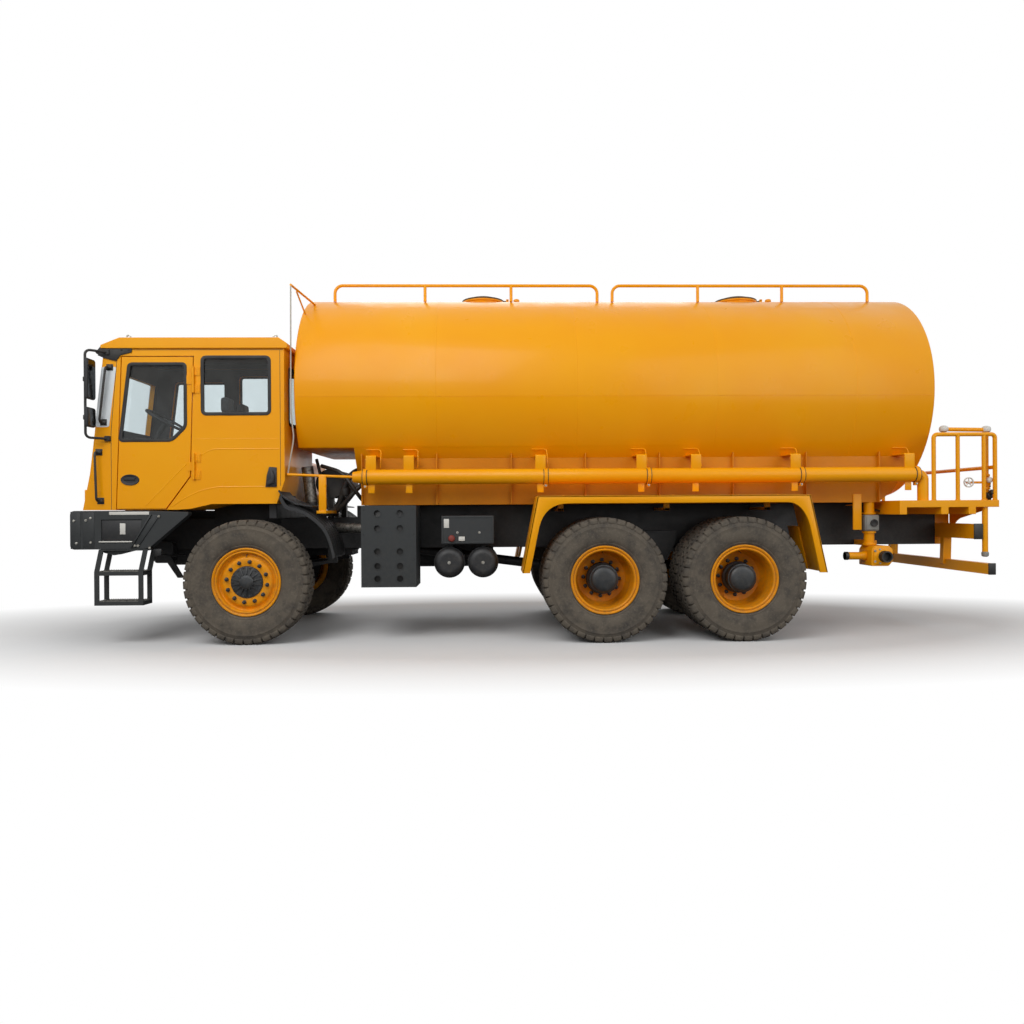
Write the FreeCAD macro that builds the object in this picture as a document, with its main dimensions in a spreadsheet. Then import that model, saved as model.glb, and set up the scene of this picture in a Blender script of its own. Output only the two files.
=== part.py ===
import FreeCAD, Part
import math
import os
import Sketcher
from FreeCAD import Placement, Rotation, Vector

# Three-axle tank truck with a narrow cab on its left side, in millimetres.
# +X points to the rear, +Y to the right-hand side and +Z up. The origin lies on the ground
# under the middle of the truck. Lengthwise places are measured back from the front axle,
# so places in front of that axle are negative. Widths are measured out from the centre line.

SIZES = {
    # Whole truck
    "front_overhang": 1815.0,
    "wheelbase": 3700.0,
    "tandem_spacing": 1450.0,
    "rear_overhang": 2775.0,
    "seat_gap": 0.3,
    "bearing_gap": 0.9,
    # Tyres and rims
    "tyre_radius": 646.0,
    "tyre_width": 340.0,
    "crown_width": 270.0,
    "shoulder_drop": 36.0,
    "shoulder_width": 330.0,
    "bead_radius": 318.0,
    "bead_width": 240.0,
    "front_wheel_side": 1170.0,
    "rear_wheel_side": 1262.0,
    "dual_spacing": 400.0,
    "rim_flange_radius": 356.0,
    "rim_flange_width": 16.0,
    "rim_wall": 18.0,
    "front_disc_place": 52.0,
    "front_disc_bulge": 34.0,
    "rim_disc_thickness": 16.0,
    "hub_radius": 168.0,
    "front_hub_proud": 40.0,
    "rear_hub_radius": 150.0,
    # Steering knuckles and front axle
    "kingpin_side": 905.0,
    "kingpin_radius": 42.0,
    "spindle_radius": 56.0,
    "spindle_clearance": 6.0,
    "beam_depth": 130.0,
    "beam_width": 110.0,
    "beam_drop": 70.0,
    "beam_half": 780.0,
    "eye_radius": 75.0,
    "eye_gap": 6.0,
    "brake_radius": 255.0,
    "brake_width": 60.0,
    # Chassis rails
    "rail_half": 450.0,
    "rail_bottom": 950.0,
    "rail_depth": 350.0,
    "rail_flange": 90.0,
    "rail_plate": 12.0,
    "rail_rear": 7675.0,
    "subrail_height": 135.0,
    "subrail_front": 1000.0,
    "subrail_rear": 6850.0,
    "subrail_width": 80.0,
    "crossmember_depth": 200.0,
    "crossmember_flange": 70.0,
    # Engine and driveline
    "engine_front": -1150.0,
    "engine_rear": 150.0,
    "engine_half": 350.0,
    "engine_bottom": 770.0,
    "engine_clearance": 15.0,
    "engine_foot": 90.0,
    "gearbox_rear": 900.0,
    "gearbox_half": 200.0,
    "gearbox_bottom": 860.0,
    "gearbox_top": 1250.0,
    "shaft_radius": 55.0,
    "flange_radius": 95.0,
    "flange_thickness": 40.0,
    # Rear axles and suspension
    "axle_tube_radius": 95.0,
    "diff_radius": 260.0,
    "diff_width": 320.0,
    "spring_side": 560.0,
    "spring_width": 100.0,
    "leaf_thickness": 26.0,
    "front_spring_side": 415.0,
    "front_spring_half": 760.0,
    # Tyre, hub and spindle details
    "sidewall_radius": 470.0,
    "flange_relief": 4.0,
    "hub_barrel_radius": 110.0,
    "hub_inner_end": 80.0,
    "hub_cap_thickness": 20.0,
    "hub_nose_radius": 95.0,
    "hub_shoulder": 14.0,
    "dish_rim_radius": 306.0,
    "dish_radius": 262.0,
    "dish_fall": 14.0,
    "rear_bore_depth": 150.0,
    "rear_hub_end": 292.0,
    "rear_hub_nose_radius": 118.0,
    "eye_height": 150.0,
    "knuckle_arm_thickness": 50.0,
    "knuckle_arm_half": 62.0,
    "knuckle_plate_gap": 9.0,
    "knuckle_plate_thickness": 30.0,
    "steering_arm_length": 205.0,
    "steering_arm_half": 34.0,
    "ball_eye_radius": 34.0,
    "ball_eye_height": 40.0,
    "ball_eye_overlap": 6.0,
    "ball_pin_radius": 14.0,
    "tie_rod_radius": 18.0,
    "beam_rise": 150.0,
    "beam_flange": 26.0,
    "beam_web_cut": 36.0,
    "brake_outer": 830.0,
    "brake_inner": 690.0,
    "rear_brake_radius": 222.0,
    "diff_chamfer": 60.0,
    "diff_nose_length": 430.0,
    "diff_nose_rise": 60.0,
    "diff_nose_radius": 90.0,
    "diff_nose_root": 150.0,
    "gearbox_outlet": 150.0,
    "front_spring_rise": 95.0,
    "hanger_length": 90.0,
    "hanger_bite": 40.0,
    "leaf_pack_middle": 90.0,
    "leaf_radius": 2600.0,
    "rear_spring_arch": 120.0,
    "spring_seat_height": 40.0,
    "spring_seat_half": 70.0,
    "spring_overrun": 60.0,
    "trunnion_foot": 90.0,
    "trunnion_head": 190.0,
    "trunnion_drop": 130.0,
    # Cab
    "cab_left": 1205.0,
    "cab_right": 70.0,
    "cab_wall": 55.0,
    "cab_floor_bottom": 1400.0,
    "cab_arch_bottom": 1457.0,
    "cab_floor_top": 1505.0,
    "cab_nose": -1703.0,
    "cab_chin": -1629.0,
    "cab_chin_height": 1771.0,
    "cab_cowl": -1595.0,
    "cab_cowl_height": 2043.0,
    "screen_base": -1572.0,
    "cowl_rise": 200.0,
    "screen_top": -1495.0,
    "screen_rise": 661.0,
    "cab_eave": -1478.0,
    "header_rise": 171.0,
    "cab_back": 378.0,
    "cab_heel": 295.0,
    "cab_heel_height": 1700.0,
    "arch_front": -728.0,
    "arch_knee": -604.0,
    "arch_rear": -377.0,
    "arch_rise": 7.0,
    "pillar_width": 95.0,
    "side_window_front": -469.0,
    "side_window_rear": 229.0,
    "side_window_bottom": 2392.0,
    "side_window_top": 2988.0,
    "window_radius": 45.0,
    "back_window_low": 2300.0,
    "glass_thickness": 8.0,
    "glass_inset": 14.0,
    "screen_frame": 34.0,
    # Cab inside
    "dash_foot": 60.0,
    "dash_under": 90.0,
    "dash_depth": 330.0,
    "dash_hood": 45.0,
    "driver_side": 800.0,
    "wheel_place": -1000.0,
    "wheel_rise": 326.0,
    "column_run": 430.0,
    "column_slope": 1.72,
    "column_radius": 24.0,
    "pedestal_half": 60.0,
    "steering_radius": 225.0,
    "steering_rim": 15.0,
    "steering_boss": 52.0,
    "steering_spoke": 11.0,
    "seat_front": -835.0,
    "seat_width": 480.0,
    "seat_depth": 490.0,
    "seat_height": 330.0,
    "seat_base_inset": 70.0,
    "cushion_thickness": 110.0,
    "back_thickness": 110.0,
    "back_height": 480.0,
    "seat_recline": 70.0,
    "seat_round": 34.0,
    "head_height": 190.0,
    "head_thickness": 90.0,
    "mate_side": 260.0,
    "mate_width": 420.0,
    "hinge_leaf": 70.0,
    "hinge_plate": 8.0,
    # Crossmembers
    "cross_second": 1400.0,
    "cross_third": 2350.0,
    "cross_fourth": 3050.0,
    "cross_fifth": 4390.0,
    "cross_sixth": 5900.0,
    # Cab roof
    "roof_front": -1503.0,
    "roof_lip_height": 35.0,
    "roof_crest_front": -1312.0,
    "roof_crest_rear": 328.0,
    "roof_back": 415.0,
    "roof_height": 112.0,
    "roof_side": 22.0,
    "roof_wall": 45.0,
    # Door
    "door_front_top": -1292.0,
    "door_front_bottom": -1355.0,
    "door_top": 2989.0,
    "door_bottom": 1412.0,
    "door_rear_top": -562.0,
    "door_rear_knee": -602.0,
    "door_knee_height": 1750.0,
    "door_rear_bottom": -852.0,
    "door_gap": 10.0,
    "door_thickness": 50.0,
    "door_glass_front_top": -1221.0,
    "door_glass_front_bottom": -1318.0,
    "door_glass_rear": -640.0,
    "door_glass_top": 2918.0,
    "door_glass_bottom": 2120.0,
    "door_glass_knee": -785.0,
    "door_glass_knee_height": 2262.0,
    "door_glass_radius": 38.0,
    "hinge_height_top": 2749.0,
    "hinge_height_bottom": 1850.0,
    "hinge_radius": 14.0,
    "hinge_length": 90.0,
    "hinge_out": 20.0,
    # Cab mounts, engine cover and grille
    "mount_front": -1330.0,
    "mount_rear": 180.0,
    "mount_beam_depth": 80.0,
    "mount_beam_half": 1080.0,
    "hood_gap": 25.0,
    "hood_rear": 300.0,
    "hood_top": 2030.0,
    "hood_fall": 40.0,
    "hood_round": 60.0,
    "grille_depth": 150.0,
    "grille_thickness": 30.0,
    "grille_inner": 190.0,
    "grille_outer": 1110.0,
    "grille_bottom": 1480.0,
    "grille_top": 1930.0,
    "grille_rim": 28.0,
    # Front bumper, lamps and steps
    "bumper_rear": -1560.0,
    "bumper_bottom": 993.0,
    "bumper_top": 1393.0,
    "bumper_half": 1250.0,
    "bumper_round": 45.0,
    "wing_foot": -1019.0,
    "wing_round": 160.0,
    "wing_tail": -605.0,
    "wing_drop": 18.0,
    "wing_tip": 30.0,
    "wing_shoulder": -1111.0,
    "wing_thickness": 110.0,
    "panel_margin": 63.0,
    "panel_depth": 14.0,
    "lamp_pocket_depth": 70.0,
    "lamp_depth": 60.0,
    "lamp_inner": 800.0,
    "lamp_outer": 1090.0,
    "lamp_bottom": 1110.0,
    "lamp_top": 1270.0,
    "tail_lamp_depth": 45.0,
    "tail_lamp_inner": 900.0,
    "tail_lamp_width": 260.0,
    "tail_lamp_height": 90.0,
    "step_front": -1557.0,
    "step_rear": -1058.0,
    "step_outer": 1280.0,
    "step_inner": 1060.0,
    "step_bar": 50.0,
    "step_plate": 12.0,
    "step_middle_height": 764.0,
    "step_low_height": 456.0,
    "tread_depth": 40.0,
    "step_lean": 49.0,
    # Front mudguards, visor, mirrors and grab rails
    "mudguard_thickness": 24.0,
    "guard_top_place": 352.0,
    "guard_top_height": 1540.0,
    "guard_bend_place": 555.0,
    "guard_bend_height": 1441.0,
    "guard_corner_place": 721.0,
    "guard_corner_height": 1409.0,
    "guard_middle_place": 800.0,
    "guard_middle_height": 1178.0,
    "guard_foot_place": 925.0,
    "guard_foot_height": 905.0,
    "guard_outer": 1250.0,
    "guard_inner": 660.0,
    "guard_stay_width": 60.0,
    "splash_rear": 130.0,
    "splash_thickness": 14.0,
    "splash_bite": 60.0,
    # Steering gear
    "gear_front": -1250.0,
    "gear_rear": -1035.0,
    "gear_low": 805.0,
    "gear_top": 1040.0,
    "gear_width": 110.0,
    "gear_round": 40.0,
    "gear_arm_width": 30.0,
    "gear_arm_half": 32.0,
    "gear_arm_inset": 60.0,
    "gear_arm_end": -945.0,
    "gear_arm_low": 640.0,
    "visor_reach": 60.0,
    "visor_fall": 40.0,
    "visor_thickness": 14.0,
    "mirror_reach_left": 160.0,
    "mirror_reach_right": 380.0,
    "mirror_arm_front": -1590.0,
    "mirror_arm_foot": -1440.0,
    "mirror_arm_bottom": 2140.0,
    "mirror_arm_top": 3035.0,
    "mirror_tube": 13.0,
    "mirror_pad": 28.0,
    "mirror_bend": 50.0,
    "mirror_place": -1566.0,
    "mirror_depth": 44.0,
    "mirror_width": 175.0,
    "mirror_round": 30.0,
    "mirror_tall_bottom": 2526.0,
    "mirror_tall_top": 2941.0,
    "mirror_small_bottom": 2243.0,
    "mirror_small_top": 2445.0,
    "grab_reach": 60.0,
    "grab_radius": 12.0,
    "grab_bend": 36.0,
    "grab_low_bottom": 1495.0,
    "grab_low_top": 2001.0,
    "grab_low_foot": -1535.0,
    "grab_low_head": -1550.0,
    "grab_high_bottom": 2310.0,
    "grab_high_top": 2880.0,
    "grab_high_foot": -1500.0,
    "grab_high_head": -1433.0,
    # Air filter and duct
    "filter_place": 700.0,
    "filter_height": 1690.0,
    "filter_half": 460.0,
    "filter_radius": 165.0,
    "filter_post": 30.0,
    "duct_side": 580.0,
    "duct_top_place": 470.0,
    "duct_top_height": 1860.0,
    "duct_low_place": 530.0,
    "duct_radius": 62.0,
    "duct_bend": 95.0,
    # Tank
    "tank_radius": 1160.0,
    "tank_height": 2675.0,
    "tank_front": 431.0,
    "tank_rear": 7325.0,
    "tank_dish": 40.0,
    "tank_dish_share": 0.6,
    "tank_dish_radius": 2400.0,
    "tank_knuckle": 30.0,
    "notch_rear": 1061.0,
    "notch_height": 2054.0,
    "manhole_front": 2446.0,
    "manhole_rear": 5492.0,
    "neck_radius": 238.0,
    "neck_height": 24.0,
    "neck_bite": 60.0,
    "breather_place": 400.0,
    "breather_radius": 38.0,
    "breather_height": 70.0,
    "lid_radius": 250.0,
    "lid_rim": 14.0,
    "lid_dome": 32.0,
    "lid_crown": 150.0,
    "lid_knuckle": 16.0,
    "lid_hinge_place": 290.0,
    "lid_hinge_rise": 12.0,
    "lid_pin": 8.0,
    "lid_ear": 16.0,
    "lid_ear_side": 60.0,
    "lid_ear_gap": 5.0,
    "top_rail_side": 400.0,
    "top_rail_radius": 17.5,
    "top_rail_height": 3955.0,
    "top_rail_bend": 90.0,
    "top_rail_front": 757.0,
    "top_rail_front_end": 3765.0,
    "top_rail_rear_start": 3939.0,
    "top_rail_rear": 6916.0,
    "top_post_first": 1785.0,
    "top_post_second": 2772.0,
    "top_post_third": 4932.0,
    "top_post_fourth": 5913.0,
    # Saddle under the tank
    "saddle_front": 1130.0,
    "saddle_rear_foot": 6790.0,
    "saddle_rear_knee": 6950.0,
    "saddle_knee_height": 1560.0,
    "saddle_rear": 7085.0,
    "saddle_tail_height": 1790.0,
    "saddle_half": 900.0,
    "saddle_plate": 14.0,
    "saddle_rib": 50.0,
    "saddle_top": 1990.0,
    # Side pipes and sight line
    "pipe_side": 1150.0,
    "pipe_height": 1715.0,
    "pipe_radius": 97.5,
    "pipe_front": 1198.0,
    "pipe_rear": 7090.0,
    "elbow_reach": 62.0,
    "elbow_radius": 56.0,
    "elbow_bend": 60.0,
    "pipe_cone_length": 120.0,
    "pipe_cone_radius": 55.0,
    "clamp_first": 1190.0,
    "clamp_second": 3090.0,
    "clamp_third": 4180.0,
    "clamp_fourth": 5815.0,
    "clamp_width": 36.0,
    "clamp_height": 10.0,
    "strap_first": 1271.0,
    "strap_second": 1667.0,
    "strap_third": 3052.0,
    "strap_fourth": 4122.0,
    "strap_fifth": 4702.0,
    "strap_sixth": 5765.0,
    "strap_seventh": 6990.0,
    "strap_width": 108.0,
    "strap_top": 1962.0,
    "strap_bottom": 1890.0,
    "strap_thickness": 34.0,
    "strap_reach": 42.0,
    "strap_bite": 12.0,
    "strap_relief": 1.2,
    "sight_place": 440.0,
    "sight_root_place": 560.0,
    "sight_top": 3700.0,
    "sight_rise": 55.0,
    "sight_bottom": 1800.0,
    "sight_radius": 7.0,
    "sight_arm_radius": 12.5,
    "sight_post_place": 572.0,
    "sight_post_half": 36.0,
    "sight_post_rise": 10.0,
    # Rear fenders
    "fender_front_foot": 2851.0,
    "fender_front_height": 745.0,
    "fender_front": 2990.0,
    "fender_rear": 5809.0,
    "fender_rear_foot": 5992.0,
    "fender_rear_height": 725.0,
    "fender_top": 1560.0,
    "fender_round": 130.0,
    "fender_sheet": 14.0,
    "fender_band": 85.0,
    "fender_inner_round": 280.0,
    "fender_band_thickness": 30.0,
    "fender_outer": 1455.0,
    "fender_inner": 955.0,
    "flap_inner": 700.0,
    "flap_top": 1425.0,
    "flap_thickness": 14.0,
    "fender_stay_first": 3250.0,
    "fender_stay_second": 4400.0,
    "fender_stay_third": 5500.0,
    "fender_stay": 60.0,
    # Boxes and tanks beside the rails
    "box_stay": 60.0,
    "exhaust_front": 1168.0,
    "exhaust_rear": 1742.0,
    "exhaust_bottom": 574.0,
    "exhaust_top": 1430.0,
    "exhaust_outer": 1215.0,
    "exhaust_inner": 740.0,
    "exhaust_round": 40.0,
    "exhaust_hole": 40.0,
    "exhaust_hole_depth": 45.0,
    "exhaust_hole_start": 160.0,
    "exhaust_hole_pitch_x": 245.0,
    "exhaust_hole_low": 95.0,
    "exhaust_hole_pitch_z": 168.0,
    "battery_front": 2003.0,
    "battery_rear": 2557.0,
    "battery_bottom": 1019.0,
    "battery_top": 1317.0,
    "battery_round": 12.0,
    "battery_outer": 1170.0,
    "battery_inner": 640.0,
    "air_tank_front": 2084.0,
    "air_tank_rear": 2440.0,
    "air_tank_radius": 160.0,
    "air_tank_height": 823.0,
    "air_tank_dome": 70.0,
    "fuel_front": 1250.0,
    "fuel_rear": 2550.0,
    "fuel_inner": 560.0,
    "fuel_outer": 1200.0,
    "fuel_bottom": 660.0,
    "fuel_top": 1240.0,
    "fuel_round": 90.0,
    "fuel_cap": 60.0,
    "fuel_cap_height": 35.0,
    "fuel_cap_place": 250.0,
    # Rear platform, railing, pipework and bumpers
    "platform_front": 6854.0,
    "platform_top": 1450.0,
    "platform_thickness": 75.0,
    "platform_half": 1240.0,
    "platform_beam": 80.0,
    "platform_beam_second": 7300.0,
    "gusset_place": 7842.0,
    "gusset_bottom": 1040.0,
    "gusset_knee": 560.0,
    "gusset_knee_height": 1230.0,
    "gusset_round": 260.0,
    "gusset_tip": 1080.0,
    "gusset_tip_height": 1335.0,
    "gusset_thickness": 14.0,
    "railing_front": 7236.0,
    "railing_inset": 28.0,
    "railing_top": 2150.0,
    "railing_radius": 22.0,
    "railing_bend": 80.0,
    "railing_post_second": 7495.0,
    "railing_post_third": 7776.0,
    "railing_cross_height": 1800.0,
    "drain_place": 7800.0,
    "drain_side": 1190.0,
    "drain_radius": 29.0,
    "drain_bottom": 870.0,
    "drain_cap": 36.0,
    "drain_cap_height": 26.0,
    "corner_place": 7850.0,
    "corner_side": 1120.0,
    "corner_radius": 22.0,
    "corner_top": 2110.0,
    "tap_height": 1640.0,
    "tap_body": 44.0,
    "tap_body_half": 70.0,
    "valve_place": 7613.0,
    "valve_arm": 13.0,
    "valve_stem_length": 34.0,
    "hand_wheel": 58.0,
    "hand_wheel_width": 16.0,
    "pump_front": 6665.0,
    "pump_rear": 6901.0,
    "pump_outer": 1000.0,
    "pump_inner": 700.0,
    "pump_bottom": 739.0,
    "pump_top": 959.0,
    "port_place": 6796.0,
    "port_height": 844.0,
    "port_radius": 62.0,
    "port_bore": 47.0,
    "port_length": 90.0,
    "riser_place": 6714.0,
    "riser_side": 840.0,
    "riser_radius": 55.0,
    "valve_block_half": 79.0,
    "valve_block_bottom": 1121.0,
    "valve_block_top": 1296.0,
    "branch_length": 230.0,
    "branch_radius": 38.0,
    "rear_beam_depth": 90.0,
    "rear_beam_half": 1200.0,
    "rear_beam_bottom": 1035.0,
    "rear_beam_height": 160.0,
    "underrun_depth": 70.0,
    "underrun_half": 1430.0,
    "underrun_bottom": 675.0,
    "underrun_height": 113.0,
    "hanger_side": 560.0,
    "hanger_thickness": 22.0,
    "tail_plate_depth": 160.0,
    "tail_plate_foot": 60.0,
    "tail_plate_thickness": 14.0,
}


class Size:
    """A length and the sheet formula that gives it, so that sums of sizes stay bound to the sheet."""

    def __init__(self, value, formula):
        self.value = value
        self.formula = formula

    def join(self, other, sign, value):
        return Size(value, f"({self.formula} {sign} {size_of(other).formula})")

    def __add__(self, other):
        return self.join(other, "+", self.value + size_of(other).value)

    def __radd__(self, other):
        return size_of(other) + self

    def __sub__(self, other):
        return self.join(other, "-", self.value - size_of(other).value)

    def __rsub__(self, other):
        return size_of(other) - self

    def __mul__(self, other):
        return self.join(other, "*", self.value * size_of(other).value)

    def __rmul__(self, other):
        return size_of(other) * self

    def __truediv__(self, other):
        return self.join(other, "/", self.value / size_of(other).value)

    def __neg__(self):
        return 0 - self


def size_of(number):
    if isinstance(number, Size):
        return number
    return Size(float(number), f"{number}")


def root(number):
    return Size(math.sqrt(number.value), f"sqrt({number.formula})")


class Dimensions:
    """The driving dimensions, kept in a spreadsheet whose cells have the same names."""

    def __init__(self, document, values):
        sheet = document.addObject("Spreadsheet::Sheet", "Sizes")
        for row, (name, value) in enumerate(values.items(), start=1):
            sheet.set(f"A{row}", name)
            sheet.set(f"B{row}", str(value))
            sheet.setAlias(f"B{row}", name)
            setattr(self, name, Size(value, f"Sizes.{name}"))


doc = FreeCAD.newDocument("TankTruck")
S = Dimensions(doc, SIZES)
doc.recompute()

FRONT_AXLE = S.front_overhang - (S.front_overhang + S.wheelbase + S.tandem_spacing + S.rear_overhang) / 2
MID_AXLE = FRONT_AXLE + S.wheelbase
REAR_AXLE = MID_AXLE + S.tandem_spacing
AXLE_HEIGHT = S.tyre_radius
RAIL_TOP = S.rail_bottom + S.rail_depth
DECK = RAIL_TOP + S.subrail_height
RAIL_FRONT = S.bumper_rear + S.seat_gap
REAR_END = REAR_AXLE + S.rear_overhang

# Turns that carry a cylinder's own axis to X, Y or Z, and a sketch to its plane.
AXIS_TURN = {
    "X": Rotation(Vector(0, 1, 0), 90),
    "Y": Rotation(Vector(1, 0, 0), -90),
    "Z": Rotation(),
}
PLANE_TURN = {
    "XY": Rotation(),
    "XZ": Rotation(Vector(1, 0, 0), Vector(0, 0, 1), Vector(0, -1, 0)),
    "YZ": Rotation(Vector(0, 1, 0), Vector(0, 0, 1), Vector(1, 0, 0)),
}
PLANE_NORMAL = {"XY": Vector(0, 0, 1), "XZ": Vector(0, 1, 0), "YZ": Vector(1, 0, 0)}
PLANE_OFFSET = {"XY": "z", "XZ": "y", "YZ": "x"}


def back(distance):
    """Place along X of a point that lies this far behind the front axle."""
    return FRONT_AXLE + distance


def bind(item, path, value):
    item.setExpression(path, size_of(value).formula)


def place(item, x, y, z, turn=None):
    item.Placement = Placement(Vector(), turn or Rotation())
    bind(item, ".Placement.Base.x", x)
    bind(item, ".Placement.Base.y", y)
    bind(item, ".Placement.Base.z", z)
    return item


def point(x, y, z):
    return Vector(size_of(x).value, size_of(y).value, size_of(z).value)


def box(name, x, y, z):
    """Block between the low and high value of each axis."""
    item = doc.addObject("Part::Box", name)
    bind(item, "Length", x[1] - x[0])
    bind(item, "Width", y[1] - y[0])
    bind(item, "Height", z[1] - z[0])
    return place(item, x[0], y[0], z[0])


def cylinder(name, axis, start, radius, length):
    item = doc.addObject("Part::Cylinder", name)
    bind(item, "Radius", radius)
    bind(item, "Height", length)
    return place(item, *start, AXIS_TURN[axis])


def cone(name, axis, start, first_radius, last_radius, length):
    item = doc.addObject("Part::Cone", name)
    bind(item, "Radius1", first_radius)
    bind(item, "Radius2", last_radius)
    bind(item, "Height", length)
    return place(item, *start, AXIS_TURN[axis])


def fuse(name, *items):
    if len(items) == 1:
        items[0].Label = name
        return items[0]
    item = doc.addObject("Part::MultiFuse", name)
    item.Shapes = list(items)
    return item


def cut(name, base, *tools):
    item = doc.addObject("Part::Cut", name)
    item.Base = base
    item.Tool = tools[0] if len(tools) == 1 else fuse(name + "_tools", *tools)
    return item


def ring(name, axis, start, radius, hole, length):
    outer = cylinder(name + "_outer", axis, start, radius, length)
    return cut(name, outer, cylinder(name + "_hole", axis, start, hole, length))


def mirror(name, source):
    """Copy on the other side of the centre line."""
    item = doc.addObject("Part::Mirroring", name)
    item.Source = source
    item.Normal = Vector(0, 1, 0)
    return item


def box_both(name, x, y, z):
    """The same block on both sides of the centre line. Y runs outwards."""
    left = box(name + "_left", x, (-size_of(y[1]), -size_of(y[0])), z)
    return [left, mirror(name + "_right", left)]


def corner_arc(before, corner, after, radius):
    """Arc of this radius, tangent to both runs that meet at the corner."""
    to_before = (before - corner).normalize()
    to_after = (after - corner).normalize()
    half = to_before.getAngle(to_after) / 2
    bisector = (to_before + to_after).normalize()
    reach = radius / math.tan(half)
    middle = corner + bisector * (radius / math.sin(half) - radius)
    return Part.Arc(corner + to_before * reach, middle, corner + to_after * reach)


def draw_outline(sketch, outline):
    """Closed outline. A point with a third value has its corner rounded to that radius."""
    flat = [point(p[0], p[1], 0) for p in outline]
    radii = [size_of(p[2]).value if len(p) > 2 else 0 for p in outline]
    count = len(outline)
    if not any(radii):
        for i in range(count):
            sketch.addGeometry(Part.LineSegment(flat[i], flat[(i + 1) % count]))
        for i in range(count):
            sketch.addConstraint(Sketcher.Constraint("Coincident", i, 2, (i + 1) % count, 1))
            for kind, value in zip(("DistanceX", "DistanceY"), outline[i]):
                place_rule = Sketcher.Constraint(kind, -1, 1, i, 1, size_of(value).value)
                bind(sketch, f"Constraints[{sketch.addConstraint(place_rule)}]", value)
        return
    arcs = [
        corner_arc(flat[i - 1], flat[i], flat[(i + 1) % count], radii[i]) if radii[i] else None
        for i in range(count)
    ]
    for i in range(count):
        following = (i + 1) % count
        start = arcs[i].value(arcs[i].LastParameter) if arcs[i] else flat[i]
        end = arcs[following].value(arcs[following].FirstParameter) if arcs[following] else flat[following]
        if arcs[i]:
            sketch.addGeometry(arcs[i])
        if (end - start).Length > 0.001:
            sketch.addGeometry(Part.LineSegment(start, end))


def prism(name, plane, outline, start, depth):
    """Solid with this outline in a plane, from start and as deep as depth along the plane's axis."""
    sketch = doc.addObject("Sketcher::SketchObject", name + "_outline")
    draw_outline(sketch, outline)
    sketch.Placement = Placement(Vector(), PLANE_TURN[plane])
    bind(sketch, f".Placement.Base.{PLANE_OFFSET[plane]}", start)
    item = doc.addObject("Part::Extrusion", name)
    item.Base = sketch
    item.DirMode = "Custom"
    item.Dir = PLANE_NORMAL[plane]
    item.Solid = True
    bind(item, "LengthFwd", depth)
    return item


def turned(name, axis, centre, outline):
    """Body turned about X or Y. Its outline is a list of radius and place along the axis."""
    body = doc.addObject("PartDesign::Body", name)
    sketch = body.newObject("Sketcher::SketchObject", name + "_profile")
    plane = [f for f in body.Origin.OriginFeatures if f.Role == "XY_Plane"][0]
    sketch.AttachmentSupport = [(plane, "")]
    sketch.MapMode = "FlatFace"
    flipped = outline if axis == "Y" else [(p[1], p[0], *p[2:]) for p in outline]
    draw_outline(sketch, flipped)
    turn = body.newObject("PartDesign::Revolution", name + "_turn")
    turn.Profile = sketch
    turn.ReferenceAxis = (sketch, ["V_Axis" if axis == "Y" else "H_Axis"])
    turn.Angle = 360
    return place(body, *centre)


def rod(name, first, last, radius):
    """Straight round bar between two points."""
    run = point(*last) - point(*first)
    squares = [(b - a) * (b - a) for a, b in zip(map(size_of, first), map(size_of, last))]
    item = doc.addObject("Part::Cylinder", name)
    bind(item, "Radius", radius)
    bind(item, "Height", root(squares[0] + squares[1] + squares[2]))
    return place(item, *first, Rotation(Vector(0, 0, 1), run))


def bent_tube(name, places, radius, bend):
    """Round tube along straight runs joined by arcs of one bend radius."""
    route = [point(*p) for p in places]
    edges = []
    start = route[0]
    for before, corner, after in zip(route, route[1:], route[2:]):
        arc = corner_arc(before, corner, after, size_of(bend).value)
        edges.append(Part.LineSegment(start, arc.value(arc.FirstParameter)).toShape())
        edges.append(arc.toShape())
        start = arc.value(arc.LastParameter)
    edges.append(Part.LineSegment(start, route[-1]).toShape())
    section = Part.Wire(Part.makeCircle(size_of(radius).value, route[0], route[1] - route[0]))
    item = doc.addObject("Part::Feature", name)
    item.Shape = Part.Wire(edges).makePipeShell([section], True, False)
    return item


def shrink(outline, distance):
    """The same outline with each corner moved this far towards the middle along both axes."""
    middle = [sum(size_of(p[k]).value for p in outline) / len(outline) for k in (0, 1)]
    moved = []
    for p in outline:
        inner = [v - distance if size_of(v).value > m else v + distance for v, m in zip(p, middle)]
        moved.append((*inner, *p[2:]))
    return moved


def rectangle(low_a, high_a, low_b, high_b, radius=None):
    corners = [(low_a, low_b), (high_a, low_b), (high_a, high_b), (low_a, high_b)]
    return corners if radius is None else [(*c, radius) for c in corners]


NODES = {}


def node(name, *items):
    """Name a finished sub-part. Its solids become one shape."""
    item = fuse(name, *items)
    item.Label = name
    NODES[name] = item
    return item


def tyre(name, x, y):
    half = S.tyre_width / 2
    bead = S.bead_width / 2
    return turned(name, "Y", (x, y, AXLE_HEIGHT), [
        (S.bead_radius, -bead),
        (S.rim_flange_radius + S.flange_relief, -bead),
        (S.sidewall_radius, -half),
        (S.tyre_radius - S.shoulder_drop, -S.shoulder_width / 2),
        (S.tyre_radius, -S.crown_width / 2),
        (S.tyre_radius, S.crown_width / 2),
        (S.tyre_radius - S.shoulder_drop, S.shoulder_width / 2),
        (S.sidewall_radius, half),
        (S.rim_flange_radius + S.flange_relief, bead),
        (S.bead_radius, bead),
    ])


RIM_SEAT = S.bead_radius - S.seat_gap
RIM_INSIDE = RIM_SEAT - S.rim_wall
RIM_HALF = S.bead_width / 2 + S.seat_gap
RIM_EDGE = RIM_HALF + S.rim_flange_width


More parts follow.
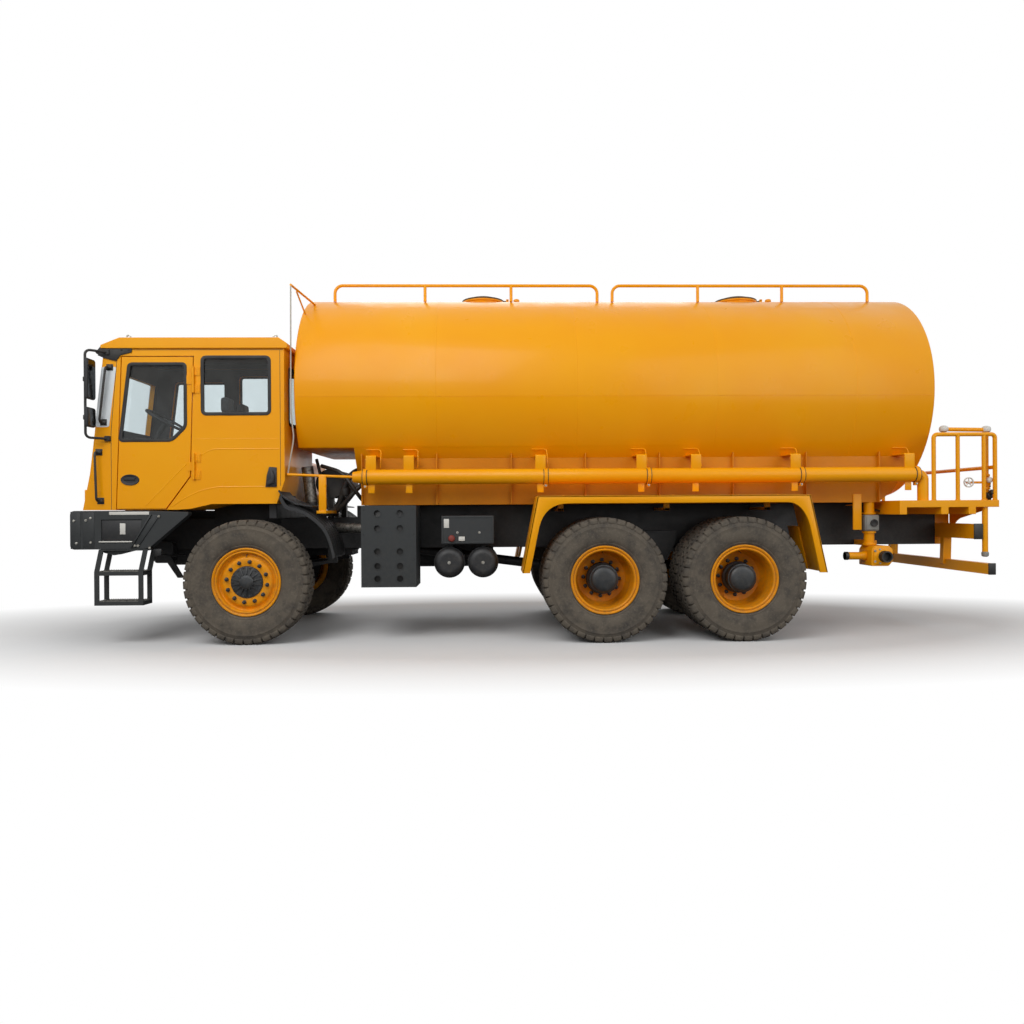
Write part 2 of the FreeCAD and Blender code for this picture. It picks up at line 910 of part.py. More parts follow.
def rim_barrel(middle):
    """Outside of one rim, from its outer flange to its inner one, about its own middle."""
    return [
        (S.rim_flange_radius, middle + RIM_EDGE),
        (S.rim_flange_radius, middle + RIM_HALF),
        (RIM_SEAT, middle + RIM_HALF),
        (RIM_SEAT, middle - RIM_HALF),
        (S.rim_flange_radius, middle - RIM_HALF),
        (S.rim_flange_radius, middle - RIM_EDGE),
    ]


FRONT_DISC = S.front_disc_place + S.rim_disc_thickness
FRONT_HUB_FACE = FRONT_DISC + S.front_disc_bulge
FRONT_HUB_END = FRONT_HUB_FACE + S.front_hub_proud


def front_wheel(side_name, side):
    """Front rim with its convex disc and its hub, which is open to the spindle on the inside."""
    outline = rim_barrel(size_of(0)) + [
        (RIM_INSIDE, -RIM_EDGE),
        (RIM_INSIDE, S.front_disc_place),
        (S.hub_radius, S.front_disc_place + S.front_disc_bulge),
        (S.hub_barrel_radius, S.front_disc_place + S.front_disc_bulge),
        (S.hub_barrel_radius, -S.hub_inner_end),
        (S.spindle_radius + S.bearing_gap, -S.hub_inner_end),
        (S.spindle_radius + S.bearing_gap, FRONT_HUB_END - S.hub_cap_thickness),
        (0, FRONT_HUB_END - S.hub_cap_thickness),
        (0, FRONT_HUB_END),
        (S.hub_nose_radius, FRONT_HUB_END),
        (S.hub_radius, FRONT_HUB_FACE + S.hub_shoulder),
        (S.hub_radius, FRONT_HUB_FACE),
        (RIM_INSIDE, FRONT_DISC),
        (RIM_INSIDE, RIM_EDGE),
    ]
    y = side * S.front_wheel_side
    centre = (FRONT_AXLE, y, AXLE_HEIGHT)
    node(f"wheel_front_{side_name}", turned(f"rim_front_{side_name}", "Y", centre,
                                            [(r, side * w) for r, w in outline]))
    node(f"tyre_front_{side_name}", tyre(f"tyre_front_{side_name}_ring", FRONT_AXLE, y))


REAR_DUAL_SIDE = S.rear_wheel_side - S.dual_spacing / 2


def rear_wheel(name, axle, side):
    """Two rims whose discs are bolted together at a hub that reaches out through the outer rim."""
    middle = S.dual_spacing / 2
    web = S.rim_disc_thickness
    outer = rim_barrel(middle)
    inner = rim_barrel(-middle)
    outline = outer + [(S.dish_rim_radius, middle - RIM_EDGE), (S.dish_radius, 0),
                       (S.dish_rim_radius, RIM_EDGE - middle)] + inner + [
        (RIM_INSIDE, -middle - RIM_EDGE),
        (RIM_INSIDE, -middle + RIM_HALF),
        (S.dish_radius - S.dish_fall, -web),
        (S.axle_tube_radius + S.bearing_gap, -web),
        (S.axle_tube_radius + S.bearing_gap, S.rear_bore_depth),
        (0, S.rear_bore_depth),
        (0, S.rear_hub_end),
        (S.rear_hub_nose_radius, S.rear_hub_end),
        (S.rear_hub_radius, S.rear_hub_end - S.hub_shoulder),
        (S.rear_hub_radius, web),
        (S.dish_radius - S.dish_fall, web),
        (RIM_INSIDE, middle - RIM_HALF),
        (RIM_INSIDE, middle + RIM_EDGE),
    ]
    centre = (axle, side * REAR_DUAL_SIDE, AXLE_HEIGHT)
    node(f"wheels_{name}", turned(f"rims_{name}", "Y", centre, [(r, side * w) for r, w in outline]))
    tyres = [tyre(f"tyre_{name}_{place_name}", axle, side * (REAR_DUAL_SIDE + offset))
             for place_name, offset in (("outer", middle), ("inner", -middle))]
    node(f"tyres_{name}", *tyres)


EYE_HALF = S.eye_height / 2
ARM_TOP = EYE_HALF + S.eye_gap
FORK_HALF = ARM_TOP + S.knuckle_arm_thickness
BALL_PLACE = FRONT_AXLE + S.steering_arm_length
TIE_ROD_TOP = AXLE_HEIGHT - FORK_HALF - S.eye_gap


def knuckle(side_name, side):
    """Fork on the kingpin, with the wheel's spindle and brake outside and a steering arm behind."""
    left = -1

    def across(low, high):
        return (left * high, left * low)

    pin = S.kingpin_side
    arm_y = across(pin - S.knuckle_arm_half, pin + S.eye_radius + S.knuckle_plate_gap)
    arm_x = (FRONT_AXLE - S.knuckle_arm_half, FRONT_AXLE + S.knuckle_arm_half)
    plate = pin + S.eye_radius + S.knuckle_plate_gap
    face = plate + S.knuckle_plate_thickness
    spindle_end = S.front_wheel_side + FRONT_HUB_END - S.hub_cap_thickness - S.spindle_clearance
    pieces = [
        box("fork_top", arm_x, arm_y, (AXLE_HEIGHT + ARM_TOP, AXLE_HEIGHT + FORK_HALF)),
        box("fork_bottom", arm_x, arm_y, (AXLE_HEIGHT - FORK_HALF, AXLE_HEIGHT - ARM_TOP)),
        box("knuckle_plate", arm_x, across(plate, face), (AXLE_HEIGHT - FORK_HALF, AXLE_HEIGHT + FORK_HALF)),
        cylinder("kingpin", "Z", (FRONT_AXLE, -pin, AXLE_HEIGHT - FORK_HALF), S.kingpin_radius,
                 FORK_HALF * 2),
        cylinder("brake", "Y", (FRONT_AXLE, -face - S.brake_width, AXLE_HEIGHT), S.brake_radius,
                 S.brake_width),
        cylinder("spindle", "Y", (FRONT_AXLE, -spindle_end, AXLE_HEIGHT), S.spindle_radius,
                 spindle_end - face),
        box("steering_arm", (FRONT_AXLE, BALL_PLACE + S.ball_eye_radius),
            across(pin - S.steering_arm_half, pin + S.steering_arm_half),
            (AXLE_HEIGHT - FORK_HALF, AXLE_HEIGHT - ARM_TOP)),
        cylinder("ball_pin", "Z", (BALL_PLACE, -pin, TIE_ROD_TOP - S.ball_eye_height), S.ball_pin_radius,
                 AXLE_HEIGHT - FORK_HALF - TIE_ROD_TOP + S.ball_eye_height),
    ]
    item = fuse("knuckle_solid", *pieces)
    node(f"knuckle_{side_name}", item if side < 0 else mirror("knuckle_mirror", item))


def tie_rod():
    """Rod behind the axle that joins the two steering arms, with an eye round each ball pin."""
    height = TIE_ROD_TOP - S.ball_eye_height / 2
    reach = S.kingpin_side - S.ball_eye_radius + S.ball_eye_overlap
    bar = cylinder("tie_rod_bar", "Y", (BALL_PLACE, -reach, height), S.tie_rod_radius, reach * 2)
    eyes = [
        ring(f"tie_rod_eye_{label}", "Z",
             (BALL_PLACE, side * S.kingpin_side, TIE_ROD_TOP - S.ball_eye_height),
             S.ball_eye_radius, S.ball_pin_radius + S.bearing_gap, S.ball_eye_height)
        for label, side in (("left", -1), ("right", 1))
    ]
    node("tie_rod", bar, *eyes)


def front_axle():
    """Dropped I-beam axle with an eye for each kingpin."""
    low = AXLE_HEIGHT - S.beam_depth / 2
    high = AXLE_HEIGHT + S.beam_depth / 2
    end = S.kingpin_side - S.eye_radius + S.ball_eye_overlap
    neck = S.beam_half
    pad = S.beam_half - S.beam_rise
    outline = [(-end, low), (-neck, low), (-pad, low - S.beam_drop), (pad, low - S.beam_drop), (neck, low),
               (end, low), (end, high), (neck, high), (pad, high - S.beam_drop),
               (-pad, high - S.beam_drop), (-neck, high), (-end, high)]
    x = FRONT_AXLE - S.beam_width / 2
    beam = prism("beam", "YZ", outline, x, S.beam_width)
    web = (pad - S.beam_flange, low - S.beam_drop + S.beam_flange, high - S.beam_drop - S.beam_flange)
    side_cuts = [
        box(f"beam_hollow_{label}", (start, start + S.beam_web_cut), (-web[0], web[0]), (web[1], web[2]))
        for label, start in (("front", x), ("rear", x + S.beam_width - S.beam_web_cut))
    ]
    eyes = [
        ring(f"eye_{label}", "Z", (FRONT_AXLE, side * S.kingpin_side, AXLE_HEIGHT - EYE_HALF), S.eye_radius,
             S.kingpin_radius + S.bearing_gap, S.eye_height)
        for label, side in (("left", -1), ("right", 1))
    ]
    node("front_axle", cut("beam_open", beam, *side_cuts), *eyes)


def rear_axles():
    """Two driven axles: a tube through both hubs, a brake at each side and a round differential case."""
    pieces = []
    for label, axle in (("middle", MID_AXLE), ("rear", REAR_AXLE)):
        tube_end = REAR_DUAL_SIDE + S.rear_bore_depth - S.spindle_clearance
        pieces.append(cylinder(f"axle_tube_{label}", "Y", (axle, -tube_end, AXLE_HEIGHT),
                               S.axle_tube_radius, tube_end * 2))
        for side_label, start in (("left", -S.brake_outer), ("right", S.brake_inner)):
            pieces.append(cylinder(f"rear_brake_{label}_{side_label}", "Y", (axle, start, AXLE_HEIGHT),
                                   S.rear_brake_radius, S.brake_outer - S.brake_inner))
        half = S.diff_width / 2
        pieces.append(turned(f"diff_{label}", "Y", (axle, 0, AXLE_HEIGHT), [
            (0, -half), (S.diff_radius - S.diff_chamfer, -half), (S.diff_radius, -half + S.diff_chamfer),
            (S.diff_radius, half - S.diff_chamfer), (S.diff_radius - S.diff_chamfer, half), (0, half)]))
        pieces.append(cone(f"diff_nose_{label}", "X",
                           (axle - S.diff_nose_length, 0, AXLE_HEIGHT + S.diff_nose_rise),
                           S.diff_nose_radius, S.diff_nose_root, S.diff_nose_length))
    node("rear_axles", *pieces)


def driveline():
    """Propeller shafts from the gearbox to the middle axle, and on from there to the rear axle."""
    height = AXLE_HEIGHT + S.diff_nose_rise
    gearbox_face = back(S.gearbox_rear)
    first_end = MID_AXLE - S.diff_nose_length
    second_start = MID_AXLE + S.diff_radius
    second_end = REAR_AXLE - S.diff_nose_length
    start_height = S.gearbox_bottom + S.gearbox_outlet
    pieces = [
        box("gearbox", (back(S.engine_rear), gearbox_face), (-S.gearbox_half, S.gearbox_half),
            (S.gearbox_bottom, S.gearbox_top)),
        cylinder("gearbox_flange", "X", (gearbox_face, 0, start_height), S.flange_radius, S.flange_thickness),
        rod("shaft_front", (gearbox_face, 0, start_height),
            (first_end - S.flange_thickness, 0, height), S.shaft_radius),
        cylinder("middle_flange", "X", (first_end - S.flange_thickness - S.seat_gap, 0, height),
                 S.flange_radius, S.flange_thickness),
    ]
    node("driveline", *pieces)
    node("rear_shaft", cylinder("rear_shaft_tube", "X", (second_start + S.seat_gap, 0, height),
                                S.shaft_radius, second_end - second_start - S.seat_gap * 2))


def leaf_pack(name, x, side_place, middle, rise, half_length):
    """Curved pack of leaves, thick in the middle, thin at its ends. A rise below zero bends down."""
    thick = S.leaf_pack_middle if rise.value > 0 else -S.leaf_pack_middle
    thin = S.leaf_thickness if rise.value > 0 else -S.leaf_thickness
    outline = [
        (x - half_length, middle + rise), (x, middle, S.leaf_radius), (x + half_length, middle + rise),
        (x + half_length, middle + rise - thin), (x, middle - thick, S.leaf_radius),
        (x - half_length, middle + rise - thin),
    ]
    return prism(name, "XZ", outline, side_place - S.spring_width / 2, S.spring_width)


def suspension():
    """Front springs on the beam with their hangers, and rear springs between the two axles on a trunnion."""
    pieces = []
    front_middle = AXLE_HEIGHT + S.beam_depth / 2 - S.beam_drop + S.leaf_pack_middle + S.seat_gap
    trunnion = MID_AXLE + S.tandem_spacing / 2
    rear_ends = AXLE_HEIGHT + S.axle_tube_radius + S.spring_seat_height
    rear_middle = rear_ends + S.leaf_thickness + S.rear_spring_arch
    for label, side in (("left", -1), ("right", 1)):
        y = side * S.front_spring_side
        spring = leaf_pack(f"front_spring_{label}", FRONT_AXLE, y, front_middle, S.front_spring_rise,
                           S.front_spring_half)
        pieces.append(spring)
        pieces.append(box(f"front_spring_seat_{label}",
                          (FRONT_AXLE - S.spring_seat_half, FRONT_AXLE + S.spring_seat_half),
                          (y - S.spring_width / 2, y + S.spring_width / 2),
                          (front_middle - S.leaf_pack_middle, front_middle)))
        hanger_y = (y - S.spring_width / 2, y + S.spring_width / 2)
        for end in (-1, 1):
            x = FRONT_AXLE + end * (S.front_spring_half - S.hanger_length / 2)
            pieces.append(box(f"front_hanger_{label}",
                              (x - S.hanger_length / 2, x + S.hanger_length / 2), hanger_y,
                              (front_middle + S.front_spring_rise - S.hanger_bite, S.rail_bottom)))
        y = side * S.spring_side
        pieces.append(leaf_pack(f"rear_spring_{label}", trunnion, y, rear_middle, -S.rear_spring_arch,
                                S.tandem_spacing / 2 + S.spring_overrun))
        low = S.rail_half + S.seat_gap
        high = S.spring_side + S.spring_width / 2
        bracket_y = (low, high) if side > 0 else (-high, -low)
        saddle = [
            (trunnion - S.trunnion_foot, rear_middle - S.trunnion_drop), (trunnion + S.trunnion_foot,
                                                                         rear_middle - S.trunnion_drop),
            (trunnion + S.trunnion_head, rear_middle + S.leaf_pack_middle),
            (trunnion + S.trunnion_head, S.rail_bottom + S.rail_flange * 2),
            (trunnion - S.trunnion_head, S.rail_bottom + S.rail_flange * 2),
            (trunnion - S.trunnion_head, rear_middle + S.leaf_pack_middle),
        ]
        pieces.append(prism(f"trunnion_{label}", "XZ", saddle, bracket_y[0], bracket_y[1] - bracket_y[0]))
        for axle_label, axle in (("middle", MID_AXLE), ("rear", REAR_AXLE)):
            pieces.append(box(f"spring_seat_{label}_{axle_label}",
                              (axle - S.spring_seat_half, axle + S.spring_seat_half),
                              (y - S.spring_width / 2, y + S.spring_width / 2),
                              (AXLE_HEIGHT + S.axle_tube_radius + S.seat_gap, rear_ends)))
    node("suspension", *pieces)


def frame():
    """Two channel rails with a box rail on each, tied by channel crossmembers."""
    outer = S.rail_half
    inner = S.rail_half - S.rail_flange
    plate = S.rail_plate
    low = S.rail_bottom
    outline = [
        (-outer, low), (-inner, low), (-inner, low + plate), (plate - outer, low + plate),
        (plate - outer, RAIL_TOP - plate), (-inner, RAIL_TOP - plate), (-inner, RAIL_TOP), (-outer, RAIL_TOP),
    ]
    rail = prism("rail", "YZ", outline, back(RAIL_FRONT), S.rail_rear - RAIL_FRONT)
    upper = box("subrail", (back(S.subrail_front), back(S.subrail_rear)), (-outer, S.subrail_width - outer),
                (RAIL_TOP, DECK))
    left = fuse("left_rails", rail, upper)
    pieces = [left, mirror("right_rails", left)]
    middle = low + S.rail_depth / 2
    half = S.crossmember_depth / 2
    for number, place_back in enumerate((RAIL_FRONT, S.cross_second, S.cross_third, S.cross_fourth,
                                         S.cross_fifth, S.cross_sixth, S.rail_rear - S.crossmember_flange)):
        x = back(place_back)
        depth = S.crossmember_flange
        channel = [
            (x, middle - half), (x + depth, middle - half), (x + depth, middle - half + plate),
            (x + plate, middle - half + plate), (x + plate, middle + half - plate),
            (x + depth, middle + half - plate), (x + depth, middle + half), (x, middle + half),
        ]
        pieces.append(prism(f"crossmember_{number}", "XZ", channel, plate - outer, (outer - plate) * 2))
    node("frame", *pieces)


def engine():
    """Engine as one plain block between the rails, ahead of the gearbox, on four feet."""
    pieces = [box("engine_block", (back(S.engine_front), back(S.engine_rear) - S.seat_gap),
                  (-S.engine_half, S.engine_half),
                  (S.engine_bottom, S.cab_floor_bottom - S.engine_clearance))]
    floor = S.rail_bottom + S.rail_plate + S.seat_gap
    for number, place_back in enumerate((S.engine_front + S.engine_foot, S.engine_rear - S.engine_foot * 2)):
        pieces += box_both(f"engine_foot_{number}", (back(place_back), back(place_back) + S.engine_foot),
                           (S.engine_half, S.rail_half - S.rail_plate - S.seat_gap),
                           (floor, floor + S.engine_foot))
    node("engine", *pieces)


SCREEN_BASE = S.cab_cowl_height + S.cowl_rise
SCREEN_TOP = SCREEN_BASE + S.screen_rise
CAB_TOP = SCREEN_TOP + S.header_rise
WHEEL_HEIGHT = S.cab_cowl_height + S.wheel_rise
ARCH_KNEE_HEIGHT = S.cab_floor_bottom + S.arch_rise
HINGE_X = back(S.door_rear_top) + S.door_gap / 2
HINGE_Y = -S.cab_left - S.hinge_out


def cab_outline():
    return [
        (back(S.cab_nose), S.cab_floor_bottom),
        (back(S.arch_front), S.cab_floor_bottom),
        (back(S.arch_knee), ARCH_KNEE_HEIGHT),
        (back(S.arch_rear), S.cab_arch_bottom),
        (back(S.cab_heel), S.cab_arch_bottom),
        (back(S.cab_back), S.cab_heel_height),
        (back(S.cab_back), CAB_TOP),
        (back(S.cab_eave), CAB_TOP),
        (back(S.screen_top), SCREEN_TOP),
        (back(S.screen_base), SCREEN_BASE),
        (back(S.cab_cowl), S.cab_cowl_height),
        (back(S.cab_chin), S.cab_chin_height),
    ]


def cab_inside():
    wall = S.cab_wall
    return [
        (back(S.cab_nose) + wall, S.cab_floor_top),
        (back(S.cab_heel) - wall, S.cab_floor_top),
        (back(S.cab_back) - wall, S.cab_heel_height),
        (back(S.cab_back) - wall, CAB_TOP + wall),
        (back(S.cab_eave) + wall, CAB_TOP + wall),
        (back(S.cab_eave) + wall, CAB_TOP),
        (back(S.screen_top) + wall, SCREEN_TOP),
        (back(S.screen_base) + wall, SCREEN_BASE),
        (back(S.cab_cowl) + wall, S.cab_cowl_height),
        (back(S.cab_chin) + wall, S.cab_chin_height),
    ]


def door_outline(grow):
    """Front-low corner first. Grow is the gap between the door and its frame."""
    return [
        (back(S.door_front_bottom) - grow, S.door_bottom - grow),
        (back(S.door_rear_bottom) + grow, S.door_bottom - grow),
        (back(S.door_rear_knee) + grow, S.door_knee_height - grow),
        (back(S.door_rear_top) + grow, S.door_top + grow),
        (back(S.door_front_top) - grow, S.door_top + grow),
    ]


def door_window():
    corner = S.door_glass_radius
    return [
        (back(S.door_glass_front_bottom), S.door_glass_bottom, corner),
        (back(S.door_glass_knee), S.door_glass_bottom, corner),
        (back(S.door_glass_rear), S.door_glass_knee_height, corner),
        (back(S.door_glass_rear), S.door_glass_top, corner),
        (back(S.door_glass_front_top), S.door_glass_top, corner),
    ]


def side_window():
    return rectangle(back(S.side_window_front), back(S.side_window_rear), S.side_window_bottom,
                     S.side_window_top, S.window_radius)


def screen_opening():
    return rectangle(S.pillar_width - S.cab_left, S.cab_right - S.pillar_width,
                     SCREEN_BASE + S.screen_frame, SCREEN_TOP - S.screen_frame)


def back_window():
    return rectangle(S.pillar_width * 2 - S.cab_left, S.cab_right - S.pillar_width * 2,
                     S.back_window_low, SCREEN_TOP, S.window_radius)


def cab_shell():
    """Floor, walls and pillars of the cab below the roof, with its windows and the door opening cut."""
    width = S.cab_left + S.cab_right
    wall = S.cab_wall
    shell = prism("cab_solid", "XZ", cab_outline(), -S.cab_left, width)
    inside = prism("cab_room", "XZ", cab_inside(), wall - S.cab_left, width - wall * 2)
    through = wall * 2
    left_start = -S.cab_left - wall
    right_start = S.cab_right - wall * 1.5
    openings = [
        prism("door_opening", "XZ", door_outline(S.door_gap), left_start, through),
        prism("side_window_left", "XZ", side_window(), left_start, through),
        prism("side_window_right", "XZ", side_window(), right_start, through),
        prism("front_window_right", "XZ", door_window(), right_start, through),
        prism("screen_opening", "YZ", screen_opening(), back(S.cab_nose),
              S.screen_top - S.cab_nose + wall * 2),
        prism("back_window", "YZ", back_window(), back(S.cab_back) - wall * 1.5, through),
    ]
    leaves = []
    for label, height in (("top", S.hinge_height_top), ("bottom", S.hinge_height_bottom)):
        for place_label, low in (("above", height + S.hinge_length / 2 + S.seat_gap),
                                 ("below", height - S.hinge_length * 1.5 - S.seat_gap)):
            name = f"cab_hinge_{label}_{place_label}"
            leaves.append(cylinder(name, "Z", (HINGE_X, HINGE_Y, low), S.hinge_radius, S.hinge_length))
            leaves.append(box(f"{name}_leaf", (HINGE_X, HINGE_X + S.hinge_leaf),
                              (-S.cab_left - S.hinge_plate, -S.cab_left), (low, low + S.hinge_length)))
            leaves.append(box(f"{name}_neck", (HINGE_X, HINGE_X + S.hinge_plate), (HINGE_Y, -S.cab_left),
                              (low, low + S.hinge_length)))
    node("cab_shell", cut("cab_hollow", shell, inside, *openings), *leaves)


def screen_line(height):
    """Place along X of the windscreen's outer face at this height."""
    lean = (S.screen_top - S.screen_base) / (SCREEN_TOP - SCREEN_BASE)
    return back(S.screen_base) + (height - SCREEN_BASE) * lean


def cab_glass():
    """Windscreen and fixed panes, each seated in its opening."""
    gap = S.seat_gap
    thick = S.glass_thickness
    low = SCREEN_BASE + S.screen_frame + gap
    high = SCREEN_TOP - S.screen_frame - gap
    screen = [
        (screen_line(low) + S.glass_inset, low), (screen_line(low) + S.glass_inset + thick, low),
        (screen_line(high) + S.glass_inset + thick, high), (screen_line(high) + S.glass_inset, high),
    ]
    side_start = S.pillar_width - S.cab_left + gap
    panes = [
        prism("windscreen", "XZ", screen, side_start, S.cab_right - S.pillar_width - gap - side_start),
        prism("pane_left", "XZ", shrink(side_window(), gap), S.glass_inset - S.cab_left, thick),
        prism("pane_right", "XZ", shrink(side_window(), gap), S.cab_right - S.glass_inset - thick, thick),
        prism("pane_front_right", "XZ", shrink(door_window(), gap), S.cab_right - S.glass_inset - thick,
              thick),
        prism("pane_back", "YZ", shrink(back_window(), gap), back(S.cab_back) - S.glass_inset - thick, thick),
    ]
    node("cab_glass", *panes)


def cab_roof():
    """Roof panel with a sloping front and a lip all round, hollow underneath."""
    rise = S.roof_height
    base = CAB_TOP + S.seat_gap
    outline = [
        (back(S.roof_front), base), (back(S.roof_front), base + S.roof_lip_height),
        (back(S.roof_crest_front), base + rise), (back(S.roof_crest_rear), base + rise),
        (back(S.roof_back), base + S.roof_lip_height * 1.5), (back(S.roof_back), base),
    ]
    start = -S.cab_left - S.roof_side
    width = S.cab_left + S.cab_right + S.roof_side * 2
    wall = S.roof_wall
    hollow = [
        (back(S.cab_eave) + S.cab_wall, base),
        (back(S.cab_eave) + S.cab_wall, base + S.roof_lip_height - wall / 2),
        (back(S.roof_crest_front), base + rise - wall), (back(S.roof_crest_rear), base + rise - wall),
        (back(S.cab_back) - S.cab_wall, base + S.roof_lip_height), (back(S.cab_back) - S.cab_wall, base),
    ]
    inner_start = S.cab_wall - S.cab_left
    node("cab_roof", cut("roof_hollow", prism("roof_solid", "XZ", outline, start, width),
                         prism("roof_room", "XZ", hollow, inner_start,
                               S.cab_left + S.cab_right - S.cab_wall * 2)))


def door():
    """Rear-hinged door with its window cut, and its pane."""
    panel = prism("door_panel", "XZ", door_outline(0), -S.cab_left, S.door_thickness)
    window = prism("door_window", "XZ", door_window(), -S.cab_left - S.door_thickness, S.door_thickness * 3)
    knuckles = []
    for label, height in (("top", S.hinge_height_top), ("bottom", S.hinge_height_bottom)):
        low = height - S.hinge_length / 2
        knuckles.append(cylinder(f"door_hinge_{label}", "Z", (HINGE_X, HINGE_Y, low), S.hinge_radius,
                                 S.hinge_length))
        knuckles.append(box(f"door_hinge_leaf_{label}", (HINGE_X - S.hinge_leaf, HINGE_X),
                            (-S.cab_left - S.hinge_plate, -S.cab_left), (low, low + S.hinge_length)))
        knuckles.append(box(f"door_hinge_neck_{label}", (HINGE_X - S.hinge_plate, HINGE_X),
                            (HINGE_Y, -S.cab_left), (low, low + S.hinge_length)))
    node("door_left", cut("door_open", panel, window), *knuckles)
    node("door_left_glass", prism("door_pane", "XZ", shrink(door_window(), S.seat_gap),
                                  S.glass_inset - S.cab_left, S.glass_thickness))


def cab_interior():
    """Dashboard and steering column, on the floor behind the windscreen."""
    left = S.cab_wall - S.cab_left + S.seat_gap
    width = S.cab_left + S.cab_right - (S.cab_wall + S.seat_gap) * 2
    front = back(S.cab_chin) + S.cab_wall + S.seat_gap
    floor = S.cab_floor_top + S.seat_gap
    outline = [
        (front, S.cab_chin_height), (front + S.dash_foot, S.cab_chin_height - S.dash_under),
        (front + S.dash_depth, S.cab_cowl_height - S.dash_under), (front + S.dash_depth, S.cab_cowl_height),
        (back(S.screen_base) + S.cab_wall + S.seat_gap, S.cab_cowl_height + S.dash_hood),
        (back(S.cab_cowl) + S.cab_wall + S.seat_gap, S.cab_cowl_height),
    ]
    foot = back(S.wheel_place) - S.column_run
    foot_height = WHEEL_HEIGHT - S.column_run * S.column_slope
    gap = (S.seat_gap + S.steering_rim) / root(1 + S.column_slope * S.column_slope)
    column = rod("column", (foot, -S.driver_side, foot_height),
                 (back(S.wheel_place) - gap, -S.driver_side, WHEEL_HEIGHT - gap * S.column_slope),
                 S.column_radius)
    pedestal = box("column_pedestal", (foot - S.pedestal_half, foot + S.pedestal_half),
                   (-S.driver_side - S.pedestal_half, S.pedestal_half - S.driver_side),
                   (floor, foot_height + S.pedestal_half))
    node("cab_interior", prism("dashboard", "XZ", outline, left, width), column, pedestal)


def seats():
    """Driver's seat and a second seat beside it, each on its base."""
    pieces = []
    floor = S.cab_floor_top + S.seat_gap
    for label, side, width in (("driver", S.driver_side, S.seat_width), ("mate", S.mate_side, S.mate_width)):
        y = -side
        front = back(S.seat_front)
        depth = S.seat_depth
        top = floor + S.seat_height
        half = width / 2
        pieces.append(box(f"seat_base_{label}",
                          (front + S.seat_base_inset, front + depth - S.seat_base_inset),
                          (y - half + S.seat_base_inset, y + half - S.seat_base_inset), (floor, top)))
        cushion = [
            (front, top, S.seat_round), (front + depth, top, S.seat_round),
            (front + depth, top + S.cushion_thickness, S.seat_round),
            (front, top + S.cushion_thickness, S.seat_round),
        ]
        pieces.append(prism(f"seat_cushion_{label}", "XZ", cushion, y - half, width))
        foot = front + depth - S.back_thickness
        recline = S.seat_recline
        rest_top = top + S.cushion_thickness + S.back_height
        backrest = [
            (foot, top + S.cushion_thickness / 2), (foot + S.back_thickness, top + S.cushion_thickness / 2),
            (foot + S.back_thickness + recline, rest_top, S.seat_round),
            (foot + recline, rest_top, S.seat_round),
        ]
        pieces.append(prism(f"seat_back_{label}", "XZ", backrest, y - half, width))
        head = [
            (foot + recline, rest_top - S.seat_round, S.seat_round),
            (foot + recline + S.head_thickness, rest_top - S.seat_round, S.seat_round),
            (foot + recline + S.head_thickness, rest_top + S.head_height, S.seat_round),
            (foot + recline, rest_top + S.head_height, S.seat_round),
        ]
        pieces.append(prism(f"headrest_{label}", "XZ", head, y - half / 2, half))
    node("seats", *pieces)


def steering_wheel():
    """Rim, three spokes and boss, square to the column."""
    axis = Vector(1, 0, size_of(S.column_slope).value).normalize()
    turn = Rotation(Vector(0, 0, 1), axis)
    rim = doc.addObject("Part::Torus", "steering_rim")
    bind(rim, "Radius1", S.steering_radius)
    bind(rim, "Radius2", S.steering_rim)
    place(rim, back(S.wheel_place), -S.driver_side, WHEEL_HEIGHT, turn)
    boss = doc.addObject("Part::Cylinder", "steering_boss")
    bind(boss, "Radius", S.steering_boss)
    bind(boss, "Height", S.steering_rim * 2)
    step = S.steering_rim / root(1 + S.column_slope * S.column_slope)
    place(boss, back(S.wheel_place) - step, -S.driver_side, WHEEL_HEIGHT - step * S.column_slope, turn)
    spokes = []
    for number, angle in enumerate((0, 120, 240)):
        way = turn.multVec(Vector(math.cos(math.radians(angle)), math.sin(math.radians(angle)), 0))
        tip = [S.steering_radius * component for component in way]
        centre = (back(S.wheel_place), -S.driver_side, WHEEL_HEIGHT)
        spokes.append(rod(f"spoke_{number}", centre, [c + t for c, t in zip(centre, tip)], S.steering_spoke))
    node("steering_wheel", rim, boss, *spokes)


def cab_mounts():
    """Two beams across the rails that carry the cab and the engine cover."""
    low = RAIL_TOP + S.seat_gap
    half = S.mount_beam_half
    pieces = []
    for label, place_back, top in (("front", S.mount_front, S.cab_floor_bottom),
                                   ("rear", S.mount_rear, S.cab_arch_bottom)):
        pieces.append(box(f"mount_beam_{label}", (back(place_back), back(place_back) + S.mount_beam_depth),
                          (-half, half), (low, top - S.seat_gap)))
    node("cab_mounts", *pieces)


def hood():
    """Engine cover and deck on the right of the cab, with an opening for the radiator grille."""
    start = S.cab_right + S.hood_gap
    outline = [
        (back(S.cab_nose), S.cab_floor_bottom), (back(S.arch_front), S.cab_floor_bottom),
        (back(S.arch_knee), ARCH_KNEE_HEIGHT), (back(S.arch_rear), S.cab_arch_bottom),
        (back(S.hood_rear), S.cab_arch_bottom), (back(S.hood_rear), S.hood_top - S.hood_fall, S.hood_round),
        (back(S.cab_cowl), S.hood_top, S.hood_round), (back(S.cab_chin), S.cab_chin_height),
    ]
    cover = prism("hood_solid", "XZ", outline, start, S.cab_left - start)
    recess = box("hood_recess", (back(S.cab_nose), back(S.cab_nose) + S.grille_depth),
                 (S.grille_inner, S.grille_outer), (S.grille_bottom, S.grille_top))
    node("hood", cut("hood_open", cover, recess))


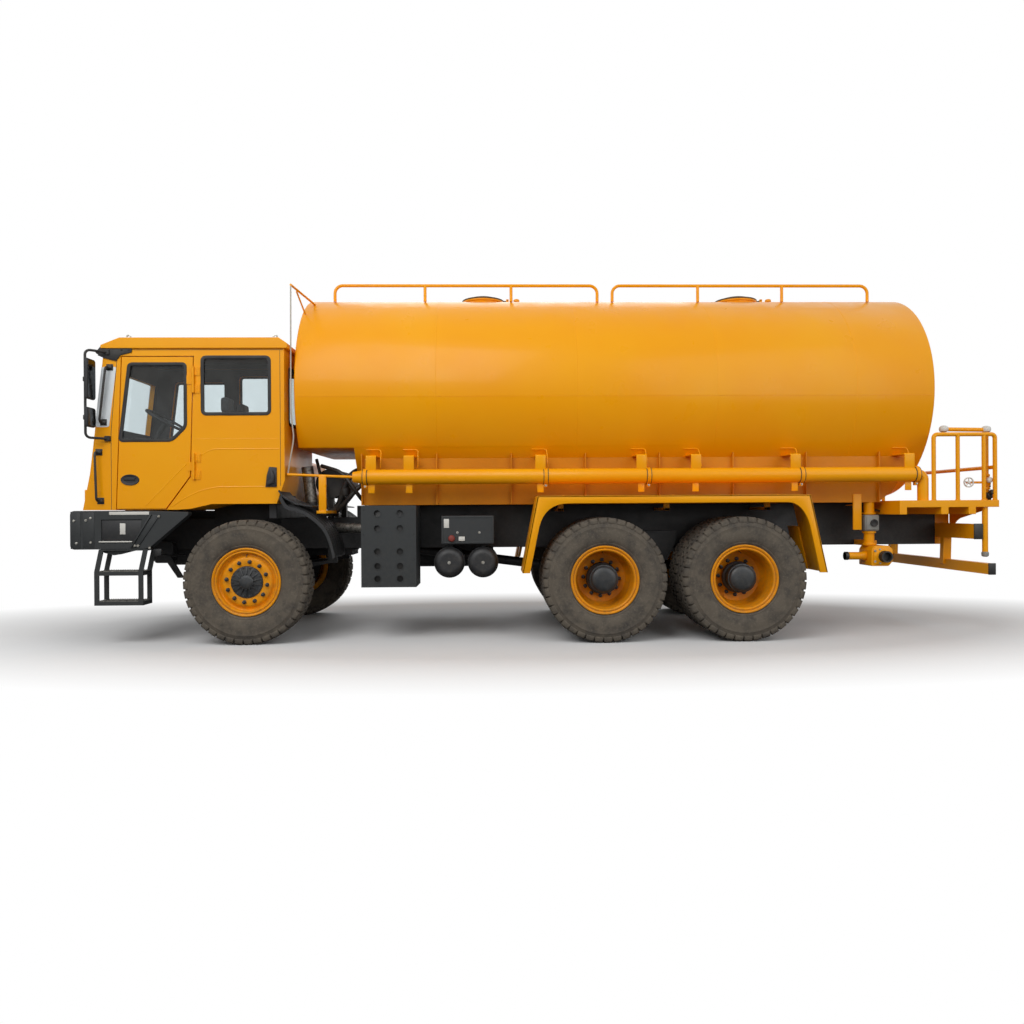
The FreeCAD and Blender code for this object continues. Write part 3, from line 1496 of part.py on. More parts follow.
def grille():
    """Radiator grille: a frame with slats, set in the engine cover's opening."""
    gap = S.seat_gap
    low, high = S.grille_bottom + gap, S.grille_top - gap
    left, right = S.grille_inner + gap, S.grille_outer - gap
    x = back(S.cab_nose) + S.grille_depth - gap - S.grille_thickness
    rim = S.grille_rim
    pieces = [
        box("grille_left", (x, x + S.grille_thickness), (left, left + rim), (low, high)),
        box("grille_right", (x, x + S.grille_thickness), (right - rim, right), (low, high)),
    ]
    slats = 7
    pitch = (high - low - rim) / (slats - 1)
    for number in range(slats):
        z = low + pitch * number
        pieces.append(box(f"slat_{number}", (x, x + S.grille_thickness), (left, right), (z, z + rim)))
    node("grille", *pieces)


def front_bumper():
    """Deep bumper beam with a wing along each side that ends at the wheel arch."""
    low, high = S.bumper_bottom, S.bumper_top
    front, rear = back(-S.front_overhang), back(S.bumper_rear)
    beam_outline = [(front, low, S.bumper_round), (rear, low), (rear, high), (front, high, S.bumper_round)]
    beam = prism("bumper_beam", "XZ", beam_outline, -S.bumper_half, S.bumper_half * 2)
    pockets = box_both("lamp_pocket", (front, front + S.lamp_pocket_depth), (S.lamp_inner, S.lamp_outer),
                       (S.lamp_bottom, S.lamp_top))
    wing_outline = [
        (rear, low), (back(S.wing_foot), low, S.wing_round),
        (back(S.wing_tail), high - S.wing_drop - S.wing_tip),
        (back(S.wing_tail), high - S.wing_drop), (back(S.wing_shoulder), high), (rear, high),
    ]
    wing = prism("bumper_wing", "XZ", wing_outline, -S.bumper_half, S.wing_thickness)
    panel = box("wing_panel", (rear + S.panel_margin, back(S.wing_foot) - S.panel_margin),
                (-S.bumper_half, S.panel_depth - S.bumper_half),
                (low + S.panel_margin, high - S.panel_margin - S.panel_margin / 2))
    left_wing = cut("left_wing", wing, panel)
    node("front_bumper", cut("bumper_open", beam, *pockets), left_wing, mirror("right_wing", left_wing))


def lamps():
    """Headlamps in the bumper's pockets and tail lamps on the rear beam."""
    gap = S.seat_gap
    front = back(-S.front_overhang) + S.lamp_pocket_depth - S.lamp_depth - gap
    pieces = box_both("headlamp", (front, front + S.lamp_depth), (S.lamp_inner + gap, S.lamp_outer - gap),
                      (S.lamp_bottom + gap, S.lamp_top - gap))
    rear = back(S.rail_rear) + gap * 2 + S.rear_beam_depth
    middle = S.rear_beam_bottom + S.rear_beam_height / 2
    pieces += box_both("tail_lamp", (rear, rear + S.tail_lamp_depth),
                       (S.tail_lamp_inner, S.tail_lamp_inner + S.tail_lamp_width),
                       (middle - S.tail_lamp_height / 2, middle + S.tail_lamp_height / 2))
    node("lamps", *pieces)


def entry_steps():
    """Ladder that hangs under the left bumper wing, with two treads and sides that lean in to its foot."""
    top = S.bumper_bottom - S.seat_gap
    front, rear = back(S.step_front), back(S.step_rear)
    outer, inner = S.step_outer, S.step_inner
    bar, plate, lean = S.step_bar, S.step_plate, S.step_lean
    low = S.step_low_height - S.tread_depth
    pieces = [box("step_head", (front + lean, rear + lean), (-outer, -inner), (top - plate, top))]
    for label, height in (("middle", S.step_middle_height), ("low", S.step_low_height)):
        pieces.append(box(f"tread_{label}", (front, rear), (-outer, -inner),
                          (height - S.tread_depth, height)))
    for x_label, x in (("front", front), ("rear", rear - bar)):
        side = [(x, low), (x + bar, low), (x + bar, S.step_middle_height), (x + bar + lean, top),
                (x + lean, top), (x, S.step_middle_height)]
        for y_label, y in (("outer", -outer), ("inner", -inner - plate)):
            pieces.append(prism(f"step_bar_{x_label}_{y_label}", "XZ", side, y, plate))
    node("entry_steps", fuse("left_steps", *pieces))


def front_mudguards():
    """Plate behind each front wheel, on a stay from the rail."""
    thick = S.mudguard_thickness
    line = [
        (back(S.guard_top_place), S.guard_top_height), (back(S.guard_bend_place), S.guard_bend_height),
        (back(S.guard_corner_place), S.guard_corner_height),
        (back(S.guard_middle_place), S.guard_middle_height), (back(S.guard_foot_place), S.guard_foot_height),
    ]
    under = [(x - thick, z - thick) for x, z in reversed(line)]
    plate = prism("mudguard", "XZ", line + under, -S.guard_outer, S.guard_outer - S.guard_inner)
    stay = box("mudguard_stay", (back(S.guard_corner_place) - S.guard_stay_width, back(S.guard_corner_place)),
               (-S.guard_inner - S.guard_stay_width, -S.rail_half - S.seat_gap),
               (RAIL_TOP - S.guard_stay_width, S.guard_corner_height - thick / 2))
    left = fuse("left_mudguard", plate, stay)
    low = RAIL_TOP - S.splash_bite
    shield = [
        (back(S.arch_knee), low), (back(S.splash_rear), low),
        (back(S.splash_rear), S.cab_arch_bottom - S.seat_gap),
        (back(S.arch_rear), S.cab_arch_bottom - S.seat_gap),
        (back(S.arch_knee), ARCH_KNEE_HEIGHT - S.seat_gap),
    ]
    splash = prism("left_splash_plate", "XZ", shield, -S.rail_half - S.seat_gap - S.splash_thickness,
                   S.splash_thickness)
    node("front_mudguards", left, mirror("right_mudguard", left), splash,
         mirror("right_splash_plate", splash))


def steering_gear():
    """Steering box on the left rail's outer face, with its drop arm."""
    wall = -S.rail_half - S.seat_gap
    case = prism("gear_case", "XZ", rectangle(back(S.gear_front), back(S.gear_rear), S.gear_low, S.gear_top,
                                              S.gear_round), wall - S.gear_width, S.gear_width)
    head = (back(S.gear_rear) - S.gear_arm_inset, S.gear_low + S.gear_arm_inset)
    foot = (back(S.gear_arm_end), S.gear_arm_low)
    half = S.gear_arm_half
    arm = prism("drop_arm", "XZ", [(head[0] - half, head[1]), (foot[0] - half, foot[1]),
                                   (foot[0] + half, foot[1]), (head[0] + half, head[1] + half)],
                wall - S.gear_width - S.gear_arm_width, S.gear_arm_width)
    node("steering_gear", fuse("gear_whole", case, arm))


def visor():
    """Sun visor on the front edge of the roof."""
    edge = back(S.roof_front) - S.seat_gap
    base = CAB_TOP + S.seat_gap
    outline = [(edge, base + S.roof_lip_height), (edge - S.visor_reach, base - S.visor_fall),
               (edge - S.visor_reach + S.visor_thickness, base - S.visor_fall - S.visor_thickness),
               (edge, base)]
    node("visor", prism("visor_plate", "XZ", outline, -S.cab_left, S.cab_left + S.cab_right))


def mirror_set(label, wall, way, reach):
    """Tube loop from the cab's corner that carries a tall mirror and a small one."""
    out = wall + way * reach
    skin = wall + way * (S.seat_gap + S.mirror_tube)
    front, foot = back(S.mirror_arm_front), back(S.mirror_arm_foot)
    loop = bent_tube(f"mirror_arm_{label}", [
        (foot, skin, S.mirror_arm_bottom), (front, out, S.mirror_arm_bottom),
        (front, out, S.mirror_arm_top), (foot, skin, S.mirror_arm_top)],
        S.mirror_tube, S.mirror_bend)
    pieces = [loop]
    for height_label, height in (("low", S.mirror_arm_bottom), ("high", S.mirror_arm_top)):
        start = wall + way * S.seat_gap
        depth = S.mirror_tube * 2
        pieces.append(box(f"mirror_pad_{label}_{height_label}",
                          (foot - S.mirror_pad, foot + S.mirror_pad),
                          (start, start + depth) if way > 0 else (start - depth, start),
                          (height - S.mirror_pad, height + S.mirror_pad)))
    half = S.mirror_width / 2
    x = back(S.mirror_place)
    for size_label, low, high in (("tall", S.mirror_tall_bottom, S.mirror_tall_top),
                                  ("small", S.mirror_small_bottom, S.mirror_small_top)):
        outline = rectangle(out - half, out + half, low, high, S.mirror_round)
        pieces.append(prism(f"mirror_{label}_{size_label}", "YZ", outline, x, S.mirror_depth))
        middle = (low + high) / 2
        pieces.append(rod(f"mirror_clamp_{label}_{size_label}", (front, out, middle),
                          (x + S.mirror_depth / 2, out, middle), S.mirror_tube))
    return pieces


def mirrors():
    node("mirrors", *mirror_set("left", -S.cab_left, -1, S.mirror_reach_left),
         *mirror_set("right", S.cab_right, 1, S.mirror_reach_right))


def grab_rails():
    """Bent handrails on the left front corner of the cab."""
    skin = -S.cab_left - S.seat_gap
    out = skin - S.grab_reach
    pieces = []
    for label, low, high, low_place, high_place in (
            ("low", S.grab_low_bottom, S.grab_low_top, S.grab_low_foot, S.grab_low_head),
            ("high", S.grab_high_bottom, S.grab_high_top, S.grab_high_foot, S.grab_high_head)):
        pieces.append(bent_tube(f"grab_{label}", [
            (back(low_place), skin, low), (back(low_place), out, low),
            (back(high_place), out, high), (back(high_place), skin, high)], S.grab_radius, S.grab_bend))
    node("grab_rails", *pieces)


def air_intake():
    """Air filter across the rails behind the cab, and a duct beside it."""
    x, z = back(S.filter_place), S.filter_height
    pieces = [cylinder("air_filter", "Y", (x, -S.filter_half, z), S.filter_radius, S.filter_half * 2)]
    pieces += box_both("filter_post", (x - S.filter_post, x + S.filter_post),
                       (S.rail_half - S.rail_flange + S.seat_gap, S.rail_half), (RAIL_TOP + S.seat_gap, z))
    duct_y = -S.duct_side
    duct_low = RAIL_TOP + S.seat_gap + S.duct_radius
    pieces.append(bent_tube("air_duct", [
        (back(S.duct_top_place), duct_y, S.duct_top_height), (back(S.duct_low_place), duct_y, duct_low),
        (back(S.duct_low_place), -S.rail_half + S.rail_flange, duct_low)], S.duct_radius, S.duct_bend))
    node("air_intake", *pieces)


TANK_FRONT = back(S.tank_front)
TANK_LENGTH = S.tank_rear - S.tank_front


def barrel_half_width(height):
    """Half the barrel's width at this height."""
    rise = height - S.tank_height
    return root(S.tank_radius * S.tank_radius - rise * rise)


def barrel_top(y):
    return S.tank_height + root(S.tank_radius * S.tank_radius - size_of(y) * y)


MANHOLES = (("front", S.manhole_front), ("rear", S.manhole_rear))
NECK_TOP = S.tank_height + S.tank_radius + S.neck_height
LID_HINGE_HEIGHT = NECK_TOP + S.seat_gap + S.lid_hinge_rise


def tank():
    """Round barrel with dished ends, cut away below at the front, with its manhole necks and breathers."""
    radius, dish = S.tank_radius, S.tank_dish
    half_way = radius * S.tank_dish_share
    outline = [
        (0, size_of(0)), (half_way, dish / 4, S.tank_dish_radius), (radius, dish, S.tank_knuckle),
        (radius, TANK_LENGTH - dish, S.tank_knuckle), (half_way, TANK_LENGTH - dish / 4, S.tank_dish_radius),
        (0, TANK_LENGTH),
    ]
    barrel = turned("tank_barrel", "X", (TANK_FRONT, 0, S.tank_height), outline)
    notch = box("tank_notch", (TANK_FRONT - S.tank_dish, back(S.notch_rear)), (-radius, radius),
                (S.tank_height - radius * 1.1, S.notch_height))
    pieces = [cut("tank_body", barrel, notch)]
    neck_foot = NECK_TOP - S.neck_height - S.neck_bite
    for label, place_back in MANHOLES:
        x = back(place_back)
        pieces.append(cylinder(f"neck_{label}", "Z", (x, 0, neck_foot), S.neck_radius, NECK_TOP - neck_foot))
        pieces.append(cylinder(f"breather_{label}", "Z", (x + S.breather_place, 0, neck_foot),
                               S.breather_radius, S.neck_bite + S.breather_height))
        hinge = x + S.lid_hinge_place
        for ear_label, side in (("left", -1), ("right", 1)):
            inner = S.lid_ear_side
            y = (inner, inner + S.lid_ear) if side > 0 else (-inner - S.lid_ear, -inner)
            pieces.append(box(f"lid_ear_{label}_{ear_label}", (hinge - S.lid_ear, hinge + S.lid_ear), y,
                              (neck_foot, LID_HINGE_HEIGHT + S.lid_ear)))
        pieces.append(cylinder(f"lid_pin_{label}", "Y",
                               (hinge, -S.lid_ear_side - S.lid_ear, LID_HINGE_HEIGHT),
                               S.lid_pin, (S.lid_ear_side + S.lid_ear) * 2))
    node("tank", *pieces)


def manhole_lids():
    """Domed lid on each neck, hinged at its rear edge."""
    base = NECK_TOP + S.seat_gap
    for label, place_back in MANHOLES:
        x = back(place_back)
        hinge = x + S.lid_hinge_place
        knuckle_half = S.lid_ear_side - S.lid_ear_gap
        plate = cylinder(f"lid_plate_{label}", "Z", (x, 0, base), S.lid_radius, S.lid_rim)
        dome = cone(f"lid_dome_{label}", "Z", (x, 0, base + S.lid_rim), S.lid_radius - S.lid_rim, S.lid_crown,
                    S.lid_dome)
        leaf = box(f"lid_leaf_{label}", (x, hinge), (-knuckle_half, knuckle_half), (base + S.lid_rim / 2,
                                                                                  LID_HINGE_HEIGHT))
        barrel = cylinder(f"lid_knuckle_{label}", "Y", (hinge, -knuckle_half, LID_HINGE_HEIGHT),
                          S.lid_knuckle, knuckle_half * 2)
        hole = cylinder(f"lid_hole_{label}", "Y", (hinge, -knuckle_half, LID_HINGE_HEIGHT),
                        S.lid_pin + S.bearing_gap, knuckle_half * 2)
        node(f"manhole_lid_{label}", cut(f"lid_{label}",
                                         fuse(f"lid_whole_{label}", plate, dome, leaf, barrel),
                                         hole))


def top_rails():
    """Low tube rails along both sides of the barrel's top."""
    pieces = []
    y = -S.top_rail_side
    foot = barrel_top(S.top_rail_side - S.top_rail_radius) + S.seat_gap
    for label, first, last, posts in (
            ("front", S.top_rail_front, S.top_rail_front_end, (S.top_post_first, S.top_post_second)),
            ("rear", S.top_rail_rear_start, S.top_rail_rear, (S.top_post_third, S.top_post_fourth))):
        pieces.append(bent_tube(f"top_rail_{label}", [
            (back(first), y, foot), (back(first), y, S.top_rail_height), (back(last), y, S.top_rail_height),
            (back(last), y, foot)], S.top_rail_radius, S.top_rail_bend))
        for number, post in enumerate(posts):
            pieces.append(cylinder(f"top_post_{label}_{number}", "Z", (back(post), y, foot),
                                   S.top_rail_radius, S.top_rail_height - foot))
    left = fuse("left_top_rails", *pieces)
    node("top_rails", left, mirror("right_top_rails", left))


def tank_saddle():
    """Skirt and cradle plates between the rails and the barrel, shaped to the barrel's underside."""
    low = DECK + S.seat_gap
    rear_outline = [
        (back(S.saddle_front), low), (back(S.saddle_rear_foot), low),
        (back(S.saddle_rear_knee), S.saddle_knee_height),
        (back(S.saddle_rear), S.saddle_tail_height), (back(S.saddle_rear), S.saddle_top),
        (back(S.saddle_front), S.saddle_top),
    ]
    skirt = prism("skirt", "XZ", rear_outline, -S.saddle_half, S.saddle_plate)
    floor = box("saddle_floor", (back(S.saddle_front), back(S.saddle_rear_foot)),
                (-S.saddle_half, size_of(0)), (low, low + S.saddle_plate))
    pieces = [skirt, floor]
    count = 8
    pitch = (S.saddle_rear_foot - S.saddle_front - S.saddle_plate) / (count - 1)
    for number in range(count):
        x = back(S.saddle_front) + pitch * number
        pieces.append(box(f"cradle_{number}", (x, x + S.saddle_plate),
                          (-S.saddle_half - S.saddle_rib, size_of(0)),
                          (low, S.saddle_top)))
    left = fuse("left_saddle", *pieces)
    whole = fuse("whole_saddle", left, mirror("right_saddle", left))
    bed = cylinder("saddle_bed", "X", (back(S.saddle_front) - S.saddle_rib, 0, S.tank_height),
                   S.tank_radius + S.seat_gap, S.saddle_rear - S.saddle_front + S.saddle_rib * 2)
    node("tank_saddle", cut("saddle_shaped", whole, bed))


def side_pipes():
    """Long pipe along each side on straps from the barrel, with clamps, a front cone and a rear elbow."""
    y, z = -S.pipe_side, S.pipe_height
    radius = S.pipe_radius
    front, end = back(S.pipe_front), back(S.pipe_rear)
    turn_down = end + S.elbow_reach
    pieces = [
        cylinder("side_pipe", "X", (front, y, z), radius, end - front),
        bent_tube("elbow", [(end - S.elbow_radius, y, z), (turn_down, y, z),
                            (turn_down, y, S.platform_top + S.seat_gap)], S.elbow_radius, S.elbow_bend),
        cone("pipe_cone", "X", (front - S.pipe_cone_length, y, z), S.pipe_cone_radius, radius,
             S.pipe_cone_length),
    ]
    for number, place_back in enumerate((S.clamp_first, S.clamp_second, S.clamp_third, S.clamp_fourth)):
        pieces.append(cylinder(f"clamp_{number}", "X", (back(place_back), y, z), radius + S.clamp_height,
                               S.clamp_width))
    pieces.append(cylinder("clamp_rear", "X", (end - S.clamp_width, y, z), radius + S.clamp_height,
                           S.clamp_width))
    high, low = S.strap_top, S.strap_bottom
    relief = S.seat_gap + S.strap_relief
    seat = z + radius - S.strap_bite
    outline = [
        (-barrel_half_width(high) - relief, high),
        (y - S.strap_reach, seat + S.strap_bite + S.strap_thickness),
        (y - S.strap_reach, seat), (y + S.strap_reach, seat), (-S.saddle_half - S.seat_gap, low),
    ]
    for number, place_back in enumerate((S.strap_first, S.strap_second, S.strap_third, S.strap_fourth,
                                         S.strap_fifth, S.strap_sixth, S.strap_seventh)):
        pieces.append(prism(f"strap_{number}", "YZ", outline, back(place_back) - S.strap_width / 2,
                            S.strap_width))
    left = fuse("left_side_pipe", *pieces)
    node("side_pipes", left, mirror("right_side_pipe", left))


def sight_line():
    """Thin line held out from the barrel's front, down to a tube that runs back to the side pipe."""
    y = -S.pipe_side
    x = back(S.sight_place)
    arm_top = S.sight_top
    root_y = -barrel_half_width(arm_top - S.sight_arm_radius) - S.seat_gap
    pieces = [
        rod("sight_arm", (back(S.sight_root_place), root_y, arm_top), (x, y, arm_top + S.sight_rise),
            S.sight_arm_radius),
        cylinder("sight_tube", "Z", (x, y, S.sight_bottom), S.sight_radius,
                 arm_top + S.sight_rise - S.sight_bottom),
        rod("sight_return", (x - S.sight_arm_radius, y, S.sight_bottom),
            (back(S.pipe_front) - S.pipe_cone_length - S.seat_gap * 8, y, S.pipe_height), S.sight_arm_radius),
        box("sight_post", (back(S.sight_post_place) - S.sight_post_half, back(S.sight_post_place)
                           + S.sight_post_half), (y - S.sight_post_half / 2, y + S.sight_post_half / 2),
            (S.guard_bend_height + S.sight_post_rise, S.sight_bottom)),
    ]
    node("sight_line", *pieces)


def rear_fenders():
    """Sheet over both twin wheels of each side, with a deep outer band and stays to the rails."""
    def arch(inset, corner):
        return [
            (back(S.fender_front_foot) + inset, S.fender_front_height),
            (back(S.fender_front) + inset, S.fender_top - inset, corner),
            (back(S.fender_rear) - inset, S.fender_top - inset, corner),
            (back(S.fender_rear_foot) - inset, S.fender_rear_height),
        ]

    outer = arch(size_of(0), S.fender_round)
    sheet_outline = outer + arch(S.fender_sheet, S.fender_round - S.fender_sheet)[::-1]
    band_outline = outer + arch(S.fender_band, S.fender_inner_round)[::-1]
    pieces = [
        prism("fender_sheet", "XZ", sheet_outline, -S.fender_outer, S.fender_outer - S.fender_inner),
        prism("fender_band", "XZ", band_outline, -S.fender_outer, S.fender_band_thickness),
    ]
    for number, place_back in enumerate((S.fender_stay_first, S.fender_stay_second, S.fender_stay_third)):
        x = (back(place_back), back(place_back) + S.fender_stay)
        high = S.fender_top - S.fender_sheet / 2
        low = DECK - S.fender_stay
        pieces.append(box(f"fender_arm_{number}", x,
                          (-S.fender_inner - S.fender_stay / 2, -S.rail_half - S.seat_gap),
                          (low, DECK - S.fender_stay / 2)))
        pieces.append(box(f"fender_leg_{number}", x,
                          (-S.fender_inner - S.fender_stay / 2, -S.fender_inner), (low, high)))
    for label, foot, foot_height, shoulder, way in (
            ("front", S.fender_front_foot, S.fender_front_height, S.fender_front, 1),
            ("rear", S.fender_rear_foot, S.fender_rear_height, S.fender_rear, -1)):
        lean = (shoulder - foot) / (S.fender_top - foot_height)
        head = back(foot) + lean * (S.flap_top - foot_height)
        thick = S.flap_thickness * way
        flap = [(back(foot), foot_height), (back(foot) + thick, foot_height), (head + thick, S.flap_top),
                (head, S.flap_top)]
        pieces.append(prism(f"flap_{label}", "XZ", flap, -S.fender_inner - S.fender_stay / 2,
                            S.fender_inner + S.fender_stay / 2 - S.flap_inner))
    left = fuse("left_fender", *pieces)
    node("rear_fenders", left, mirror("right_fender", left))


def exhaust_box():
    """Tall guard box with two rows of round holes, on stays from the left rail."""
    x = (back(S.exhaust_front), back(S.exhaust_rear))
    case = prism("exhaust_case", "XY", [
        (x[0], -S.exhaust_outer, S.exhaust_round), (x[1], -S.exhaust_outer, S.exhaust_round),
        (x[1], -S.exhaust_inner), (x[0], -S.exhaust_inner)], S.exhaust_bottom,
        S.exhaust_top - S.exhaust_bottom)
    holes = []
    for column in range(2):
        for row in range(5):
            place_x = x[0] + S.exhaust_hole_start + S.exhaust_hole_pitch_x * column
            place_z = S.exhaust_bottom + S.exhaust_hole_low + S.exhaust_hole_pitch_z * row
            holes.append(cylinder(f"exhaust_hole_{column}_{row}", "Y", (place_x, -S.exhaust_outer, place_z),
                                  S.exhaust_hole, S.exhaust_hole_depth))
    stays = [
        box(f"exhaust_stay_{label}", (x[0] + S.box_stay, x[0] + S.box_stay * 2),
            (S.seat_gap - S.exhaust_inner, -S.rail_half - S.seat_gap), (height, height + S.box_stay))
        for label, height in (("low", S.rail_bottom + S.rail_plate), ("high", RAIL_TOP - S.box_stay * 1.5))
    ]
    node("exhaust_box", cut("exhaust_open", case, *holes), *stays)


def battery_box():
    """Battery box on the left rail, over the air tanks."""
    case = prism("battery_case", "XZ",
                 rectangle(back(S.battery_front), back(S.battery_rear), S.battery_bottom,
                                                 S.battery_top, S.battery_round), -S.battery_outer,
                 S.battery_outer - S.battery_inner)
    stay = box("battery_stay", (back(S.battery_front) + S.box_stay, back(S.battery_rear) - S.box_stay),
               (-S.battery_inner, -S.rail_half - S.seat_gap),
               (S.battery_bottom, S.battery_bottom + S.box_stay))
    node("battery_box", case, stay)


def air_tanks():
    """Two round air tanks across the truck, hung from the battery box."""
    pieces = []
    half = (S.battery_outer - S.battery_inner) / 2
    for label, place_back in (("front", S.air_tank_front), ("rear", S.air_tank_rear)):
        radius, dome = S.air_tank_radius, S.air_tank_dome
        centre = (back(place_back), -S.battery_inner - half, S.air_tank_height)
        pieces.append(turned(f"air_tank_{label}", "Y", centre, [
            (0, -half), (radius, -half, dome), (radius, half, dome), (0, half)]))
        pieces.append(box(f"air_tank_hanger_{label}",
                          (centre[0] - S.box_stay / 2, centre[0] + S.box_stay / 2),
                          (centre[1] - S.box_stay, centre[1] + S.box_stay),
                          (S.air_tank_height + radius - S.hanger_bite / 4, S.battery_bottom - S.seat_gap)))
    node("air_tanks", *pieces)


def fuel_tank():
    """Fuel tank with rounded edges on two brackets from the right rail."""
    outline = rectangle(S.fuel_inner, S.fuel_outer, S.fuel_bottom, S.fuel_top, S.fuel_round)
    case = prism("fuel_case", "YZ", outline, back(S.fuel_front), S.fuel_rear - S.fuel_front)
    stays = [
        box(f"fuel_stay_{label}", (back(place_back), back(place_back) + S.box_stay),
            (S.rail_half + S.seat_gap, S.fuel_inner), (S.fuel_top - S.box_stay * 3, S.fuel_top - S.box_stay))
        for label, place_back in (("front", S.fuel_front + S.box_stay),
                                  ("rear", S.fuel_rear - S.box_stay * 2))
    ]
    cap = cylinder("fuel_cap", "Z", (back(S.fuel_front) + S.fuel_cap_place, (S.fuel_inner + S.fuel_outer) / 2,
                                     S.fuel_top), S.fuel_cap, S.fuel_cap_height)
    node("fuel_tank", case, cap, *stays)


def rear_platform():
    """Deck behind the barrel on cross beams, with a gusset under each rear corner."""
    top, low = S.platform_top, S.platform_top - S.platform_thickness
    front, rear = back(S.platform_front), REAR_END
    pieces = [box("platform_deck", (front, rear), (-S.platform_half, S.platform_half), (low, top))]
    for number, place_back in enumerate((S.platform_front, S.platform_beam_second,
                                         S.rail_rear - S.platform_beam)):
        pieces.append(box(f"platform_beam_{number}", (back(place_back), back(place_back) + S.platform_beam),
                          (-S.platform_half, S.platform_half), (RAIL_TOP + S.seat_gap, low)))
    gusset = prism("gusset", "YZ", [
        (-S.rail_half, low), (-S.gusset_tip, low), (-S.gusset_tip, S.gusset_tip_height),
        (-S.gusset_knee, S.gusset_knee_height, S.gusset_round),
        (-S.rail_half - S.gusset_thickness, S.gusset_bottom),
        (-S.rail_half, S.gusset_bottom)], back(S.gusset_place), S.gusset_thickness)
    node("rear_platform", *pieces, gusset, mirror("right_gusset", gusset))


def rear_railing():
    """Tube rail along each side of the platform and across its rear."""
    y = -S.platform_half + S.railing_inset
    foot = S.platform_top + S.seat_gap
    front, rear = back(S.railing_front), REAR_END - S.railing_inset
    radius = S.railing_radius
    pieces = [bent_tube("railing_loop",
                        [(front, y, foot), (front, y, S.railing_top), (rear, y, S.railing_top),
                                         (rear, y, foot)], radius, S.railing_bend)]
    for number, place_back in enumerate((S.railing_post_second, S.railing_post_third)):
        pieces.append(cylinder(f"railing_post_{number}", "Z", (back(place_back), y, foot),
                               radius - S.seat_gap, S.railing_top - foot))
    left = fuse("left_railing", *pieces)
    cross = cylinder("railing_cross", "Y", (rear, y, S.railing_cross_height), radius - S.seat_gap, -y * 2)
    node("rear_railing", fuse("whole_railing", left, mirror("right_railing", left), cross))


def rear_pipework():
    """Drain pipe under the platform's left edge, and a riser at the corner with its tap and hand-wheel."""
    low = S.platform_top - S.platform_thickness - S.seat_gap
    drain = (back(S.drain_place), -S.drain_side)
    riser_x, y = back(S.corner_place), -S.corner_side
    z = S.tap_height
    wheel_x = back(S.valve_place)
    wheel_y = y - S.valve_stem_length
    pieces = [
        cylinder("drain_pipe", "Z", (*drain, S.drain_bottom), S.drain_radius, low - S.drain_bottom),
        cylinder("drain_cap", "Z", (*drain, S.drain_bottom - S.drain_cap_height), S.drain_cap,
                 S.drain_cap_height),
        cylinder("corner_riser", "Z", (riser_x, y, S.platform_top + S.seat_gap), S.corner_radius,
                 S.corner_top - S.platform_top),
        cylinder("tap_body", "Z", (riser_x, y, z - S.tap_body_half), S.tap_body, S.tap_body_half * 2),
        cylinder("valve_arm", "X", (wheel_x, y, z), S.valve_arm, riser_x - wheel_x),
        cylinder("valve_stem", "Y", (wheel_x, wheel_y, z), S.valve_arm, S.valve_stem_length),
        cylinder("hand_wheel", "Y", (wheel_x, wheel_y - S.hand_wheel_width, z), S.hand_wheel,
                 S.hand_wheel_width),
    ]
    node("rear_pipework", *pieces)


def water_pump():
    """Pump box under the saddle's left side, with its valve above and a suction port that faces out."""
    x = (back(S.pump_front), back(S.pump_rear))
    y = (-S.pump_outer, -S.pump_inner)
    port_x, port_z = back(S.port_place), S.port_height
    riser_x = back(S.riser_place)
    riser_y = -S.riser_side
    gap = S.seat_gap
    stay_x = (x[0] + S.box_stay, x[1] - S.box_stay)
    node("water_pump",
         box("pump_case", x, y, (S.pump_bottom, S.pump_top)),
         cylinder("riser", "Z", (riser_x, riser_y, S.pump_top), S.riser_radius, DECK - S.pump_top),
         box("valve_block", (riser_x - S.valve_block_half, riser_x + S.valve_block_half),
             (riser_y - S.valve_block_half, riser_y + S.valve_block_half),
             (S.valve_block_bottom, S.valve_block_top)),
         cylinder("branch_pipe", "X", (x[0] - S.branch_length, -(S.pump_outer + S.pump_inner) / 2, port_z),
                  S.branch_radius, S.branch_length),
         box("pump_stay", stay_x, (-S.pump_inner, -S.rail_half - gap),
             (S.rail_bottom + gap, S.rail_bottom + S.box_stay)),
         box("pump_stay_foot", stay_x, (-S.pump_inner - S.box_stay, -S.pump_inner),
             (S.pump_top - gap, S.rail_bottom + S.box_stay)))
    node("suction_port", ring("port_ring", "Y", (port_x, -S.pump_outer - S.port_length, port_z),
                              S.port_radius, S.port_bore, S.port_length))


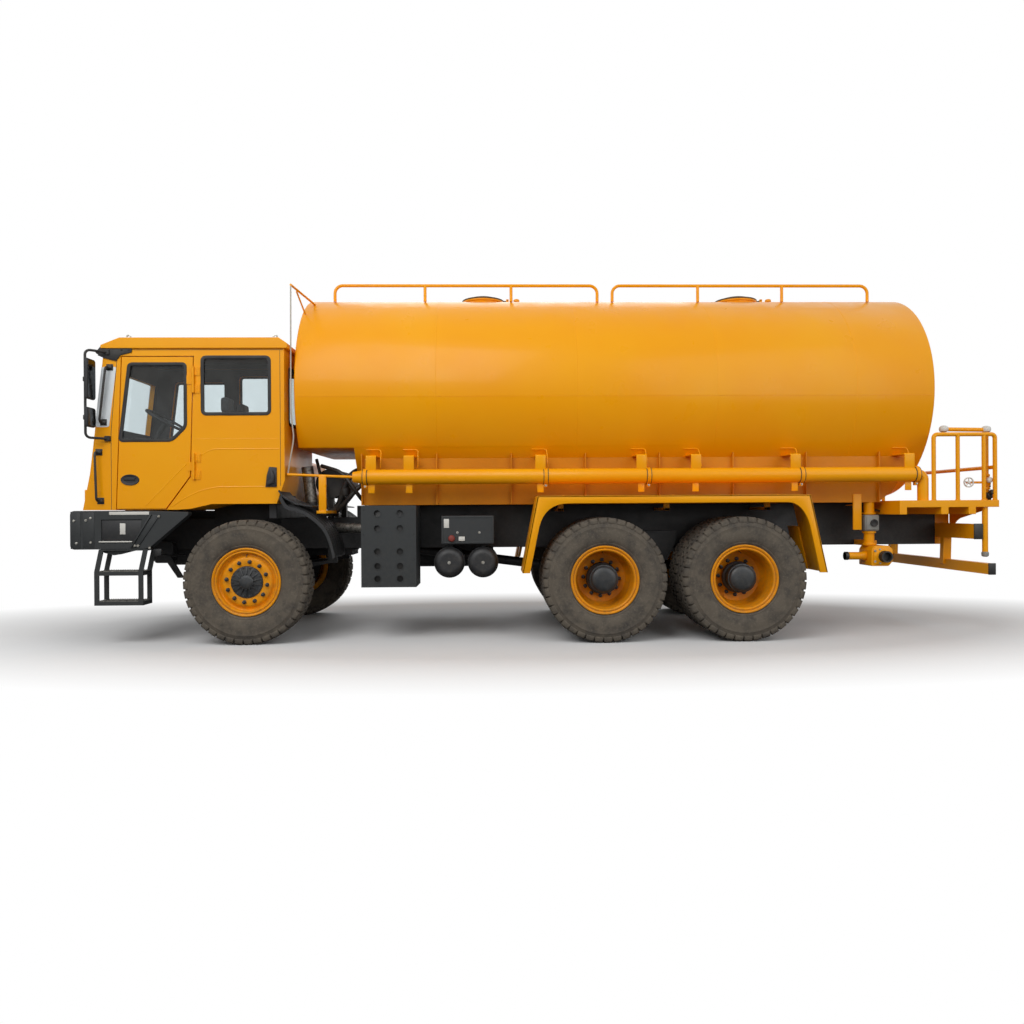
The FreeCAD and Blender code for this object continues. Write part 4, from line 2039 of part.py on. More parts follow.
def underrun_bar():
    """Rear beam across the ends of the rails, and the low underrun bar on its two hangers."""
    x = back(S.rail_rear) + S.seat_gap
    beam_top = S.rear_beam_bottom + S.rear_beam_height
    bar_x = x + (S.rear_beam_depth - S.underrun_depth) / 2
    pieces = [
        box("rear_beam", (x, x + S.rear_beam_depth), (-S.rear_beam_half, S.rear_beam_half),
            (S.rear_beam_bottom, beam_top)),
        box("underrun", (bar_x, bar_x + S.underrun_depth), (-S.underrun_half, S.underrun_half),
            (S.underrun_bottom, S.underrun_bottom + S.underrun_height)),
    ]
    plate_high = S.platform_top - S.platform_thickness - S.seat_gap
    plate = prism("tail_plate", "XZ", [
        (x, S.rail_bottom), (x + S.tail_plate_foot, S.rail_bottom),
        (x + S.tail_plate_depth, S.rear_beam_bottom),
        (x + S.tail_plate_depth, plate_high), (x, plate_high)], -S.rail_half, S.tail_plate_thickness)
    hanger_low = S.underrun_bottom + S.underrun_height / 2
    hanger = prism("underrun_hanger", "XZ", [
        (bar_x - S.hanger_thickness, hanger_low, S.hanger_thickness / 2),
        (bar_x + S.underrun_depth, hanger_low, S.hanger_thickness / 2),
        (x + S.rear_beam_depth, S.rear_beam_bottom + S.hanger_thickness), (x, S.rear_beam_bottom
                                                                          + S.hanger_thickness)],
        -S.hanger_side - S.underrun_depth, S.underrun_depth)
    for piece in (plate, hanger):
        pieces += [piece, mirror(f"{piece.Name}_right", piece)]
    node("underrun_bar", *pieces)


tyre_sides = (("left", -1), ("right", 1))
for side_name, side in tyre_sides:
    front_wheel(side_name, side)
    knuckle(side_name, side)
    for axle_name, axle in (("middle", MID_AXLE), ("rear", REAR_AXLE)):
        rear_wheel(f"{axle_name}_{side_name}", axle, side)
tie_rod()
front_axle()
rear_axles()
driveline()
suspension()
frame()
engine()
cab_shell()
cab_glass()
cab_roof()
door()
cab_interior()
seats()
steering_wheel()
cab_mounts()
hood()
grille()
front_bumper()
lamps()
entry_steps()
front_mudguards()
steering_gear()
visor()
mirrors()
grab_rails()
air_intake()
tank()
manhole_lids()
top_rails()
tank_saddle()
side_pipes()
sight_line()
rear_fenders()
exhaust_box()
battery_box()
air_tanks()
fuel_tank()
rear_platform()
rear_railing()
rear_pipework()
water_pump()
underrun_bar()
doc.recompute()
for item in doc.Objects:
    if {"Invalid", "Error"} & set(item.State):
        raise RuntimeError(f"{item.Label} did not build: {item.State}")
os.makedirs("parts", exist_ok=True)
for name, item in NODES.items():
    if item.Shape.isNull() or not item.Shape.isValid():
        raise RuntimeError(f"{name} has no valid shape")
    item.Shape.exportStep(f"parts/{name}.step")
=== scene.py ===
"""Dresses the tank truck: finishes for its CAD nodes, and new pieces for what is round, small or soft."""

from __future__ import annotations

import logging
import math
from dataclasses import dataclass, field
from enum import Enum
from typing import Iterable, Sequence

import bpy
from bpy.types import Material, Node, NodeSocket, NodeTree, Object
from mathutils import Matrix, Vector

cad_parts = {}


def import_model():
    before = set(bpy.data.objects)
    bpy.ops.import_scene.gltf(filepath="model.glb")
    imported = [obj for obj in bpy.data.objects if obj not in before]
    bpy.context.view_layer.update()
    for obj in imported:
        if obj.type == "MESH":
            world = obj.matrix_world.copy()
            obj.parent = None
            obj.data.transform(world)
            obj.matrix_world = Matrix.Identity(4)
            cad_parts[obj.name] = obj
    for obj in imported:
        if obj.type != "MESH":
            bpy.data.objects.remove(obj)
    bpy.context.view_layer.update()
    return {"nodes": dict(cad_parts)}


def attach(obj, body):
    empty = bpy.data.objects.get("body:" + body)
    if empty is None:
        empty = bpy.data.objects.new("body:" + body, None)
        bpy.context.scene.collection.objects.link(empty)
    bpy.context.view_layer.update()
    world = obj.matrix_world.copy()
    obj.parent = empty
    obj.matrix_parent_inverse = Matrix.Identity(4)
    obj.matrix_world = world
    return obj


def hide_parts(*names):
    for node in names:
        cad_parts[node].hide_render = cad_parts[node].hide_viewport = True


LOG = logging.getLogger("tank_truck")
Point = tuple[float, float, float]
Pair = tuple[float, float]
Profile = Sequence[Pair]
Links = dict[str | int, Node | NodeSocket]

ORIGIN = (0.0, 0.0, 0.0)
FRONT_AXLE = -3.055
MID_AXLE = 0.645
REAR_AXLE = 2.095
AXLE_HEIGHT = 0.646
FRONT_TRACK = 1.170
TWIN_TRACK = 1.062
TWIN_STEP = 0.2
RAIL_FACE = -0.4503
MERGE_DISTANCE = 0.00005
SHARP_DEGREES = 32.0
SMOOTH_DEGREES = 34.0


class Side(Enum):
    """Side of the truck, by the sign of its Y."""

    LEFT = -1
    RIGHT = 1


class Axis(Enum):
    """Axis that a turned piece lies along."""

    X = (1.0, 0.0, 0.0)
    Y = (0.0, 1.0, 0.0)
    Z = (0.0, 0.0, 1.0)


class Plane(Enum):
    """Plane of a flat outline: the places of its two axes in a point, and of the axis across it."""

    XZ = (0, 2, 1)
    YZ = (1, 2, 0)
    XY = (0, 1, 2)

    def point(self, first: float, second: float, across: float) -> Point:
        """A point in space from its places along the plane's axes and across it.

        Args:
            first: Place along the first axis.
            second: Place along the second axis.
            across: Place along the axis across the plane.

        Returns:
            The point.
        """
        places = dict(zip(self.value, (first, second, across)))
        return (places[0], places[1], places[2])


def behind(distance: float) -> float:
    """X of a place this far behind the front axle, in metres."""
    return FRONT_AXLE + distance


def placed(points: Iterable[Pair]) -> list[Pair]:
    """X and Z of points that are given by their distance behind the front axle and their height."""
    return [(behind(x), z) for x, z in points]


def linear(hex_colour: str) -> tuple[float, float, float, float]:
    """Turns an sRGB colour such as #F0A30A into the linear one that a shader socket takes."""
    parts = [int(hex_colour[place : place + 2], 16) / 255 for place in (1, 3, 5)]
    return (*[v / 12.92 if v <= 0.04045 else ((v + 0.055) / 1.055) ** 2.4 for v in parts], 1.0)


def add_node(tree: NodeTree, kind: str, settings: dict[str | int, object] | None = None,
             links: Links | None = None) -> Node:
    """Adds a node with its settings and links.

    Args:
        tree: The node tree it goes into.
        kind: The node's type name, without the ShaderNode that it starts with.
        settings: Socket values by name or place, or properties where no socket has that name.
        links: Socket name or place to the node or output that feeds it.

    Returns:
        The new node.
    """
    item = tree.nodes.new(f"ShaderNode{kind}")
    for name, value in (settings or {}).items():
        if isinstance(name, int) or name in item.inputs:
            item.inputs[name].default_value = value
        else:
            setattr(item, name, value)
    for name, source in (links or {}).items():
        output = source.outputs[0] if isinstance(source, Node) else source
        tree.links.new(output, item.inputs[name])
    return item


@dataclass(frozen=True)
class Clouds:
    """Soft patches of noise, from the values of the noise where they start and are full."""

    scale: float
    detail: float
    start: float
    full: float
    roughness: float = 0.5
    most: float = 1.0
    least: float = 0.0

    def share(self, tree: NodeTree, place: NodeSocket) -> Node:
        """How much of the patches shows, from least to most.

        Args:
            tree: The node tree it goes into.
            place: Object coordinates.

        Returns:
            The node that gives the share.
        """
        noise = add_node(tree, "TexNoise", {"Scale": self.scale, "Detail": self.detail,
                                            "Roughness": self.roughness}, {"Vector": place})
        return add_node(tree, "MapRange", {"From Min": self.start, "From Max": self.full,
                                           "To Min": self.least, "To Max": self.most}, {"Value": noise})

    def layer(self, tree: NodeTree, place: NodeSocket, under: str | NodeSocket, top: str,
              fade: Node | None = None) -> tuple[Node, NodeSocket]:
        """Lays one colour in patches over another.

        Args:
            tree: The node tree it goes into.
            place: Object coordinates.
            under: The sRGB colour or the output that it lies on.
            top: The sRGB colour of the patches.
            fade: What thins the patches out, if anything does.

        Returns:
            The share of the patches, and the colour with them.
        """
        share = self.share(tree, place)
        if fade is not None:
            share = add_node(tree, "Math", {"operation": "MULTIPLY"}, {0: share, 1: fade})
        settings: dict[str | int, object] = {"data_type": "RGBA", 7: linear(top)}
        links: Links = {0: share}
        if isinstance(under, str):
            settings[6] = linear(under)
        else:
            links[6] = under
        return share, add_node(tree, "Mix", settings, links).outputs[2]


@dataclass(frozen=True)
class Grain:
    """Fine relief of a skin, from noise."""

    scale: float
    detail: float
    strength: float
    distance: float
    roughness: float = 0.5

    def relief(self, tree: NodeTree, place: NodeSocket) -> Node:
        """The skin's normal.

        Args:
            tree: The node tree it goes into.
            place: Object coordinates.

        Returns:
            The node that gives the normal.
        """
        noise = add_node(tree, "TexNoise", {"Scale": self.scale, "Detail": self.detail,
                                            "Roughness": self.roughness}, {"Vector": place})
        return add_node(tree, "Bump", {"Strength": self.strength, "Distance": self.distance},
                        {"Height": noise})


def near_ground(tree: NodeTree, place: NodeSocket, foot: float, top: float) -> Node:
    """One below a height, going over to nothing at another.

    Args:
        tree: The node tree it goes into.
        place: Object coordinates.
        foot: The lower height.
        top: The upper height.

    Returns:
        The node that gives the value.
    """
    height = add_node(tree, "SeparateXYZ", links={"Vector": place}).outputs["Z"]
    return add_node(tree, "MapRange", {"From Min": foot, "From Max": top, "To Min": 1.0, "To Max": 0.0},
                    {"Value": height})


@dataclass(frozen=True)
class Finish:
    """A finish, by its material's name, and a slot name, which is not used."""

    name: str
    slot: str = field(default="", kw_only=True)

    def build(self) -> Material:
        """Makes the material."""
        material = bpy.data.materials.new(self.name)
        material.use_nodes = True
        tree = material.node_tree
        tree.nodes.clear()
        place = add_node(tree, "TexCoord").outputs["Object"]
        surface = self.surface(tree, place)
        add_node(tree, "OutputMaterial", links={"Surface": surface})
        return material

    def surface(self, tree: NodeTree, place: NodeSocket) -> Node:
        """The shader of the finish, from Object coordinates in metres.

        Args:
            tree: The node tree it goes into.
            place: Object coordinates.

        Returns:
            The shader node.
        """
        raise NotImplementedError


@dataclass(frozen=True)
class SprayedEnamel(Finish):
    """Two-part enamel sprayed on steel: glossy, sun-faded in broad patches, dusty towards the ground."""

    colour: str
    faded: str
    dust: str
    roughness: float = 0.32
    coat: float = 0.08
    dust_top: float = 1.7
    dust_share: float = 0.12

    def surface(self, tree: NodeTree, place: NodeSocket) -> Node:
        """Enamel under a clear gloss, with fading, dust and orange peel."""
        # Fading in patches 900 mm across, as sun and washing leave on large panels
        paint = Clouds(1.1, 3.0, 0.35, 0.75).layer(tree, place, self.colour, self.faded)[1]
        # Dust in clouds 60 mm across, thicker low down
        dust = Clouds(16.0, 8.0, 0.4, 0.72, 0.65, self.dust_share)
        colour = dust.layer(tree, place, paint, self.dust, near_ground(tree, place, 0.2, self.dust_top))[1]
        gloss = Clouds(4.0, 5.0, 0.3, 0.7, most=self.roughness * 1.3, least=self.roughness * 0.8)
        # Orange peel is 3 mm across and drawn at 8 mm, so that it shows at all
        peel = Grain(125.0, 2.0, 0.05, 0.0005)
        return add_node(tree, "BsdfPrincipled", {"Coat Weight": self.coat, "Coat Roughness": 0.1, "IOR": 1.3},
                        {"Base Color": colour, "Roughness": gloss.share(tree, place),
                         "Normal": peel.relief(tree, place)})


@dataclass(frozen=True)
class BrushedPaint(Finish):
    """Chassis paint or powder coat: satin, even, with scuffs, grit and dry dust."""

    colour: str
    scuff: str
    dust: str
    roughness: float = 0.55
    dust_share: float = 0.45
    dust_top: float = 1.6

    def surface(self, tree: NodeTree, place: NodeSocket) -> Node:
        """Satin paint with scuffs a hand's width across."""
        worn, paint = Clouds(9.0, 7.0, 0.48, 0.7, 0.7).layer(tree, place, self.colour, self.scuff)
        # Dust in clouds 45 mm across, thicker low down
        dust = Clouds(22.0, 8.0, 0.42, 0.7, 0.7, self.dust_share)
        colour = dust.layer(tree, place, paint, self.dust, near_ground(tree, place, 0.1, self.dust_top))[1]
        gloss = add_node(tree, "MapRange", {"To Min": self.roughness, "To Max": self.roughness + 0.2},
                         {"Value": worn})
        # Grit of 4 mm
        grit = Grain(250.0, 3.0, 0.15, 0.0005)
        return add_node(tree, "BsdfPrincipled", {"IOR": 1.5},
                        {"Base Color": colour, "Roughness": gloss, "Normal": grit.relief(tree, place)})


@dataclass(frozen=True)
class DustyRubber(Finish):
    """Tyre rubber under a film of dried mud: matt and brownish, with pale splashes and a fine crust."""

    rubber: str = "#353230"
    mud: str = "#5F574C"
    pale: str = "#776E61"

    def surface(self, tree: NodeTree, place: NodeSocket) -> Node:
        """Mud film in patches 120 mm across, with splashes of 25 mm."""
        film = Clouds(8.0, 6.0, 0.22, 0.58, 0.6).layer(tree, place, self.rubber, self.mud)[1]
        colour = Clouds(40.0, 8.0, 0.52, 0.75, 0.7, 0.7).layer(tree, place, film, self.pale)[1]
        crust = Grain(170.0, 6.0, 0.35, 0.0012, 0.65)
        return add_node(tree, "BsdfPrincipled", {"Roughness": 0.9, "IOR": 1.52},
                        {"Base Color": colour, "Normal": crust.relief(tree, place)})


@dataclass(frozen=True)
class MouldedRubber(Finish):
    """Extruded rubber or textured plastic: fine even grain and a low sheen, greying where it is dusty."""

    colour: str
    dust: str = "#6A675F"
    roughness: float = 0.6

    def surface(self, tree: NodeTree, place: NodeSocket) -> Node:
        """Grain of 1 mm, drawn at 3 mm so that it shows, under thin dust."""
        colour = Clouds(7.0, 5.0, 0.35, 0.8, most=0.3).layer(tree, place, self.colour, self.dust)[1]
        grain = Grain(330.0, 2.0, 0.015, 0.0003)
        return add_node(tree, "BsdfPrincipled", {"Roughness": self.roughness, "IOR": 1.5},
                        {"Base Color": colour, "Normal": grain.relief(tree, place)})


@dataclass(frozen=True)
class ToughenedGlass(Finish):
    """Tinted toughened glass: clear to look through, with a sharp reflection and a breath of dust."""

    tint: str = "#F3F7F8"

    def surface(self, tree: NodeTree, place: NodeSocket) -> Node:
        """See-through tint, hazed by dust in patches 200 mm across, under a mirror sheen at a slant."""
        film = Clouds(5.0, 5.0, 0.3, 0.8, most=0.04, least=0.01).share(tree, place)
        clear = add_node(tree, "BsdfTransparent", {"Color": linear(self.tint)})
        haze = add_node(tree, "BsdfDiffuse", {"Color": linear("#B9B7B0")})
        gloss = add_node(tree, "BsdfGlossy", {"Roughness": 0.02})
        # The inner face of a pane sends nothing back, or a pane seen at a slant would turn black
        slant = add_node(tree, "Fresnel", {"IOR": 1.45})
        inner = add_node(tree, "NewGeometry").outputs["Backfacing"]
        outer = add_node(tree, "Math", {"operation": "SUBTRACT", 0: 1.0}, {1: inner})
        sheen = add_node(tree, "Math", {"operation": "MULTIPLY"}, {0: slant, 1: outer})
        dirty = add_node(tree, "MixShader", links={0: film, 1: clear, 2: haze})
        return add_node(tree, "MixShader", links={0: sheen, 1: dirty, 2: gloss})


@dataclass(frozen=True)
class BareMetal(Finish):
    """Zinc-plated or polished metal left unpainted: bright, with dull oxide in small patches."""

    colour: str
    oxide: str
    roughness: float = 0.35

    def surface(self, tree: NodeTree, place: NodeSocket) -> Node:
        """Oxide in patches 30 mm across."""
        dull, colour = Clouds(33.0, 6.0, 0.4, 0.7, 0.6).layer(tree, place, self.colour, self.oxide)
        gloss = add_node(tree, "MapRange", {"To Min": self.roughness, "To Max": self.roughness + 0.25},
                         {"Value": dull})
        return add_node(tree, "BsdfPrincipled", {"Metallic": 1.0}, {"Base Color": colour, "Roughness": gloss})


@dataclass(frozen=True)
class WovenCloth(Finish):
    """Plain-weave seat cloth: threads 2 mm apart, drawn at 5 mm so that they show, with a soft sheen."""

    colour: str = "#2C2D30"
    thread: str = "#4A4C51"

    def surface(self, tree: NodeTree, place: NodeSocket) -> Node:
        """Two sets of threads, one across the other."""
        warp, weft = (add_node(tree, "TexWave", {"bands_direction": way, "Scale": 60.0, "Distortion": 0.4},
                               {"Vector": place}) for way in ("Y", "Z"))
        weave = add_node(tree, "Math", {"operation": "MAXIMUM"}, {0: warp.outputs[1], 1: weft.outputs[1]})
        shade = add_node(tree, "MapRange", {"From Min": 0.4, "From Max": 1.0, "To Max": 0.6},
                         {"Value": weave})
        colour = add_node(tree, "Mix", {"data_type": "RGBA", 6: linear(self.colour), 7: linear(self.thread)},
                          {0: shade})
        skin = add_node(tree, "Bump", {"Strength": 0.3, "Distance": 0.001}, {"Height": weave})
        return add_node(tree, "BsdfPrincipled", {"Roughness": 0.95, "Sheen Weight": 0.25},
                        {"Base Color": colour.outputs[2], "Normal": skin})


@dataclass(frozen=True)
class RibbedLens(Finish):
    """Moulded lamp lens: polycarbonate with ribs 6 mm apart that break up the light, with a painted highlight
    along the ribs.
    """

    colour: str

    def surface(self, tree: NodeTree, place: NodeSocket) -> Node:
        """Glossy plastic with white mixed in along its ribs as a painted highlight."""
        wave = add_node(tree, "TexWave", {"bands_direction": "Y", "Scale": 52.0}, {"Vector": place})
        ribs = wave.outputs[1]
        # Up to a third white along the rib crests: a painted highlight
        share = add_node(tree, "MapRange", {"From Min": 0.2, "From Max": 0.8, "To Max": 0.35},
                         {"Value": ribs})
        colour = add_node(tree, "Mix", {"data_type": "RGBA", 6: linear(self.colour), 7: linear("#FFFFFF")},
                          {0: share})
        skin = add_node(tree, "Bump", {"Strength": 0.4, "Distance": 0.002}, {"Height": ribs})
        return add_node(tree, "BsdfPrincipled", {"Roughness": 0.12, "Coat Weight": 0.6, "IOR": 1.58},
                        {"Base Color": colour.outputs[2], "Normal": skin})


ENAMEL = SprayedEnamel("enamel_amber", "#F5A100", "#F7A904", "#A98048", slot="paint")
# Darker, dustier copy of the amber enamel for the saddle under the tank: its deeper tone is painted shade of
# the tank's underside, and its heavier dust is partly real dust and partly more painted shade.
SHADED_SADDLE_ENAMEL = SprayedEnamel("enamel_under", "#D98906", "#C67606", "#8A6432", 0.45, 0.03, 2.6, 0.25)
RIM_ENAMEL = SprayedEnamel("enamel_rim", "#F09A04", "#E08C04", "#8A6A3A", 0.42, 0.05, 1.6, 0.6,
                           slot="wheel_paint")
BUMPER_GREY = BrushedPaint("powder_coat_grey", "#222526", "#2A2D2F", "#4A4741", 0.55, 0.3, slot="bumper_grey")
CHASSIS_BLACK = BrushedPaint("chassis_black", "#161719", "#242528", "#57514A", 0.5, slot="chassis_black")
HUB_BLACK = BrushedPaint("hub_black", "#212427", "#34373A", "#5A544A", 0.4, 0.4, slot="chassis_black")
LID_BROWN = BrushedPaint("lid_primer", "#4A3B22", "#5A4A30", "#8A7A5A", 0.6)
PALE_GREY = BrushedPaint("cast_grey", "#8F918C", "#7C7E7A", "#6F6A60", 0.5, slot="bumper_grey")
TYRE = DustyRubber("tyre_rubber_dusty", slot="tyre_rubber")
HOSE = MouldedRubber("hose_rubber", "#1A1A1B", "#5C584F", 0.5, slot="hose_rubber")
GASKET = MouldedRubber("window_gasket", "#151516", "#55534E", 0.65, slot="interior_plastic")
CAB_PLASTIC = MouldedRubber("cab_plastic", "#1D1E21", "#4A4A4A", 0.7, slot="interior_plastic")
LINE_GREY = MouldedRubber("line_polythene", "#B9B4A8", "#9A948A", 0.4, slot="hose_rubber")
WHITE_CAP = MouldedRubber("white_polythene", "#DAD8D1", "#B5B2A8", 0.5, slot="bumper_grey")
DULL_RED = MouldedRubber("knob_red", "#7E2A20", "#6A4A40", 0.5, slot="bumper_grey")
# Opaque pale pane: its near-white colour is painted brightness of the white surroundings seen in the glass.
PAINTED_BRIGHT_GLASS = MouldedRubber("backed_glass", "#E3E9EC", "#D5DADC", 0.08, slot="window_glass")
GLASS = ToughenedGlass("toughened_glass")
WORN_STEEL = BareMetal("worn_steel", "#8C8A84", "#4C4A46", 0.5, slot="bumper_grey")
ZINC = BareMetal("zinc_plate", "#B9B7B0", "#7C776C", slot="chassis_black")
MIRROR_FACE = BareMetal("silvered_mirror", "#4A4D50", "#3A3D40", 0.08, slot="window_glass")
CLOTH = WovenCloth("seat_cloth_grey", slot="seat_cloth")
CLEAR_LENS = RibbedLens("lens_clear", "#D9DCDB")
RED_LENS = RibbedLens("lens_red", "#9E1A12", slot="lamp_lens")


class Wardrobe:
    """Builds each finish once and hands it out."""

    def __init__(self) -> None:
        """Starts with no finish built."""
        self.built: dict[str, Material] = {}

    def get(self, finish: Finish) -> Material:
        """The finish's material, built on its first use."""
        if finish.name not in self.built:
            self.built[finish.name] = finish.build()
        return self.built[finish.name]


WARDROBE = Wardrobe()


def activate(piece: Object) -> None:
    """Makes one object the only selected and the active one."""
    bpy.ops.object.select_all(action="DESELECT")
    piece.select_set(True)
    bpy.context.view_layer.objects.active = piece


def start_edit(piece: Object) -> None:
    """Opens a piece for editing with all of it selected."""
    activate(piece)
    bpy.ops.object.mode_set(mode="EDIT")
    bpy.ops.mesh.select_all(action="SELECT")


def end_edit() -> None:
    """Leaves edit mode."""
    bpy.ops.object.mode_set(mode="OBJECT")


def settle(name: str) -> Object:
    """Names the new active object and moves its place, turn and size into its mesh."""
    piece = bpy.context.object
    activate(piece)
    piece.name = name
    piece.data.name = name
    bpy.ops.object.transform_apply(location=True, rotation=True, scale=True)
    return piece


def finish_with(piece: Object, kind: str, **settings: object) -> Object:
    """Adds a modifier to a piece and applies it.

    Args:
        piece: The piece.
        kind: The modifier's type name.
        settings: The modifier's properties.

    Returns:
        The same piece.
    """
    activate(piece)
    modifier = piece.modifiers.new(kind.lower(), kind)
    for key, value in settings.items():
        setattr(modifier, key, value)
    bpy.ops.object.modifier_apply(modifier=modifier.name)
    return piece


def soften(piece: Object, width: float, segments: int = 2, angle: float = SHARP_DEGREES) -> Object:
    """Rounds a piece's sharp edges and shades it smooth between them.

    Args:
        piece: The piece.
        width: Width of the rounding, or 0 for none.
        segments: Facets in the rounding.
        angle: Edges sharper than this many degrees are rounded.

    Returns:
        The same piece.
    """
    if width > 0:
        finish_with(piece, "BEVEL", width=width, segments=segments, limit_method="ANGLE",
                    angle_limit=math.radians(angle))
    activate(piece)
    bpy.ops.object.shade_smooth_by_angle(angle=math.radians(SMOOTH_DEGREES))
    return piece


def close_up(piece: Object) -> Object:
    """Merges doubles and points every face outwards."""
    start_edit(piece)
    bpy.ops.mesh.remove_doubles(threshold=MERGE_DISTANCE)
    bpy.ops.mesh.normals_make_consistent(inside=False)
    end_edit()
    return piece


def block(name: str, low: Point, high: Point, edge: float = 0.004) -> Object:
    """A block between two corners, with rounded edges.

    Args:
        name: Its name.
        low: Its lowest corner.
        high: Its highest corner.
        edge: Width of the rounding.

    Returns:
        The piece.
    """
    bpy.ops.object.select_all(action="DESELECT")
    middle = [(a + b) / 2 for a, b in zip(low, high)]
    bpy.ops.mesh.primitive_cube_add(size=1.0, location=middle, scale=[b - a for a, b in zip(low, high)])
    return soften(settle(name), edge)


def bar(name: str, start: Point, end: Point, radius: float, tip: float | None = None, sides: int = 24,
        edge: float = 0.0) -> Object:
    """A round bar, or a cone, between two points.

    Args:
        name: Its name.
        start: Middle of its first end.
        end: Middle of its other end.
        radius: Radius at its first end.
        tip: Radius at its other end, where it differs.
        sides: Facets round it.
        edge: Width of the rounding of its rims.

    Returns:
        The piece.
    """
    bpy.ops.object.select_all(action="DESELECT")
    way = Vector(end) - Vector(start)
    bpy.ops.mesh.primitive_cone_add(vertices=sides, radius1=radius, radius2=radius if tip is None else tip,
                                    depth=way.length, location=(Vector(start) + Vector(end)) / 2,
                                    rotation=way.to_track_quat("Z", "Y").to_euler())
    return soften(settle(name), edge)


def wire(name: str, points: Iterable[Point], closed: bool, corner: float = 0.0,
         steps: int = 5) -> Object:
    """A line of edges through points, with its corners rounded, ready to be spun, filled or made a tube.

    Args:
        name: Its name.
        points: Its corners.
        closed: Whether the last corner joins the first.
        corner: How far from each corner its rounding starts.
        steps: Edges in each rounding.

    Returns:
        The piece, which has edges and no faces.
    """
    places = list(points)
    edges = [(n, n + 1) for n in range(len(places) - 1)] + ([(len(places) - 1, 0)] if closed else [])
    mesh = bpy.data.meshes.new(name)
    mesh.from_pydata(places, edges, [])
    piece = bpy.data.objects.new(name, mesh)
    bpy.context.scene.collection.objects.link(piece)
    if corner > 0:
        start_edit(piece)
        bpy.ops.mesh.select_mode(type="VERT")
        bpy.ops.mesh.select_all(action="DESELECT")
        end_edit()
        for vertex in piece.data.vertices if closed else piece.data.vertices[1:-1]:
            vertex.select = True
        bpy.ops.object.mode_set(mode="EDIT")
        bpy.ops.mesh.bevel(offset=corner, segments=steps, affect="VERTICES")
        end_edit()
    return piece


def lathe(name: str, profile: Profile, axis: Axis, centre: Point, steps: int = 96, edge: float = 0.0,
          closed: bool = True) -> Object:
    """Spins a profile round an axis.

    Args:
        name: Its name.
        profile: Pairs of radius and place along the axis.
        axis: The axis.
        centre: Where the axis starts.
        steps: Facets round it.
        edge: Width of the rounding of its rims.
        closed: Whether the profile's last point joins its first.

    Returns:
        The piece.
    """
    along = Vector(axis.value)
    out = Vector((1.0, 0.0, 0.0)) if axis is Axis.Z else Vector((0.0, 0.0, 1.0))
    piece = wire(name, [tuple(Vector(centre) + out * r + along * w) for r, w in profile], closed)
    start_edit(piece)
    bpy.ops.mesh.spin(steps=steps, angle=math.tau, center=centre, axis=axis.value)
    end_edit()
    return soften(close_up(piece), edge)


def ring_of(piece: Object, count: int, axis: Axis, centre: Point) -> Object:
    """Repeats a piece evenly round an axis, within its own mesh.

    Args:
        piece: What is repeated.
        count: How many there are in all.
        axis: The axis.
        centre: A point on the axis.

    Returns:
        The same piece.
    """
    start_edit(piece)
    bpy.ops.mesh.spin(steps=count - 1, angle=math.tau * (count - 1) / count, dupli=True, center=centre,
                      axis=axis.value)
    end_edit()
    return piece


def tube(name: str, points: Sequence[Point], radius: float, bend: float = 0.0, sides: int = 3) -> Object:
    """A round tube along a line with rounded bends.

    Args:
        name: Its name.
        points: Corners of its middle line.
        radius: Its outer radius.
        bend: How far from each corner its bend starts.
        sides: Bevel resolution of the curve that makes it.

    Returns:
        The piece.
    """
    piece = wire(name, points, False, bend)
    activate(piece)
    bpy.ops.object.convert(target="CURVE")
    piece = bpy.context.object
    piece.data.bevel_depth = radius
    piece.data.bevel_resolution = sides
    piece.data.use_fill_caps = True
    bpy.ops.object.convert(target="MESH")
    return soften(close_up(settle(name)), 0.0)


def plate(name: str, outline: Profile, plane: Plane, start: float, depth: float, edge: float = 0.003,
          corner: float = 0.0, rim: float = 0.0) -> Object:
    """A flat outline given a thickness, or only a rim that runs along it, such as a gasket.

    Args:
        name: Its name.
        outline: Its corners in the plane.
        plane: The plane.
        start: Where it starts along the axis across the plane.
        depth: How far it runs along that axis.
        edge: Width of the rounding of its edges.
        corner: Rounding of the outline's own corners.
        rim: Width of the rim, or 0 where the whole outline is filled.

    Returns:
        The piece.
    """
    piece = wire(name, [plane.point(a, b, start) for a, b in outline], True, corner)
    start_edit(piece)
    bpy.ops.mesh.edge_face_add()
    if rim > 0:
        bpy.ops.mesh.inset(thickness=rim, use_even_offset=True)
        bpy.ops.mesh.delete(type="FACE")
        bpy.ops.mesh.select_all(action="SELECT")
    bpy.ops.mesh.extrude_region_move(TRANSFORM_OT_translate={"value": plane.point(0.0, 0.0, depth)})
    end_edit()
    return soften(close_up(piece), edge)


def copy_of(piece: Object, name: str, matrix: Matrix) -> Object:
    """A copy with its own mesh, moved by a matrix.

    Args:
        piece: What is copied.
        name: Name of the copy.
        matrix: How its points move.

    Returns:
        The copy.
    """
    twin = piece.copy()
    twin.data = piece.data.copy()
    twin.name = name
    twin.data.name = name
    bpy.context.scene.collection.objects.link(twin)
    twin.data.transform(matrix)
    if matrix.determinant() < 0:
        start_edit(twin)
        bpy.ops.mesh.flip_normals()
        end_edit()
    return twin


def moved(piece: Object, name: str, way: Point) -> Object:
    """A copy of a piece, this far from it."""
    return copy_of(piece, name, Matrix.Translation(way))


def mirrored(piece: Object, name: str) -> Object:
    """The same piece on the other side of the centre line."""
    return copy_of(piece, name, Matrix.Scale(-1, 4, (0, 1, 0)))


def join(name: str, pieces: Sequence[Object]) -> Object:
    """Joins pieces into one object.

    Args:
        name: Its name.
        pieces: The pieces, of which the first takes in the others.

    Returns:
        The joined piece.
    """
    activate(pieces[0])
    for piece in pieces:
        piece.select_set(True)
    bpy.ops.object.join()
    pieces[0].name = name
    pieces[0].data.name = name
    return pieces[0]


